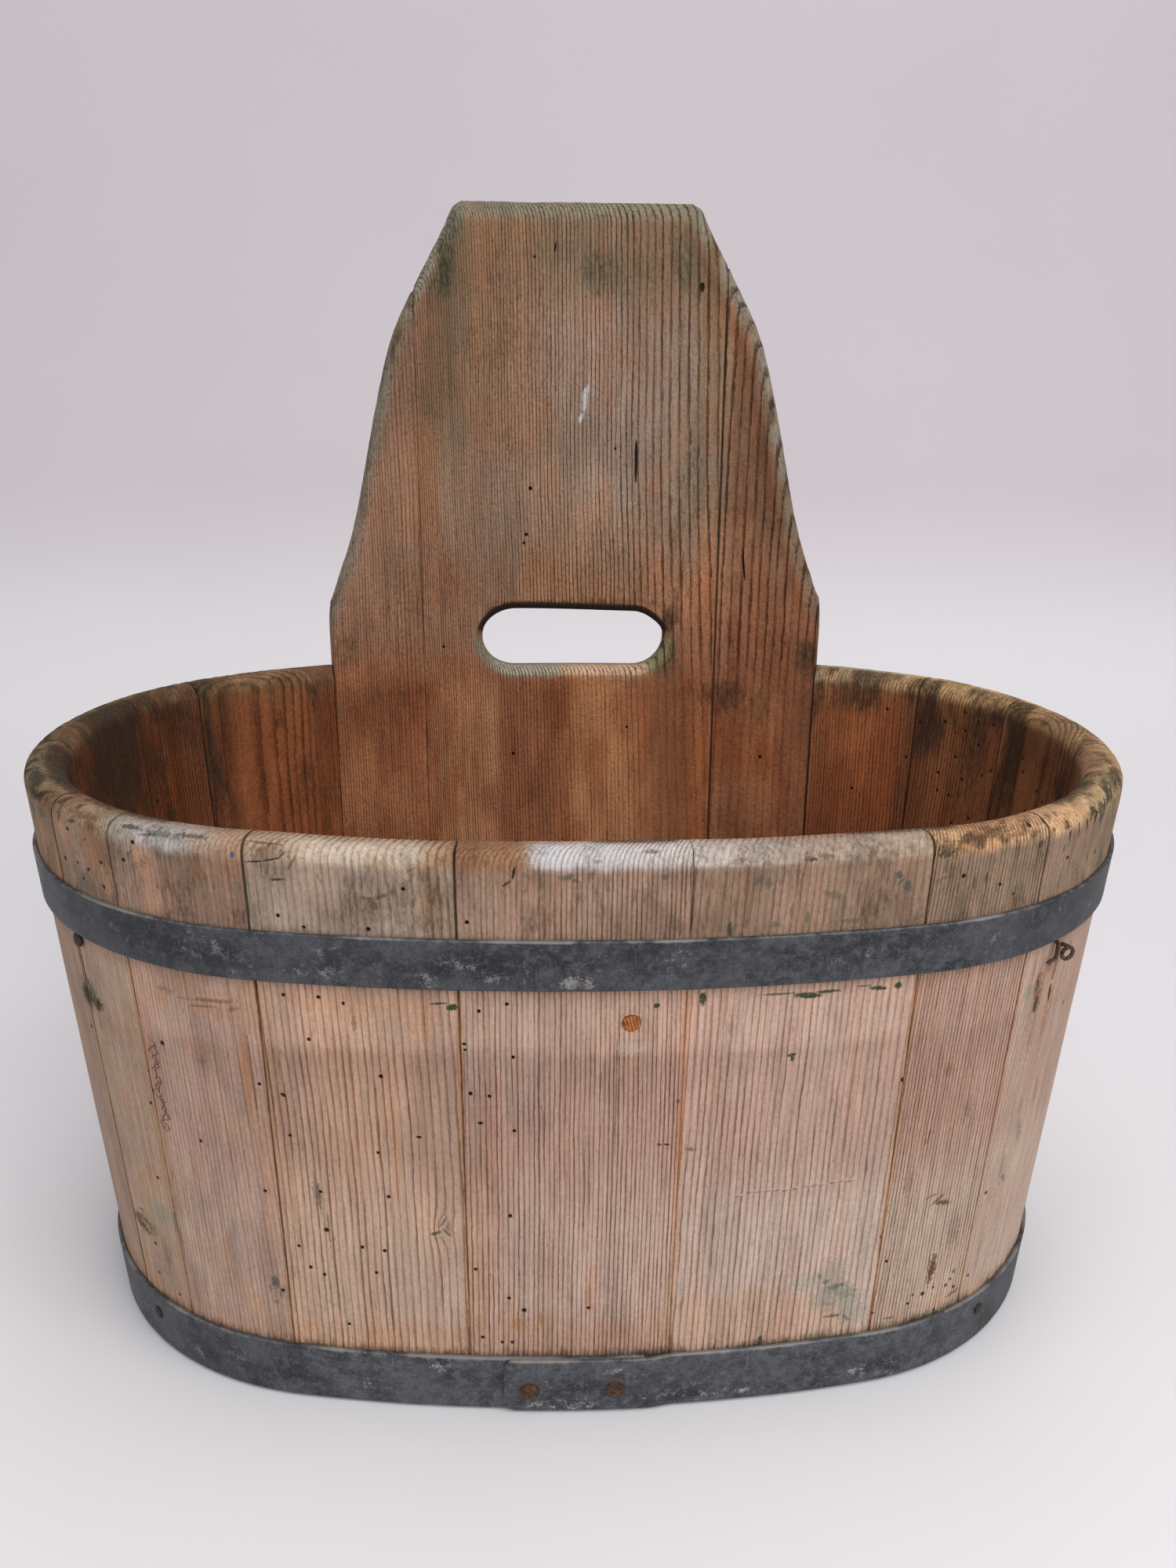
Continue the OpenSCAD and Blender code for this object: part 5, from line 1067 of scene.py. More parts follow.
# small round holes of wood beetles on the outside: arc position and height, mm
WORM_OUT = [(-203, 240), (-210, 226), (-200, 227), (-193, 226), (-198, 221), (-195, 220), (-184, 231), (-185, 221), (-171, 235), (-165, 243),
    (-65, 234), (-110, 221), (-78, 217.5), (-101, 217), (-111, 189), (-89, 187), (-86, 181), (-103, 171), (-167, 160), (-220, 150), (-45.0, 224.5), (-43.4, 221.5),
    (-40, 186), (-30, 189), (-98, 189), (-77, 157), (-124, 150), (-181, 129), (-120, 128), (-114, 128), (-155, 119), (-80, 123), (-186, 92), (-127, 101), (-104, 103),
    (-77, 103), (-119, 88), (-103, 85), (-115, 76), (-89, 78), (-80, 77), (-111, 66), (-105.5, 63), (-84, 66), (-124, 53), (-119, 47), (-97, 39), (-201, 38), (-186, 33),
    (-199, 54), (-207, 165), (-28, 167), (-44, 151), (-37, 150), (-28, 135), (-30, 96), (-44, 70), (-31, 56), (-25, 50), (1, 51), (-42, 36), (-34, 33.5), (-30, 33.5),
    (179, 81), (125, 62), (148, 40), (162, 40), (168, 37), (140, 37), (157, 29), (178, 39), (134, 233), (151, 227), (214, 225), (188, 230), (-245, 170), (-262, 120), (-250, 90),
    (-300, 200), (-330, 150), (-355, 60), (-390, 110), (-440, 130), (-455, 70), (280, 150), (300, 90), (330, 190), (345, 60), (390, 120), (410, 180), (440, 80), (455, 160)]
BIG = {(-103, 85), (-207, 165), (-25, 50), (148, 40), (-167, 160)}
# longer marks: arc position, height, half width, half height, depth, angle
SLITS_OUT = [(-40.6, 138.2, 0.95, 0.6, 2.0, 0.0), (-41.6, 141.8, 1.0, 0.45, 2.0, 0.0), (-115, 146, 1.15, 0.6, 1.5, -0.6), (-64, 131, 1.1, 0.45, 2.0, 0.0)]
WORM_IN = [(397, 238), (387, 235), (376, 236), (399, 215), (392, 205), (395, 182), (383, 187), (352, 196), (338, 203), (346, 220), (322, 212), (317, 206), (408, 196), (372, 214), (357, 178), (340, 186), (425, 228), (431, 209), (446, 232), (463, 188),
           (409, 231), (409, 205), (395, 229), (384, 224), (399.7, 195), (378, 210), (348.6, 226), (330, 215), (318, 222), (300, 214), (-324, 226), (-309, 214), (-341, 205), (-376, 199),
    (430, 180), (365, 180), (-290, 190), (-360, 160), (250, 200), (280, 160)]


def u_of(arc, phi):
    if arc is FRONT:
        return (phi - 1.5 * math.pi) * RS
    if arc is RIGHT:
        return LS + (phi - (1.5 * math.pi + SA)) * RE
    return -LS + (phi - (1.5 * math.pi - SA)) * RE


def top_wear(u):
    """How far the rim is worn down at u, mm."""
    return 0.25 + 0.9 * fbm(u * 0.02, 0, 0, 201, 3) * smooth(0.3, 0.7, vnoise(u * 0.013, 2, 0, 203))


def wall_stave(name, arc, phi0, phi1, grain, index):
    cx, cy, R = arc
    gap = 0.05 / R
    phi0, phi1 = phi0 + gap, phi1 - gap
    W = (phi1 - phi0) * R
    ts = graded(W, [0, 0.25, 0.6, 1.25], 1.7) / W
    zs = np.r_[[0, 0.35, 1.0, 2.0], np.arange(5.0, 24.5, 3.9), [24.9, 25.9, 34.1, 35.1], np.arange(38.2, 234, 3.2), RIM - np.array([13.6, 11.6, 9.8, 8.4, 7.0, 5.7, 4.5, 3.4, 2.4, 1.5, 0.8, 0.3, 0])]
    slab = Slab(ts, zs, lambda z: W * (R - LEAN * (RIM - z)) / R, strip=(0.12, 0.5, 0.88))
    um = u_of(arc, (phi0 + phi1) / 2)
    u0 = um - W / 2
    made = 0
    for (hu, hz) in WORM_OUT:
        if u0 + 2 < hu < u0 + W - 2:
            r = 1.02 if (hu, hz) in BIG else 0.66 + 0.22 * float(vnoise(hu * 3.1, hz * 2.7, 0, 9))
            made += slab.pit(0, (hu - u0) / W, hz, r, r * 0.92, 3.2)
    for (hu, hz, rx, rz, dep, ang) in SLITS_OUT:
        if u0 + 3 < hu < u0 + W - 3:
            made += slab.pit(0, (hu - u0) / W, hz, rx, rz, dep, ang)
    for (hu, hz) in WORM_IN:
        if u0 + 2 < hu < u0 + W - 2:
            made += slab.pit(1, (hu - u0) / W, hz, 0.8, 0.75, 3.0)
    t, z, b, e, h, quads, tris = slab.done()
    u = u0 + t * W
    # rounded rim, worn more in some places, and small rounded joints
    s_top = RIM - z
    ro = 5.4 + 1.6 * (fbm(u * 0.018, 0, 0, 221, 3) - 0.4) + 3.0 * smooth(120, 140, u) * (1 - smooth(330, 420, u)) + 2.0 * smooth(-120, -190, u)
    ri = 6.4 + 1.8 * (fbm(u * 0.018, 7, 0, 227, 3) - 0.4)
    ro = np.minimum(ro, 9.2)
    sl, sr = t * W, (1 - t) * W
    seam = np.minimum(sl, sr)
    faint = np.ones(len(u))
    near = lambda q: np.abs(u - q) < 6
    faint = np.where(near(-LS), 0.38 + 0.62 * smooth(150, 205, z), faint)
    faint = np.where(near(-0.39 * RS * SA), 0.70 + 0.30 * smooth(150, 200, z), faint)
    faint = np.where(near(0.285 * RS * SA), 0.28 + 0.30 * smooth(110, 60, z) + 0.15 * smooth(190, 215, z), faint)
    faint = np.where(near(LS), 0.62, faint)
    if name in ("right_end_stave_front", "right_end_stave_middle"):
        faint = np.where(u > 240, 0.55, 1.0)
    if name in ("left_end_stave_front", "front_left_corner_stave"):
        faint = np.where(np.abs(u + 178) < 6, 0.6, 1.0)
    jr = 0.30 + 0.55 * vnoise(u * 0 + index * 7.7, 0, z * 0.03, 229) ** 2 + 0.5 * smooth(RIM - 10, RIM, z)
    jr = jr * (0.35 + 0.65 * faint)
    jo = rounding(sl, jr) + rounding(sr, jr)
    # each stave stands a hair in or out of line with its neighbours
    line_off = 0.10 + 0.22 * float(vnoise(index * 3.3, 1.0, 2.0, 233))
    wave = 0.35 * (fbm(u * 0.03, 1, z * 0.012, 239, 3)) + 0.12 * fbm(u * 0.35, 1, z * 0.03, 241, 2)
    hooped = np.maximum(smooth(190, 196, z) * smooth(220, 214, z), smooth(31, 26, z))
    crisp = smooth(30, 38, u) * smooth(122, 118, u)
    chamfer = np.maximum(0, 6.6 - s_top) * 0.62 + rounding(s_top, 1.6)
    dout = rounding(s_top, ro) * (1 - 0.8 * crisp) + 0.8 * crisp * chamfer
    dout = dout + jo * 0.9 + line_off * (1 - 0.6 * hooped) + wave * (1 - 0.5 * hooped)
    dout = dout + rounding(z, 1.3)
    # the knotty cracked place in the right end's rim
    dout = dout + 1.3 * ell(u, z, 235, 243, 14, 7, 0.3, 0.6) * fbm(u * 0.35, 3, z * 0.4, 251, 3)
    din = rounding(s_top, ri) + jo * 0.9 + 0.30 * fbm(u * 0.04, 5, z * 0.015, 257, 3)
    groove = smooth(24.9, 25.9, z) * (1 - smooth(34.1, 35.1, z))
    din = din + 5.0 * groove + rounding(z, 2.0)
    dout, din = np.minimum(dout, 8.4), np.minimum(din, 8.4)
    d = (1 - b) * dout + b * (TH - din) + e
    zz = z - top_wear(u) * smooth(215, 249, z) + 0.35 * (fbm(u * 0.08, d * 0.1, 0, 263, 2) - 0.5) * smooth(246, 249, z)
    zz = np.maximum(zz, 0.0)
    phi = phi0 + t * (phi1 - phi0)
    r = R - LEAN * (RIM - zz) - d
    v = np.c_[cx + r * np.cos(phi), cy + r * np.sin(phi), zz]
    # grain
    g = Grain(W, **grain)
    xp = (t - 0.5) * W * (R - LEAN * (RIM - z)) / R
    ring = g.ring(xp, -d, zz)
    # relief of the surface
    n = normals_of(v, [quads, tris])
    rough = 0.16 * (fbm(u * 0.5, d * 0.5, zz * 0.10, 269, 3) - 0.5)
    topm = smooth(RIM - 12, RIM - 3, z)
    ends = np.clip(smooth(120, 130, u) + smooth(-176, -186, u), 0, 1)
    rough = rough + topm * (0.45 + 0.7 * ends) * (fbm(u * 0.26, d * 0.26, zz * 0.26, 271, 4) - 0.5)
    move = np.where((h > 0.5) | (z < 0.2), 0.0, -np.abs(rough))
    v = v + n * move[:, None]
    v[:, 2] = np.maximum(v[:, 2], 0.0)
    inner = smooth(0.25, 0.75, (d - 2) / (TH - 4))
    col, m1, m2 = paint_wall(name, u, z, d, inner, topm, seam, faint)
    # painted shade: the walls of the small holes and slits are darkened through the darkening mask
    m1[:, 0] = np.maximum(m1[:, 0], np.clip(h, 0, 1) * 1.3)
    ob = new_object(name + "_wood", v, [quads, tris])
    set_float(ob, "ring", ring)
    set_vector(ob, "plank", np.c_[xp + index * 137.0, -d + index * 31.0, zz] * 0.001)
    set_color(ob, "tint", col)
    set_color(ob, "m1", m1)
    set_color(ob, "m2", m2)
    spots = []
    for kind, su, sz, rx, rz, ang, amount, rag in SPOTS:
        if u0 + 0.2 < su < u0 + W - 0.2:
            spots.append((kind, (su - um) * (R - LEAN * (RIM - sz)) / R + index * 137.0, sz, rx, rz, ang, amount, rag))
    track = None
    if name == "front_left_corner_stave":
        track = ((-173.2 - um) * (R - LEAN * 110) / R + index * 137.0, 117, 161)
    mat = wood_material("weathered_softwood_%d" % index, spots=spots, track=track) if spots else MAT_WALL
    finish_piece(ob, mat, "wall_wood", name)
    return made


holes = 0
for k, (name, arc, p0, p1, grain) in enumerate(STAVES):
    holes += wall_stave(name, arc, p0, p1, grain, k + 1)

# ---------------------------------------------------------------- tall board
BX = 3.0
OUT = np.array([(0, 0), (57, 0), (61.5, 3.5), (66, 13), (72, 24), (81, 41), (89.5, 58), (95, 74), (101, 99), (106, 123), (111, 147), (115.5, 164), (121.5, 181), (129, 203), (131, 208), (150, 214)], float)


def smooth_outline(points, corners=(1, 13, 14, 15)):
    """A smooth line through the outline's points, sharp at the corners named."""
    out = []
    n = len(points)
    for i in range(n - 1):
        p1, p2 = points[i], points[i + 1]
        p0 = points[i - 1] if i > 0 and i not in corners else p1 * 2 - p2
        p3 = points[i + 2] if i + 2 < n and (i + 1) not in corners else p2 * 2 - p1
        for s in np.linspace(0, 1, 6)[:-1]:
            out.append(0.5 * ((2 * p1) + (-p0 + p2) * s + (2 * p0 - 5 * p1 + 4 * p2 - p3) * s * s + (-p0 + 3 * p1 - 3 * p2 + p3) * s ** 3))
    out.append(points[-1])
    return np.array(out)


LINE = smooth_outline(OUT)
LINE_W, LINE_Z = LINE[:, 0], TOP - LINE[:, 1]


def half_width(z):
    zz = np.clip(np.asarray(z, float), LINE_Z.min(), TOP)
    order = np.argsort(LINE_Z, kind="stable")
    keep = LINE_W >= 57 - 1e-6
    zs, ws = LINE_Z[keep], LINE_W[keep]
    o = np.argsort(zs, kind="stable")
    return np.interp(zz, zs[o], ws[o])


def outline_distance(x, z):
    """Distance in the board's face from its top and side edges above the rim."""
    best = np.full(np.shape(x), 1e9)
    ax = np.abs(x)
    pts = LINE[:-3]
    for p, q in zip(pts[:-1], pts[1:]):
        a = np.array([p[0], TOP - p[1]])
        c = np.array([q[0], TOP - q[1]]) - a
        L2 = (c ** 2).sum()
        if L2 < 1e-9:
            continue
        s = np.clip(((ax - a[0]) * c[0] + (z - a[1]) * c[1]) / L2, 0, 1)
        best = np.minimum(best, np.hypot(ax - a[0] - s * c[0], z - a[1] - s * c[1]))
    return best


def r_of(z, d):
    return RS - LEAN * (RIM - z) - d


def joint_x(side, z, d):
    """X where the plane of the joint with the round end's first stave cuts."""
    A = on_right(0.972) if side > 0 else on_left(0.988)
    ex = EX * side
    k = ex * math.cos(A) + SY * math.sin(A)
    rho = -k + np.sqrt(k * k - (ex * ex + SY * SY - r_of(z, d) ** 2))
    return ex + rho * math.cos(A)


SEAM_L, SEAM_R = -0.643 * SA, 0.638 * SA


def bound(kind, side, z, d):
    """X of a board stave's edge."""
    if kind == "seam_l":
        s = r_of(z, d) * math.sin(SEAM_L) + 0.04 * side
    elif kind == "seam_r":
        s = r_of(z, d) * math.sin(SEAM_R) + 0.04 * side
    else:
        s = np.full(np.shape(z), 1e9 * side)
    return s


def board_bounds(part, z, d):
    """(X at t = 0, X at t = 1): t runs towards -X, to the right as seen from behind."""
    hw = half_width(z)
    right_out = np.minimum(BX + hw, joint_x(1, z, d) - 0.06)
    left_out = np.maximum(BX - hw, joint_x(-1, z, d) + 0.06)
    if part == "middle":
        return np.minimum(bound("seam_r", -1, z, d), BX + hw), np.maximum(bound("seam_l", 1, z, d), BX - hw)
    if part == "right":
        return right_out, np.minimum(bound("seam_r", 1, z, d), right_out - 0.05)
    return np.maximum(bound("seam_l", -1, z, d), left_out + 0.05), left_out


def board_stave(part, name, grain, index):
    z_all = TOP
    if part != "middle":
        zt = np.linspace(380, TOP, 800)
        a, c = board_bounds(part, zt, np.full(zt.shape, 8.0))
        z_all = float(zt[np.nonzero(a - c > 0.5)[0].max()])
    a, c = board_bounds(part, np.array([230.0]), np.array([8.0]))
    W0 = float(a[0] - c[0])
    near = [0, 0.3, 0.65, 1.2, 2.1, 3.2, 4.6, 6.2]
    ts = graded(W0, near, 1.75) / W0
    tops = TOP if part == "middle" else z_all
    zs = np.r_[[0, 0.35, 1.0, 2.0], np.arange(5.0, 24.5, 3.9), [24.9, 25.9, 34.1, 35.1], np.arange(38.2, tops - 16.0, 3.0), tops - np.array([13.6, 11.6, 9.8, 8.4, 7.0, 5.7, 4.5, 3.4, 2.4, 1.5, 0.8, 0.3, 0])]

    def width(z):
        a, c = board_bounds(part, np.array([float(z)]), np.array([8.0]))
        return float(a[0] - c[0])

    slab = Slab(ts, zs, width, strip=(0.15, 0.5, 0.85))
    made = 0
    slot_c = (2.5, 262.0)
    if part == "middle":
        a, c = board_bounds(part, np.array([262.0]), np.array([8.0]))
        slab.slot((float(a[0]) - slot_c[0]) / width(262), slot_c[1], 46.0, 16.0, 5.0)

    def at(face, X, z, rx, rz, dep, ang=0.0):
        a, c = board_bounds(part, np.array([z]), np.array([TH if face else 0.0]))
        w = float(a[0] - c[0])
        tt = (float(a[0]) - X) / w
        if 0.03 < tt < 0.97:
            return slab.pit(face, tt, z, rx, rz, dep, ang)
        return False

    for X, z, r in ((-20.5, 336.8, 0.95), (-22.7, 313.7, 0.8), (53.0, 290.2, 0.85), (54.8, 278.2, 0.7), (56.7, 273.0, 0.7), (-65, 257, 0.7), (-18, 447.4, 0.6), (-24, 309.5, 0.6),
                    (-30, 200, 0.8), (6, 232, 0.8), (30, 214, 0.7), (100, 200, 0.8), (22.5, 356.6, 0.6)):
        made += at(1, X, z, r, r, 3.0)
    for X, z, rx, rz in ((33.0, 350.5, 0.75, 10.5), (64.2, 434.0, 1.3, 2.2), (-8.0, 452.0, 0.4, 2.4), (88.5, 300.0, 0.4, 8.0)):
        made += at(1, X, z, rx, rz, 1.6)
    for X, z in ((-30, 420), (20, 330), (-50, 300), (40, 400), (10, 150), (-40, 110), (50, 90)):
        made += at(0, X, z, 0.85, 0.8, 3.0)
    t, z, b, e, h, quads, tris = slab.done()
    # first guess of the depth, then the edges' places
    d0 = b * TH
    a, c = board_bounds(part, z, d0)
    X = a + (c - a) * t
    od = outline_distance(X - BX, z)
    slot_d = np.hypot(np.maximum(np.abs(X - slot_c[0]) - 30.0, 0), z - slot_c[1]) - 16.0
    slot_d = np.where(h <= -1, -h - 1, slot_d)
    if part == "middle":
        stretch = 2.4 * smooth(-18, -40, X) * smooth(-72, -47, X) * smooth(225, 247, z) * smooth(300, 278, z)
        sag = (2.0 + 1.4 * smooth(-30, 45, X)) * smooth(263, 276, z) * smooth(306, 279, z) * smooth(-74, -50, X) * smooth(70, 55, X)
        z = z - sag
        a, c = board_bounds(part, z, d0)
        t = np.clip((X - stretch - a) / (c - a), 0, 1) * (stretch > 0) + t * (stretch <= 0)
        X = a + (c - a) * t
    W = np.abs(a - c)
    sa, sc = t * W, (1 - t) * W
    # which edges are joints
    hw = half_width(z)
    if part == "middle":
        seam_a = bound("seam_r", -1, z, d0) < BX + hw - 0.01
        seam_c = bound("seam_l", 1, z, d0) > BX - hw + 0.01
    elif part == "right":
        seam_a = joint_x(1, z, d0) - 0.06 < BX + hw
        seam_c = np.ones(len(z), bool)
    else:
        seam_a = np.ones(len(z), bool)
        seam_c = joint_x(-1, z, d0) + 0.06 > BX - hw
    jr = 0.22 + 0.5 * vnoise(index * 7.7, 0, z * 0.03, 229) ** 2
    ja, jc = jr * (0.35 if part == "left" else 1.0), jr * (0.35 if part == "middle" else 1.0)
    jo = np.where(seam_a, rounding(sa, ja), 0) + np.where(seam_c, rounding(sc, jc), 0)
    seam = np.minimum(np.where(seam_a, sa, 99), np.where(seam_c, sc, 99))
    ri = 7.6 + 2.2 * (fbm(X * 0.02, 3, z * 0.02, 303, 3) - 0.4) + 1.4 * smooth(440, 465, z)
    ri = ri * (0.45 + 0.55 * smooth(262, 292, z))
    ro = 6.0 * (0.45 + 0.55 * smooth(262, 292, z)) + 0 * X
    odn = od + 0.9 * (fbm(X * 0.3, 0, z * 0.22, 307, 3) - 0.5) * smooth(8, 2, od) * smooth(0, 1.0, od)
    dout = rounding(odn, ro) + jo * 0.9
    din = rounding(odn, ri) + jo * 0.9
    in_slot = slot_d < 5.0
    dout = dout + np.where(in_slot, rounding(np.maximum(slot_d, 0), 3.0), 0)
    din = din + np.where(in_slot, rounding(np.maximum(slot_d, 0), np.where(z < 262, 4.9, 3.4)), 0)
    wave = 0.35 * fbm(X * 0.03, 1, z * 0.012, 311, 3) + 0.10 * fbm(X * 0.35, 1, z * 0.03, 313, 2)
    hooped = np.maximum(smooth(190, 196, z) * smooth(220, 214, z), smooth(31, 26, z))
    line_off = 0.08
    dout = dout + (wave + line_off) * (1 - 0.5 * hooped) + rounding(z, 1.3)
    groove = smooth(24.9, 25.9, z) * (1 - smooth(34.1, 35.1, z))
    din = din + 0.30 * fbm(X * 0.04, 5, z * 0.015, 317, 3) + 5.0 * groove + rounding(z, 2.0)
    # coarse relief where the bevel cuts across the growth rings
    xr = X - (0.0 if part == "middle" else (105.0 if part == "right" else -100.0))
    g = Grain(150.0 if part == "middle" else 48.0, **grain)
    bev = smooth(9, 5, od) * smooth(262, 275, z)
    ringp = g.ring(xr, -(b * TH), z)
    ridge = np.abs((ringp % 1.0) - 0.5) * 2
    dout = dout + bev * 0.5 * (1 - ridge)
    din = din + bev * 0.7 * (1 - ridge)
    dout, din = np.minimum(dout, 8.2), np.minimum(din, 8.4)
    d = (1 - b) * dout + b * (TH - din) + e
    a, c = board_bounds(part, z, d)
    X = a + (c - a) * t
    # ragged outline
    zz = z - 0.5 * smooth(470, 474, z) * fbm(X * 0.05, d * 0.1, 0, 331, 2)
    tilt = smooth(80, 200, z) * (1 - smooth(445, 470, z))
    z3 = np.maximum(zz + LEAN * (d - TH / 2) * tilt, 0)
    r = r_of(z, d)
    y = -SY - YS + np.sqrt(r * r - X * X)
    v = np.c_[X, y, z3]
    ring = g.ring(X - (0.0 if part == "middle" else (105.0 if part == "right" else -100.0)), -d, z3)
    n = normals_of(v, [quads, tris])
    rough = 0.16 * (fbm(X * 0.5, d * 0.5, z3 * 0.10, 337, 3) - 0.5) + bev * 0.9 * (fbm(X * 0.35, d * 0.35, z3 * 0.22, 341, 3) - 0.5)
    move = np.where((h > 0.5) | (z < 0.2), 0.0, -np.abs(rough))
    v = v + n * move[:, None]
    v[:, 2] = np.maximum(v[:, 2], 0.0)
    inner = smooth(0.2, 0.8, (d - 2) / (TH - 4))
    left_seam = (X < -40) if part != "right" else np.zeros(len(X), bool)
    free = (z > RIM - 1.5) & ((part == "right") & (sa < sc) | (part == "left") & (sc < sa))
    seam = np.where(free, 99.0, seam)
    col, m1, m2 = paint_board(name, X - BX, z, d, inner, od, seam, slot_d, left_seam)
    # painted shade: the walls of the small holes are darkened through the darkening mask
    m1[:, 0] = np.maximum(m1[:, 0], np.clip(h, 0, 1) * 1.4)
    ob = new_object(name + "_wood", v, [quads, tris])
    set_float(ob, "ring", ring)
    set_vector(ob, "plank", np.c_[X + index * 137.0, -d + index * 31.0, z3] * 0.001)
    set_color(ob, "tint", col)
    set_color(ob, "m1", m1)
    set_color(ob, "m2", m2)
    finish_piece(ob, MAT_BOARD, "board_wood", name)
    return made


holes += board_stave("middle", "board_stave_middle", dict(px=-190, py=-110, steps=((-80, 1.4), (-42, 1.6), (-25, 2.0), (20, 2.2), (34, 3.6), (60, 5.0), (80, 5.4)), tilt=0.028, wave=0.8, seed=21), 21)
holes += board_stave("right", "board_stave_right", dict(px=-62, py=22, steps=((-30, 3.4), (0, 3.8), (10, 3.8)), tilt=-0.02, wave=0.9, seed=22), 22)
holes += board_stave("left", "board_stave_left", dict(px=85, py=-60, steps=((-20, 1.5), (20, 1.7)), tilt=0.03, wave=0.8, seed=23), 23)

# ---------------------------------------------------------------- floor
def floor_board(name, y0, y1, index):
    """A board along X: t across Y, the other way along X. Built as a slab laid flat."""
    def half_len(y, inset):
        """Half length of the floor at distance y from the tub's middle line."""
        rs, re = RS - LEAN * (RIM - 30) - TH - inset, RE - LEAN * (RIM - 30) - TH - inset
        y = np.abs(y)
        ye = re * math.sin(math.pi / 2 - SA)
        side = np.sqrt(np.maximum(rs * rs - (SY + y) ** 2, 0))
        end = EX + np.sqrt(np.maximum(re * re - y * y, 0))
        return np.where(y > re * math.cos(SA) - 1e-6, side, end)

    inset = -4.4
    rs = RS - LEAN * (RIM - 30) - TH - inset
    ymax = rs - SY
    lo, hi = max(y0 + 0.15, -ymax + 0.3), min(y1 - 0.15, ymax - 0.3)
    W = hi - lo
    ts = graded(W, [0, 0.3, 0.9, 1.8, 3.2, 5.0], 3.0) / W
    us = graded(1.0, [0, 0.0008, 0.002, 0.004, 0.008, 0.0135, 0.016], 0.011)
    slab = Slab(ts, us, lambda z: W, strip=(0.15, 0.5, 0.85))
    t, s, b, e, h, quads, tris = slab.done()
    y = lo + t * W
    hl = half_len(y, inset)
    x = (s * 2 - 1) * hl
    # distance from the edge of the oval
    er = RE - LEAN * (RIM - 30) - TH - inset
    dx = np.maximum(np.abs(x) - EX, 0)
    dist_end = er - np.hypot(dx, y)
    dist_side = rs - np.hypot(x, SY + np.abs(y))
    dist = np.where(np.abs(x) > EX * (1 + np.abs(y) / SY), dist_end, dist_side)
    dist = np.maximum(dist, 0)
    tongue = smooth(5.6, 4.6, dist) * 4.0 + rounding(dist, 0.6)
    sl, sr = y - (y0 + 0.15), (y1 - 0.15) - y
    jr = 1.0
    jo = rounding(sl, jr) + rounding(sr, jr)
    cup = 0.5 * ((t - 0.5) * 2) ** 2
    wave = 0.35 * fbm(x * 0.012, y * 0.04, 0, 401 + index, 3)
    top_off = tongue + jo + 0.15 + 0.5 * wave
    bot_off = tongue + jo + 0.15 + 0.5 * wave
    zt, zb = 38.0 - top_off, 22.0 + bot_off
    # b = 0 is the underside, b = 1 the top
    z = (1 - b) * zb + b * zt
    v = np.c_[x, y - YS, z]
    g = Grain(W, px=(-60, 10, 40)[index], py=(-50, -60, -40)[index], steps=((-50, 3.2), (50, 3.4)), tilt=0.0, wave=1.4, seed=31 + index)
    ring = g.ring(y - (lo + hi) / 2 + 0.01 * x, -(38 - z), x + 120)
    n_mid = fbm(x * 0.02, y * 0.06, 0, 421, 4)
    col = np.tile(lin((146, 108, 80)), (len(x), 1))
    col = mixc(col, lin((112, 78, 56)), smooth(0.4, 0.7, n_mid) * 0.8)
    col = mixc(col, lin((160, 126, 94)), smooth(0.55, 0.8, fbm(x * 0.03, y * 0.03, 4, 431, 3)) * 0.6)
    under = 1 - b
    col = mixc(col, lin((132, 112, 90)), under * 0.8)
    dirt_and_shade = smooth(14, 4, dist) * 0.45 * (0.5 + n_mid) + smooth(1.2, 0.3, np.minimum(sl, sr)) * 0.9
    dirt_and_shade = np.maximum(dirt_and_shade, smooth(0.58, 0.75, n_mid) * 0.4)
    m1 = np.c_[dirt_and_shade, smooth(0.6, 0.8, fbm(x * 0.02, y * 0.03, 9, 433, 3)) * 0.4, 0 * x]
    m2 = np.c_[np.full(len(x), 0.8), 0.1 + 0 * x, 0 * x]
    ob = new_object(name + "_wood", v, [quads, tris])
    set_float(ob, "ring", ring)
    set_vector(ob, "plank", np.c_[y + index * 90, z, x] * 0.001)
    set_color(ob, "tint", col)
    set_color(ob, "m1", m1)
    set_color(ob, "m2", m2)
    finish_piece(ob, MAT_FLOOR, "floor_wood", name)


board_w = (147 - LEAN * (RIM - 30) - TH) * 2 / 3
floor_board("floor_board_front", -200, -board_w / 2, 0)
floor_board("floor_board_middle", -board_w / 2, board_w / 2, 1)
floor_board("floor_board_back", board_w / 2, 200, 2)

# ---------------------------------------------------------------- hoops
def oval_point(u, inset=0.0, z=RIM):
    """Point of the wall's outer face at rim arc position u, and the outward direction."""
    u = np.mod(u + HALF, 2 * HALF) - HALF
    s, a = np.sign(u) + (u == 0), np.abs(u)
    sh = -LEAN * (RIM - z) - inset
    A = a / RS
    x1, y1, n1x, n1y = (RS + sh) * np.sin(A), SY - (RS + sh) * np.cos(A), np.sin(A), -np.cos(A)
    B = SA + (a - LS) / RE
    x2, y2, n2x, n2y = EX + (RE + sh) * np.sin(B), -(RE + sh) * np.cos(B), np.sin(B), -np.cos(B)
    C = math.pi - SA + (a - LS - LE) / RS
    x3, y3, n3x, n3y = (RS + sh) * np.sin(C), -SY - (RS + sh) * np.cos(C), np.sin(C), -np.cos(C)
    pick = lambda p, q, r: np.where(a <= LS, p, np.where(a <= LS + LE, q, r))
    return s * pick(x1, x2, x3), pick(y1, y2, y3) - YS, s * pick(n1x, n2x, n3x), pick(n1y, n2y, n3y)


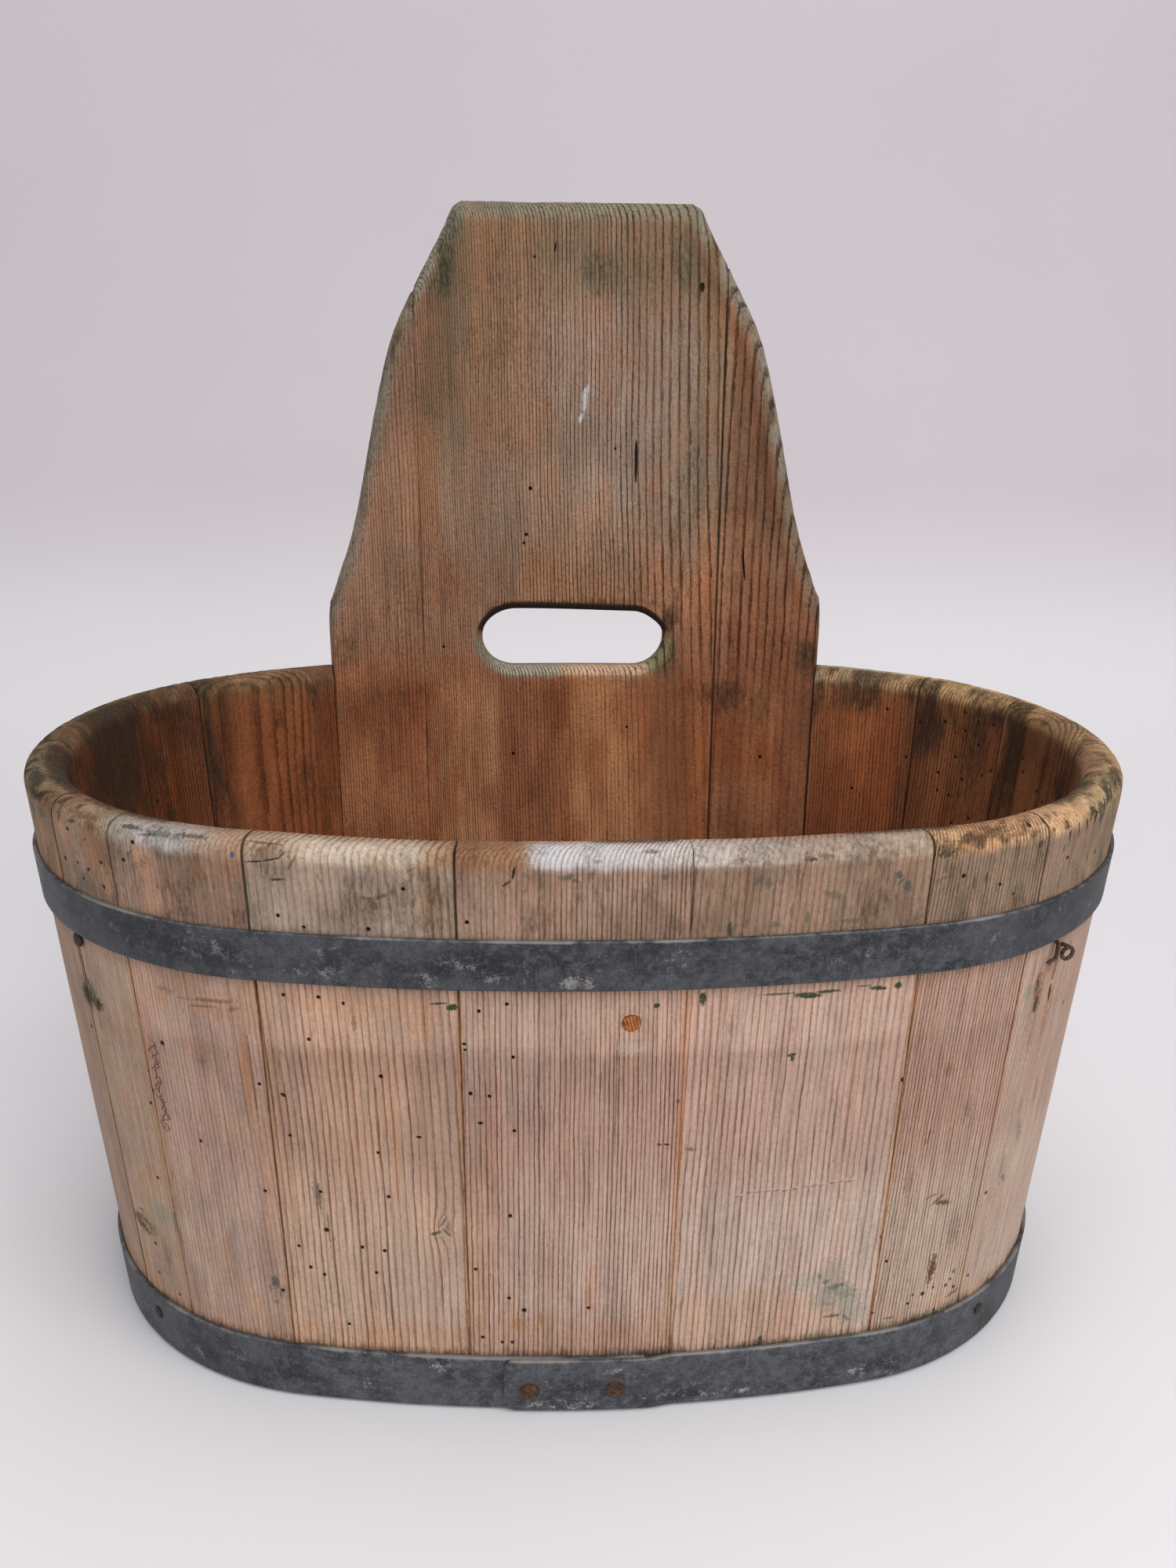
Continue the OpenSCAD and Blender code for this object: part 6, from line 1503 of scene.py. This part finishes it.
def hoop(name, z0, w, start, end, ramp, seed, tone, nails=(), specks=()):
    """One strip that starts flat on the wood at arc position start, runs left all
    the way round and ends over its own start at arc position end."""
    total = (start - end) + 2 * HALF
    n = int(total / 2.2)
    s = np.linspace(0, total, n)
    dense = np.r_[total - np.array([0.0, 0.15, 0.4, 0.8, 1.3, 2.0, 2.8, 3.7, 4.8, 6.0])]
    s = np.unique(np.r_[s[s < total - 7], dense, [0.0]])
    u = start - s
    left = total - s
    lift = 0.05 + (HOOP + 0.03) * smooth(2 * HALF - ramp, 2 * HALF - 1.0, s)
    # section: round the strip, outer face first
    k = 9
    q = np.linspace(0, 1, k)
    sec = [(0.0, 1.0, 0.10)] + [(a, 1.0, 1.0) for a in q] + [(1.0, 1.0, 0.10)]
    prof = []
    ed = 0.35
    prof += [(0.0, 0.0 + ed, 0), (0.0, HOOP - ed, 0)]
    rows = []
    # each row: share of the width, depth out of the wood, tag
    rows.append((0.0, 0.0))
    rows.append((0.0, HOOP * 0.5))
    rows.append((0.0, HOOP - ed))
    rows.append((0.010, HOOP - ed * 0.3))
    rows.append((0.024, HOOP))
    for a in np.linspace(0.08, 0.92, k):
        rows.append((a, HOOP))
    rows.append((0.976, HOOP))
    rows.append((0.990, HOOP - ed * 0.3))
    rows.append((1.0, HOOP - ed))
    rows.append((1.0, HOOP * 0.5))
    rows.append((1.0, 0.0))
    rows.append((0.66, 0.0))
    rows.append((0.33, 0.0))
    rows = np.array(rows)
    m = len(rows)
    S, Q = np.meshgrid(s, rows[:, 0], indexing="ij")
    _, D = np.meshgrid(s, rows[:, 1], indexing="ij")
    U = start - S
    corner = 4.5
    cut = corner - np.sqrt(np.maximum(corner ** 2 - np.clip(corner - (total - S), 0, corner) ** 2, 0))
    zlo = z0 + cut + 0.35 * (fbm(S * 0.05, 0, 0, seed, 3) - 0.5) * smooth(0, 20, z0 + 0 * S) + 0.10
    zhi = z0 + w - cut + 0.5 * (fbm(S * 0.06, 4, 0, seed + 1, 3) - 0.5)
    Z = zlo + (zhi - zlo) * Q
    L = lift[:, None] + 0 * Q
    dent = 0.18 * (fbm(S * 0.05, Z * 0.08, 1, seed + 2, 3) - 0.5) + 0.10 * (fbm(S * 0.25, Z * 0.25, 2, seed + 3, 2) - 0.5)
    face = smooth(0.5, 1.4, D)
    out = L + D + dent * face
    x, y, nx, ny = oval_point(U, -out, Z)
    v = np.stack([x, y, Z], -1).reshape(-1, 3)
    ids = np.arange(len(s) * m).reshape(len(s), m)
    a, b2 = ids[:-1], ids[1:]
    quads = np.stack([a, np.roll(a, -1, 1), np.roll(b2, -1, 1), b2], -1).reshape(-1, 4)
    # ends: close each with a fan of triangles round its middle point
    def cap(ring, flip):
        lo = list(ring[: 5 + k + 5])
        faces = []
        outer = ring[2:5 + k + 3]
        inner_pts = [ring[0], ring[-1], ring[-2], ring[5 + k + 4]]
        c = ring
        return [list(c[::-1]) if flip else list(c)]
    # direction: s grows towards the left, so check the sign with the volume
    tri = []
    me_faces = [quads]
    for ring, flip in ((ids[0], False), (ids[-1], True)):
        c = len(v)
        v = np.vstack([v, v[ring].mean(0)])
        r2 = np.roll(ring, -1)
        t = np.c_[ring, r2, np.full(m, c)]
        tri.append(t[:, ::-1] if not flip else t)
    tris = np.concatenate(tri)
    tris = tris[:, ::-1]
    U, Z, D = np.r_[U.ravel(), U[0, 0], U[-1, 0]], np.r_[Z.ravel(), z0 + w / 2, z0 + w / 2], np.r_[D.ravel(), 0.8, 0.8]
    # volume sign
    vol = 0.0
    for f in (quads[:, [0, 1, 2]], quads[:, [0, 2, 3]], tris):
        p = v[f]
        vol += np.einsum("ij,ij->i", p[:, 0], np.cross(p[:, 1], p[:, 2])).sum()
    if vol < 0:
        quads, tris = quads[:, ::-1], tris[:, ::-1]
    un = np.mod(U + HALF, 2 * HALF) - HALF
    rust = smooth(0.62, 0.80, fbm(U * 0.05, 3, Z * 0.09, seed + 5, 4)) * 0.25
    white = smooth(0.60, 0.78, fbm(U * 0.06, 7, Z * 0.10, seed + 6, 4)) * 0.35
    rust = np.maximum(rust, smooth(z0 + 4.0, z0 + 0.5, Z) * smooth(0.45, 0.7, fbm(U * 0.09, 1, 0, seed + 7, 3)) * 0.45)
    # the strip's top edge: painted highlight where it catches the light, together with dust
    edge = smooth(z0 + w - 1.3, z0 + w - 0.3, Z) * (0.55 + 0.4 * smooth(0.4, 0.6, fbm(U * 0.05, 5, 0, seed + 11, 3)))
    for nu, nz_, r in nails:
        rust = np.maximum(rust, ell(un, Z, nu, nz_, r, r, 0, 0.6) * 0.8)
    for su, sz, ru, rz, p in specks:
        white = np.maximum(white, ell(un, Z, su, sz, ru, rz, 0, 0.5) * p)
    ob = new_object(name + "_strip", v, [quads, tris])
    set_vector(ob, "plank", np.c_[U, D, Z] * 0.001)
    set_color(ob, "m1", np.c_[rust, white, edge])
    shade = tone * (1 - 0.42 * smooth(130, 240, un)) * (1 - 0.20 * smooth(-90, -170, un)) * (0.92 + 0.16 * fbm(U * 0.03, 1, Z * 0.05, seed + 9, 3))
    set_color(ob, "tint", np.c_[shade, shade * 1.01, shade * 1.01])
    finish_piece(ob, MAT_HOOP, "hoop_metal", name)
    mod = ob.modifiers.new("sharp", "EDGE_SPLIT")
    mod.split_angle = math.radians(50)
    return ob


fa = RS * SA
hoop("lower_hoop", 1.0, 26.0, 0.20 * fa, -0.275 * fa, 14.0, 511, 1.04,
     nails=((-22.9, 12, 6.0), (12.3, 12.5, 6.0), (-LS - 0.219 * LE, 17, 4.5), (LS + 0.179 * LE, 18, 4.0)),
     specks=((-10, 4, 20, 3, 0.60), (-60, 22, 6, 3, 0.55), (30, 6, 12, 2, 0.6), (-92, 9, 5, 4, 0.55), (60, 5, 20, 2, 0.55), (10, 21, 10, 2, 0.5), (-16, 12, 3, 9, 0.5), (-150, 15, 10, 6, 0.48), (-175, 9, 8, 5, 0.5), (120, 8, 20, 3, 0.5)))
hoop("upper_hoop", 195.0, 20.0, 0.40 * fa - HALF, -0.05 * fa - HALF, 14.0, 541, 0.72,
     nails=((-4.0, 197.8, 2.6),),
     specks=((-4.5, 198.5, 7.5, 3.6, 0.80), (-36, 200.5, 7, 3.4, 0.62), (-58, 199, 6, 3.4, 0.62), (-46, 206, 9, 3, 0.50), (3, 205, 1.2, 8, 0.50), (-24, 203, 3, 6, 0.40), (30, 207, 8, 5, 0.42),
             (-100, 200, 14, 3, 0.48), (-92, 209, 8, 3, 0.40), (-140, 208, 14, 6, 0.45), (-178, 206, 10, 6, 0.40), (90, 206, 14, 5, 0.36), (150, 203, 12, 5, 0.38), (186, 207, 10, 5, 0.40), (215, 204, 8, 6, 0.45)))

# ---------------------------------------------------------------- small iron parts
def lathe(name, profile, where, out_dir, seed, wob=0.12, n=28, material=None, slot="rusty_iron"):
    """A little turned piece: profile is (radius, height), its axis along out_dir."""
    m = len(profile)
    a = np.linspace(0, 2 * math.pi, n, endpoint=False)
    P = np.array(profile)
    r = P[:, 0][:, None] * (1 + wob * (vnoise(np.cos(a) * 1.3 + seed, np.sin(a) * 1.3, P[:, 1][:, None] * 0.3, seed) - 0.5))
    hgt = P[:, 1][:, None] + wob * 1.2 * (vnoise(np.cos(a) * r + seed, np.sin(a) * r, 3.0, seed + 1) - 0.5) * (P[:, 0][:, None] > 0)
    pts = np.stack([r * np.cos(a), r * np.sin(a), hgt + 0 * a], -1).reshape(-1, 3)
    zax = np.array(out_dir) / np.linalg.norm(out_dir)
    xax = np.cross([0, 0, 1.0], zax)
    xax /= np.linalg.norm(xax)
    yax = np.cross(zax, xax)
    v = np.array(where) + pts[:, :1] * xax + pts[:, 1:2] * yax + pts[:, 2:] * zax
    ids = np.arange(m * n).reshape(m, n)
    q = np.stack([ids[:-1], np.roll(ids[:-1], -1, 1), np.roll(ids[1:], -1, 1), ids[1:]], -1).reshape(-1, 4)
    tris = []
    for ring, flip in ((ids[0], True), (ids[-1], False)):
        c = len(v)
        v = np.vstack([v, v[ring].mean(0)])
        r2 = np.roll(ring, -1)
        t = np.c_[ring, r2, np.full(n, c)]
        tris.append(t[:, ::-1] if flip else t)
    return v, [q, np.concatenate(tris)]


def wall_place(u, z, lift=0.0):
    x, y, nx, ny = oval_point(np.array([float(u)]), 0.0, np.array([float(z)]))
    nrm = np.array([nx[0] * math.cos(LEAN_A), ny[0] * math.cos(LEAN_A), -math.sin(LEAN_A)])
    return np.array([x[0], y[0], z]) + nrm * lift, nrm


def merge(name, parts, material, slot, *nodes):
    verts, quads, tris, off = [], [], [], 0
    for v, f in parts:
        verts.append(v)
        for g in f:
            g = np.asarray(g) + off
            (quads if g.shape[1] == 4 else tris).append(g)
        off += len(v)
    ob = new_object(name, np.vstack(verts), [np.concatenate(x) for x in (quads, tris) if x])
    return finish_piece(ob, material, slot, *nodes)


def rivet_profile(r, h):
    """Shank, flat seat, rim and hammered dome."""
    pts = [(1.95, 0.1), (1.95, 2 * HOOP + 0.1), (r * 0.97, 2 * HOOP + 0.12), (r, 2 * HOOP + 0.35), (r * 0.97, 2 * HOOP + 0.6)]
    for a in np.linspace(0.15, 0.95, 7):
        pts.append((r * 0.97 * math.cos(a * math.pi / 2) ** 0.8, 2 * HOOP + 0.6 + (h - 0.6) * math.sin(a * math.pi / 2)))
    return pts


parts = []
for i, (f, z) in enumerate(((-0.189, 12), (0.102, 12.5))):
    p, nrm = wall_place(f * fa, z)
    parts.append(lathe("r", rivet_profile(3.9, 1.6), p, nrm, 3 + i, 0.16))
merge("lower_hoop_rivet_heads", parts, MAT_RUST, "rusty_iron", "lower_hoop_rivets")
parts = []
for i, (f, z) in enumerate(((-0.30, 205), (-0.05, 205))):
    p, nrm = wall_place(HALF - f * fa, z)
    parts.append(lathe("r", rivet_profile(3.9, 1.6), p, nrm, 13 + i, 0.16))
merge("upper_hoop_rivet_heads", parts, MAT_RUST, "rusty_iron", "upper_hoop_rivets")


def nail_profile(r, lift, h):
    pts = [(0.4, -11.0), (1.3, -9.5), (1.35, lift), (r * 0.94, lift + 0.05), (r, lift + 0.35)]
    for a in np.linspace(0.1, 0.95, 6):
        pts.append((r * math.cos(a * math.pi / 2) ** 0.8, lift + 0.35 + (h - 0.35) * math.sin(a * math.pi / 2)))
    return pts


parts = []
for i, (u, z) in enumerate(((-LS - 0.219 * LE, 17), (LS + 0.179 * LE, 18))):
    p, nrm = wall_place(u, z)
    parts.append(lathe("n", nail_profile(2.7, HOOP + 0.1, 0.9), p, nrm, 23 + i, 0.2))
merge("lower_hoop_nail_heads", parts, MAT_NAIL, "rusty_iron", "lower_hoop_nails")
p, nrm = wall_place(-LS - 0.238 * LE, 191.6)
merge("upper_hoop_nail_head", [lathe("n", nail_profile(2.9, 0.05, 1.9), p, nrm, 33, 0.12)], MAT_NAIL, "rusty_iron", "upper_hoop_nail")


def tube(points, radius, n=12, closed=False, seed=0):
    """A wire along points (mm)."""
    P = np.array(points, float)
    # resample with Catmull-Rom
    out = []
    m = len(P)
    segs = m if closed else m - 1
    for i in range(segs):
        p0, p1, p2, p3 = P[(i - 1) % m if closed else max(i - 1, 0)], P[i], P[(i + 1) % m], P[(i + 2) % m if closed else min(i + 2, m - 1)]
        for s in np.linspace(0, 1, 7)[:-1]:
            out.append(0.5 * ((2 * p1) + (-p0 + p2) * s + (2 * p0 - 5 * p1 + 4 * p2 - p3) * s * s + (-p0 + 3 * p1 - 3 * p2 + p3) * s ** 3))
    if not closed:
        out.append(P[-1])
    C = np.array(out)
    T = np.roll(C, -1, 0) - np.roll(C, 1, 0) if closed else np.gradient(C, axis=0)
    T /= np.linalg.norm(T, axis=1, keepdims=True)
    ref = np.array([0.3, 0.2, 1.0])
    N = np.cross(T, ref)
    N /= np.linalg.norm(N, axis=1, keepdims=True)
    B = np.cross(T, N)
    a = np.linspace(0, 2 * math.pi, n, endpoint=False)
    rr = radius * (1 + 0.16 * (vnoise(np.arange(len(C))[:, None] * 0.35, np.cos(a) * 1.2, np.sin(a) * 1.2, 61 + seed) - 0.5))
    v = C[:, None, :] + rr[..., None] * (np.cos(a)[None, :, None] * N[:, None, :] + np.sin(a)[None, :, None] * B[:, None, :])
    k = len(C)
    ids = np.arange(k * n).reshape(k, n)
    nxt = np.roll(ids, -1, 0) if closed else ids[1:]
    cur = ids if closed else ids[:-1]
    q = np.stack([cur, np.roll(cur, -1, 1), np.roll(nxt, -1, 1), nxt], -1).reshape(-1, 4)
    v = v.reshape(-1, 3)
    faces = [q]
    if not closed:
        tris = []
        for ring, flip in ((ids[0], True), (ids[-1], False)):
            c = len(v)
            v = np.vstack([v, v[ring].mean(0)])
            t = np.c_[ring, np.roll(ring, -1), np.full(n, c)]
            tris.append(t[:, ::-1] if flip else t)
        faces.append(np.concatenate(tris))
    return v, faces


def wall_frame(u, z):
    """Origin and directions at a place on the wall: out, down, right."""
    p, nrm = wall_place(u, z)
    x, y, nx, ny = oval_point(np.array([float(u)]), 0.0, np.array([float(z)]))
    right = np.array([-ny[0], nx[0], 0.0])
    down = np.cross(nrm, right)
    if down[2] > 0:
        down = -down
    return p, nrm, down, right


p, o, dn, rg = wall_frame(LS + 0.187 * LE, 193.4)
hook = [p - o * 10, p - o * 3, p + o * 0.6, p + o * 1.35 + dn * 1.0, p + o * 1.45 + dn * 3.4, p + o * 1.5 + dn * 5.6 - rg * 0.3, p + o * 1.5 + dn * 6.6 - rg * 1.4, p + o * 1.45 + dn * 6.6 - rg * 3.0, p + o * 1.35 + dn * 6.9 - rg * 4.4, p + o * 1.2 + dn * 7.6 - rg * 5.2]
p, o, dn, rg = wall_frame(LS + 0.204 * LE, 190.0)
eye = [p - o * 10, p - o * 3, p + o * 1.2 - dn * 0.4]
face = 0.40 * rg + 0.60 * np.array([1.0, 0.0, 0.0])
face = face / np.linalg.norm(face)
for a in np.linspace(0.25, 1.96 * math.pi, 16):
    eye.append(p + o * 2.7 + dn * (2.5 - 2.5 * math.cos(a)) * 1.0 + face * 2.45 * math.sin(a))
merge("bent_nail_wires", [tube(hook, 0.85, seed=1), tube(eye, 0.80, seed=2)], MAT_RUST, "rusty_iron", "bent_nails")

# ---------------------------------------------------------------- plug
def plug():
    p, nrm = wall_place(0.122 * fa, 181)
    prof = [(3.3, -16.4), (3.56, -16.0), (3.57, -1.0), (3.5, -0.35), (3.2, -0.05), (2.4, 0.08), (1.4, 0.12), (0.6, 0.14)]
    v, f = lathe("plug", prof, p, nrm, 41, 0.05, n=40)
    ob = new_object("front_plug_wood", v, f)
    rel = v - p
    x, y, nx, ny = oval_point(np.array([0.122 * fa]), 0.0, np.array([181.0]))
    rx = rel @ np.array([-ny[0], nx[0], 0.0])
    dz = rel[:, 2]
    d = rel @ nrm
    set_float(ob, "ring", (rx + 0.25 * dz) / 1.15 + 3)
    set_vector(ob, "plank", np.c_[rx + 900, d, dz] * 0.001)
    rr = np.hypot(rx, dz)
    col = np.tile(lin((188, 116, 70)), (len(v), 1))
    col = mixc(col, lin((150, 84, 50)), smooth(0.4, 0.7, vnoise(rx * 0.5, dz * 0.5, 0, 77)))
    set_color(ob, "tint", col)
    set_color(ob, "m1", np.c_[smooth(2.9, 3.6, rr) * 0.85, 0 * rr, 0 * rr])
    set_color(ob, "m2", np.c_[0.9 + 0 * rr, 0.2 + 0 * rr, 0 * rr])
    finish_piece(ob, MAT_WALL, "plug_wood", "front_plug")


plug()

# the dowels are hidden inside the wood: the solids stay, with a wood of their own
def dowel_material():
    k = Tree("dowel_wood_grain")
    co = k.t.nodes.new("ShaderNodeTexCoord").outputs["Object"]
    a = k.noise(k.vmul(co, (600, 90, 600)), 1.0, 4.0, 0.6)
    base = k.mix(k.step(a, 0.35, 0.7), (0.42, 0.27, 0.16, 1), (0.26, 0.15, 0.085, 1))
    k.put(k.bsdf.inputs["Base Color"], base)
    k.put(k.bsdf.inputs["Roughness"], k.math("MULTIPLY_ADD", a, 0.2, 0.68))
    k.put(k.bsdf.inputs["Normal"], k.bump(a, 0.0002))
    return k.mat


MAT_DOWEL = dowel_material()
for nm in ("floor_dowels", "board_dowels"):
    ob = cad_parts[nm]
    ob.data.materials.clear()
    ob.data.materials.append(MAT_DOWEL)

# ---------------------------------------------------------------- stage
def stage():
    me = bpy.data.meshes.new("floor_sheet")
    prof = []
    y_back, rad = 1.40, 0.75
    for y in np.linspace(-3.0, y_back - rad, 24):
        prof.append((y, 0.0))
    for a in np.linspace(0, math.pi / 2, 20)[1:]:
        prof.append((y_back - rad + rad * math.sin(a), rad - rad * math.cos(a)))
    for z in np.linspace(rad, 3.2, 14)[1:]:
        prof.append((y_back, z))
    xs = np.linspace(-3.2, 3.2, 9)
    v = [(x, y, z - 0.0002) for y, z in prof for x in xs]
    n = len(xs)
    f = [(j * n + i, j * n + i + 1, (j + 1) * n + i + 1, (j + 1) * n + i) for j in range(len(prof) - 1) for i in range(n - 1)]
    me.from_pydata(v, [], f)
    for p in me.polygons:
        p.use_smooth = True
    ob = bpy.data.objects.new("floor_sheet", me)
    bpy.context.scene.collection.objects.link(ob)
    k = Tree("pale_floor")
    co = k.t.nodes.new("ShaderNodeTexCoord").outputs["Object"]
    a = k.noise(co, 3.0, 3.0, 0.5)
    base = k.mix(k.step(a, 0.3, 0.7), (0.83, 0.82, 0.84, 1), (0.85, 0.84, 0.86, 1))
    hx, hy, hz = k.xyz(co)
    # painted shade: the upright part of the sheet is darker than the floor
    k.put(k.bsdf.inputs["Base Color"], k.mix(k.step(hz, 0.0, 0.24), base, k.mix(1.0, base, (0.775, 0.725, 0.742, 1), "MULTIPLY")))
    k.bsdf.inputs["Roughness"].default_value = 0.95
    k.bsdf.inputs["Specular IOR Level"].default_value = 0.1
    me.materials.append(k.mat)


stage()


def area(name, loc, target, size, power, color=(1, 1, 1), size_y=None):
    li = bpy.data.lights.new(name, "AREA")
    li.energy = power
    li.color = color
    li.shape = "RECTANGLE"
    li.size = size
    li.size_y = size_y or size
    ob = bpy.data.objects.new(name, li)
    ob.location = loc
    ob.rotation_mode = "QUATERNION"
    ob.rotation_quaternion = (Vector(target) - Vector(loc)).to_track_quat("-Z", "Y")
    bpy.context.scene.collection.objects.link(ob)
    return ob


area("key", (1.15, -1.55, 1.75), (0, 0, 0.15), 1.9, 36, (1.0, 0.985, 0.97))
area("fill", (-1.6, -1.2, 1.3), (0, 0, 0.15), 1.6, 9, (0.97, 0.98, 1.0))
area("top", (0.15, 0.05, 2.3), (0, 0.0, 0.1), 1.6, 12, (1, 1, 1))

world = bpy.data.worlds.new("studio")
bpy.context.scene.world = world
world.use_nodes = True
world.node_tree.nodes["Background"].inputs[0].default_value = (0.93, 0.93, 0.96, 1)
world.node_tree.nodes["Background"].inputs[1].default_value = 0.42

# ---------------------------------------------------------------- camera
yaw, pitch, roll = 0.04341, 0.31625, 0.00993
fw = Vector((math.sin(yaw) * math.cos(pitch), math.cos(yaw) * math.cos(pitch), -math.sin(pitch)))
rt = Vector((math.cos(yaw), -math.sin(yaw), 0.0))
up = rt.cross(fw)
rt2 = rt * math.cos(roll) + up * math.sin(roll)
up2 = up * math.cos(roll) - rt * math.sin(roll)
cam = bpy.data.cameras.new("camera")
cam.sensor_width = 36.0
cam.sensor_fit = "AUTO"
cam.lens = 1800.0 * 36.0 / 2000.0
cam.clip_start, cam.clip_end = 0.02, 30.0
co = bpy.data.objects.new("camera", cam)
m = Matrix((rt2, up2, -fw)).transposed().to_4x4()
m.translation = Vector((-0.02133, -0.60000, 0.41791))
co.matrix_world = m
bpy.context.scene.collection.objects.link(co)
bpy.context.scene.camera = co
bpy.context.scene.view_settings.view_transform = "Standard"

print("holes made", holes, "faces", sum(len(o.data.polygons) for o in pieces_made))
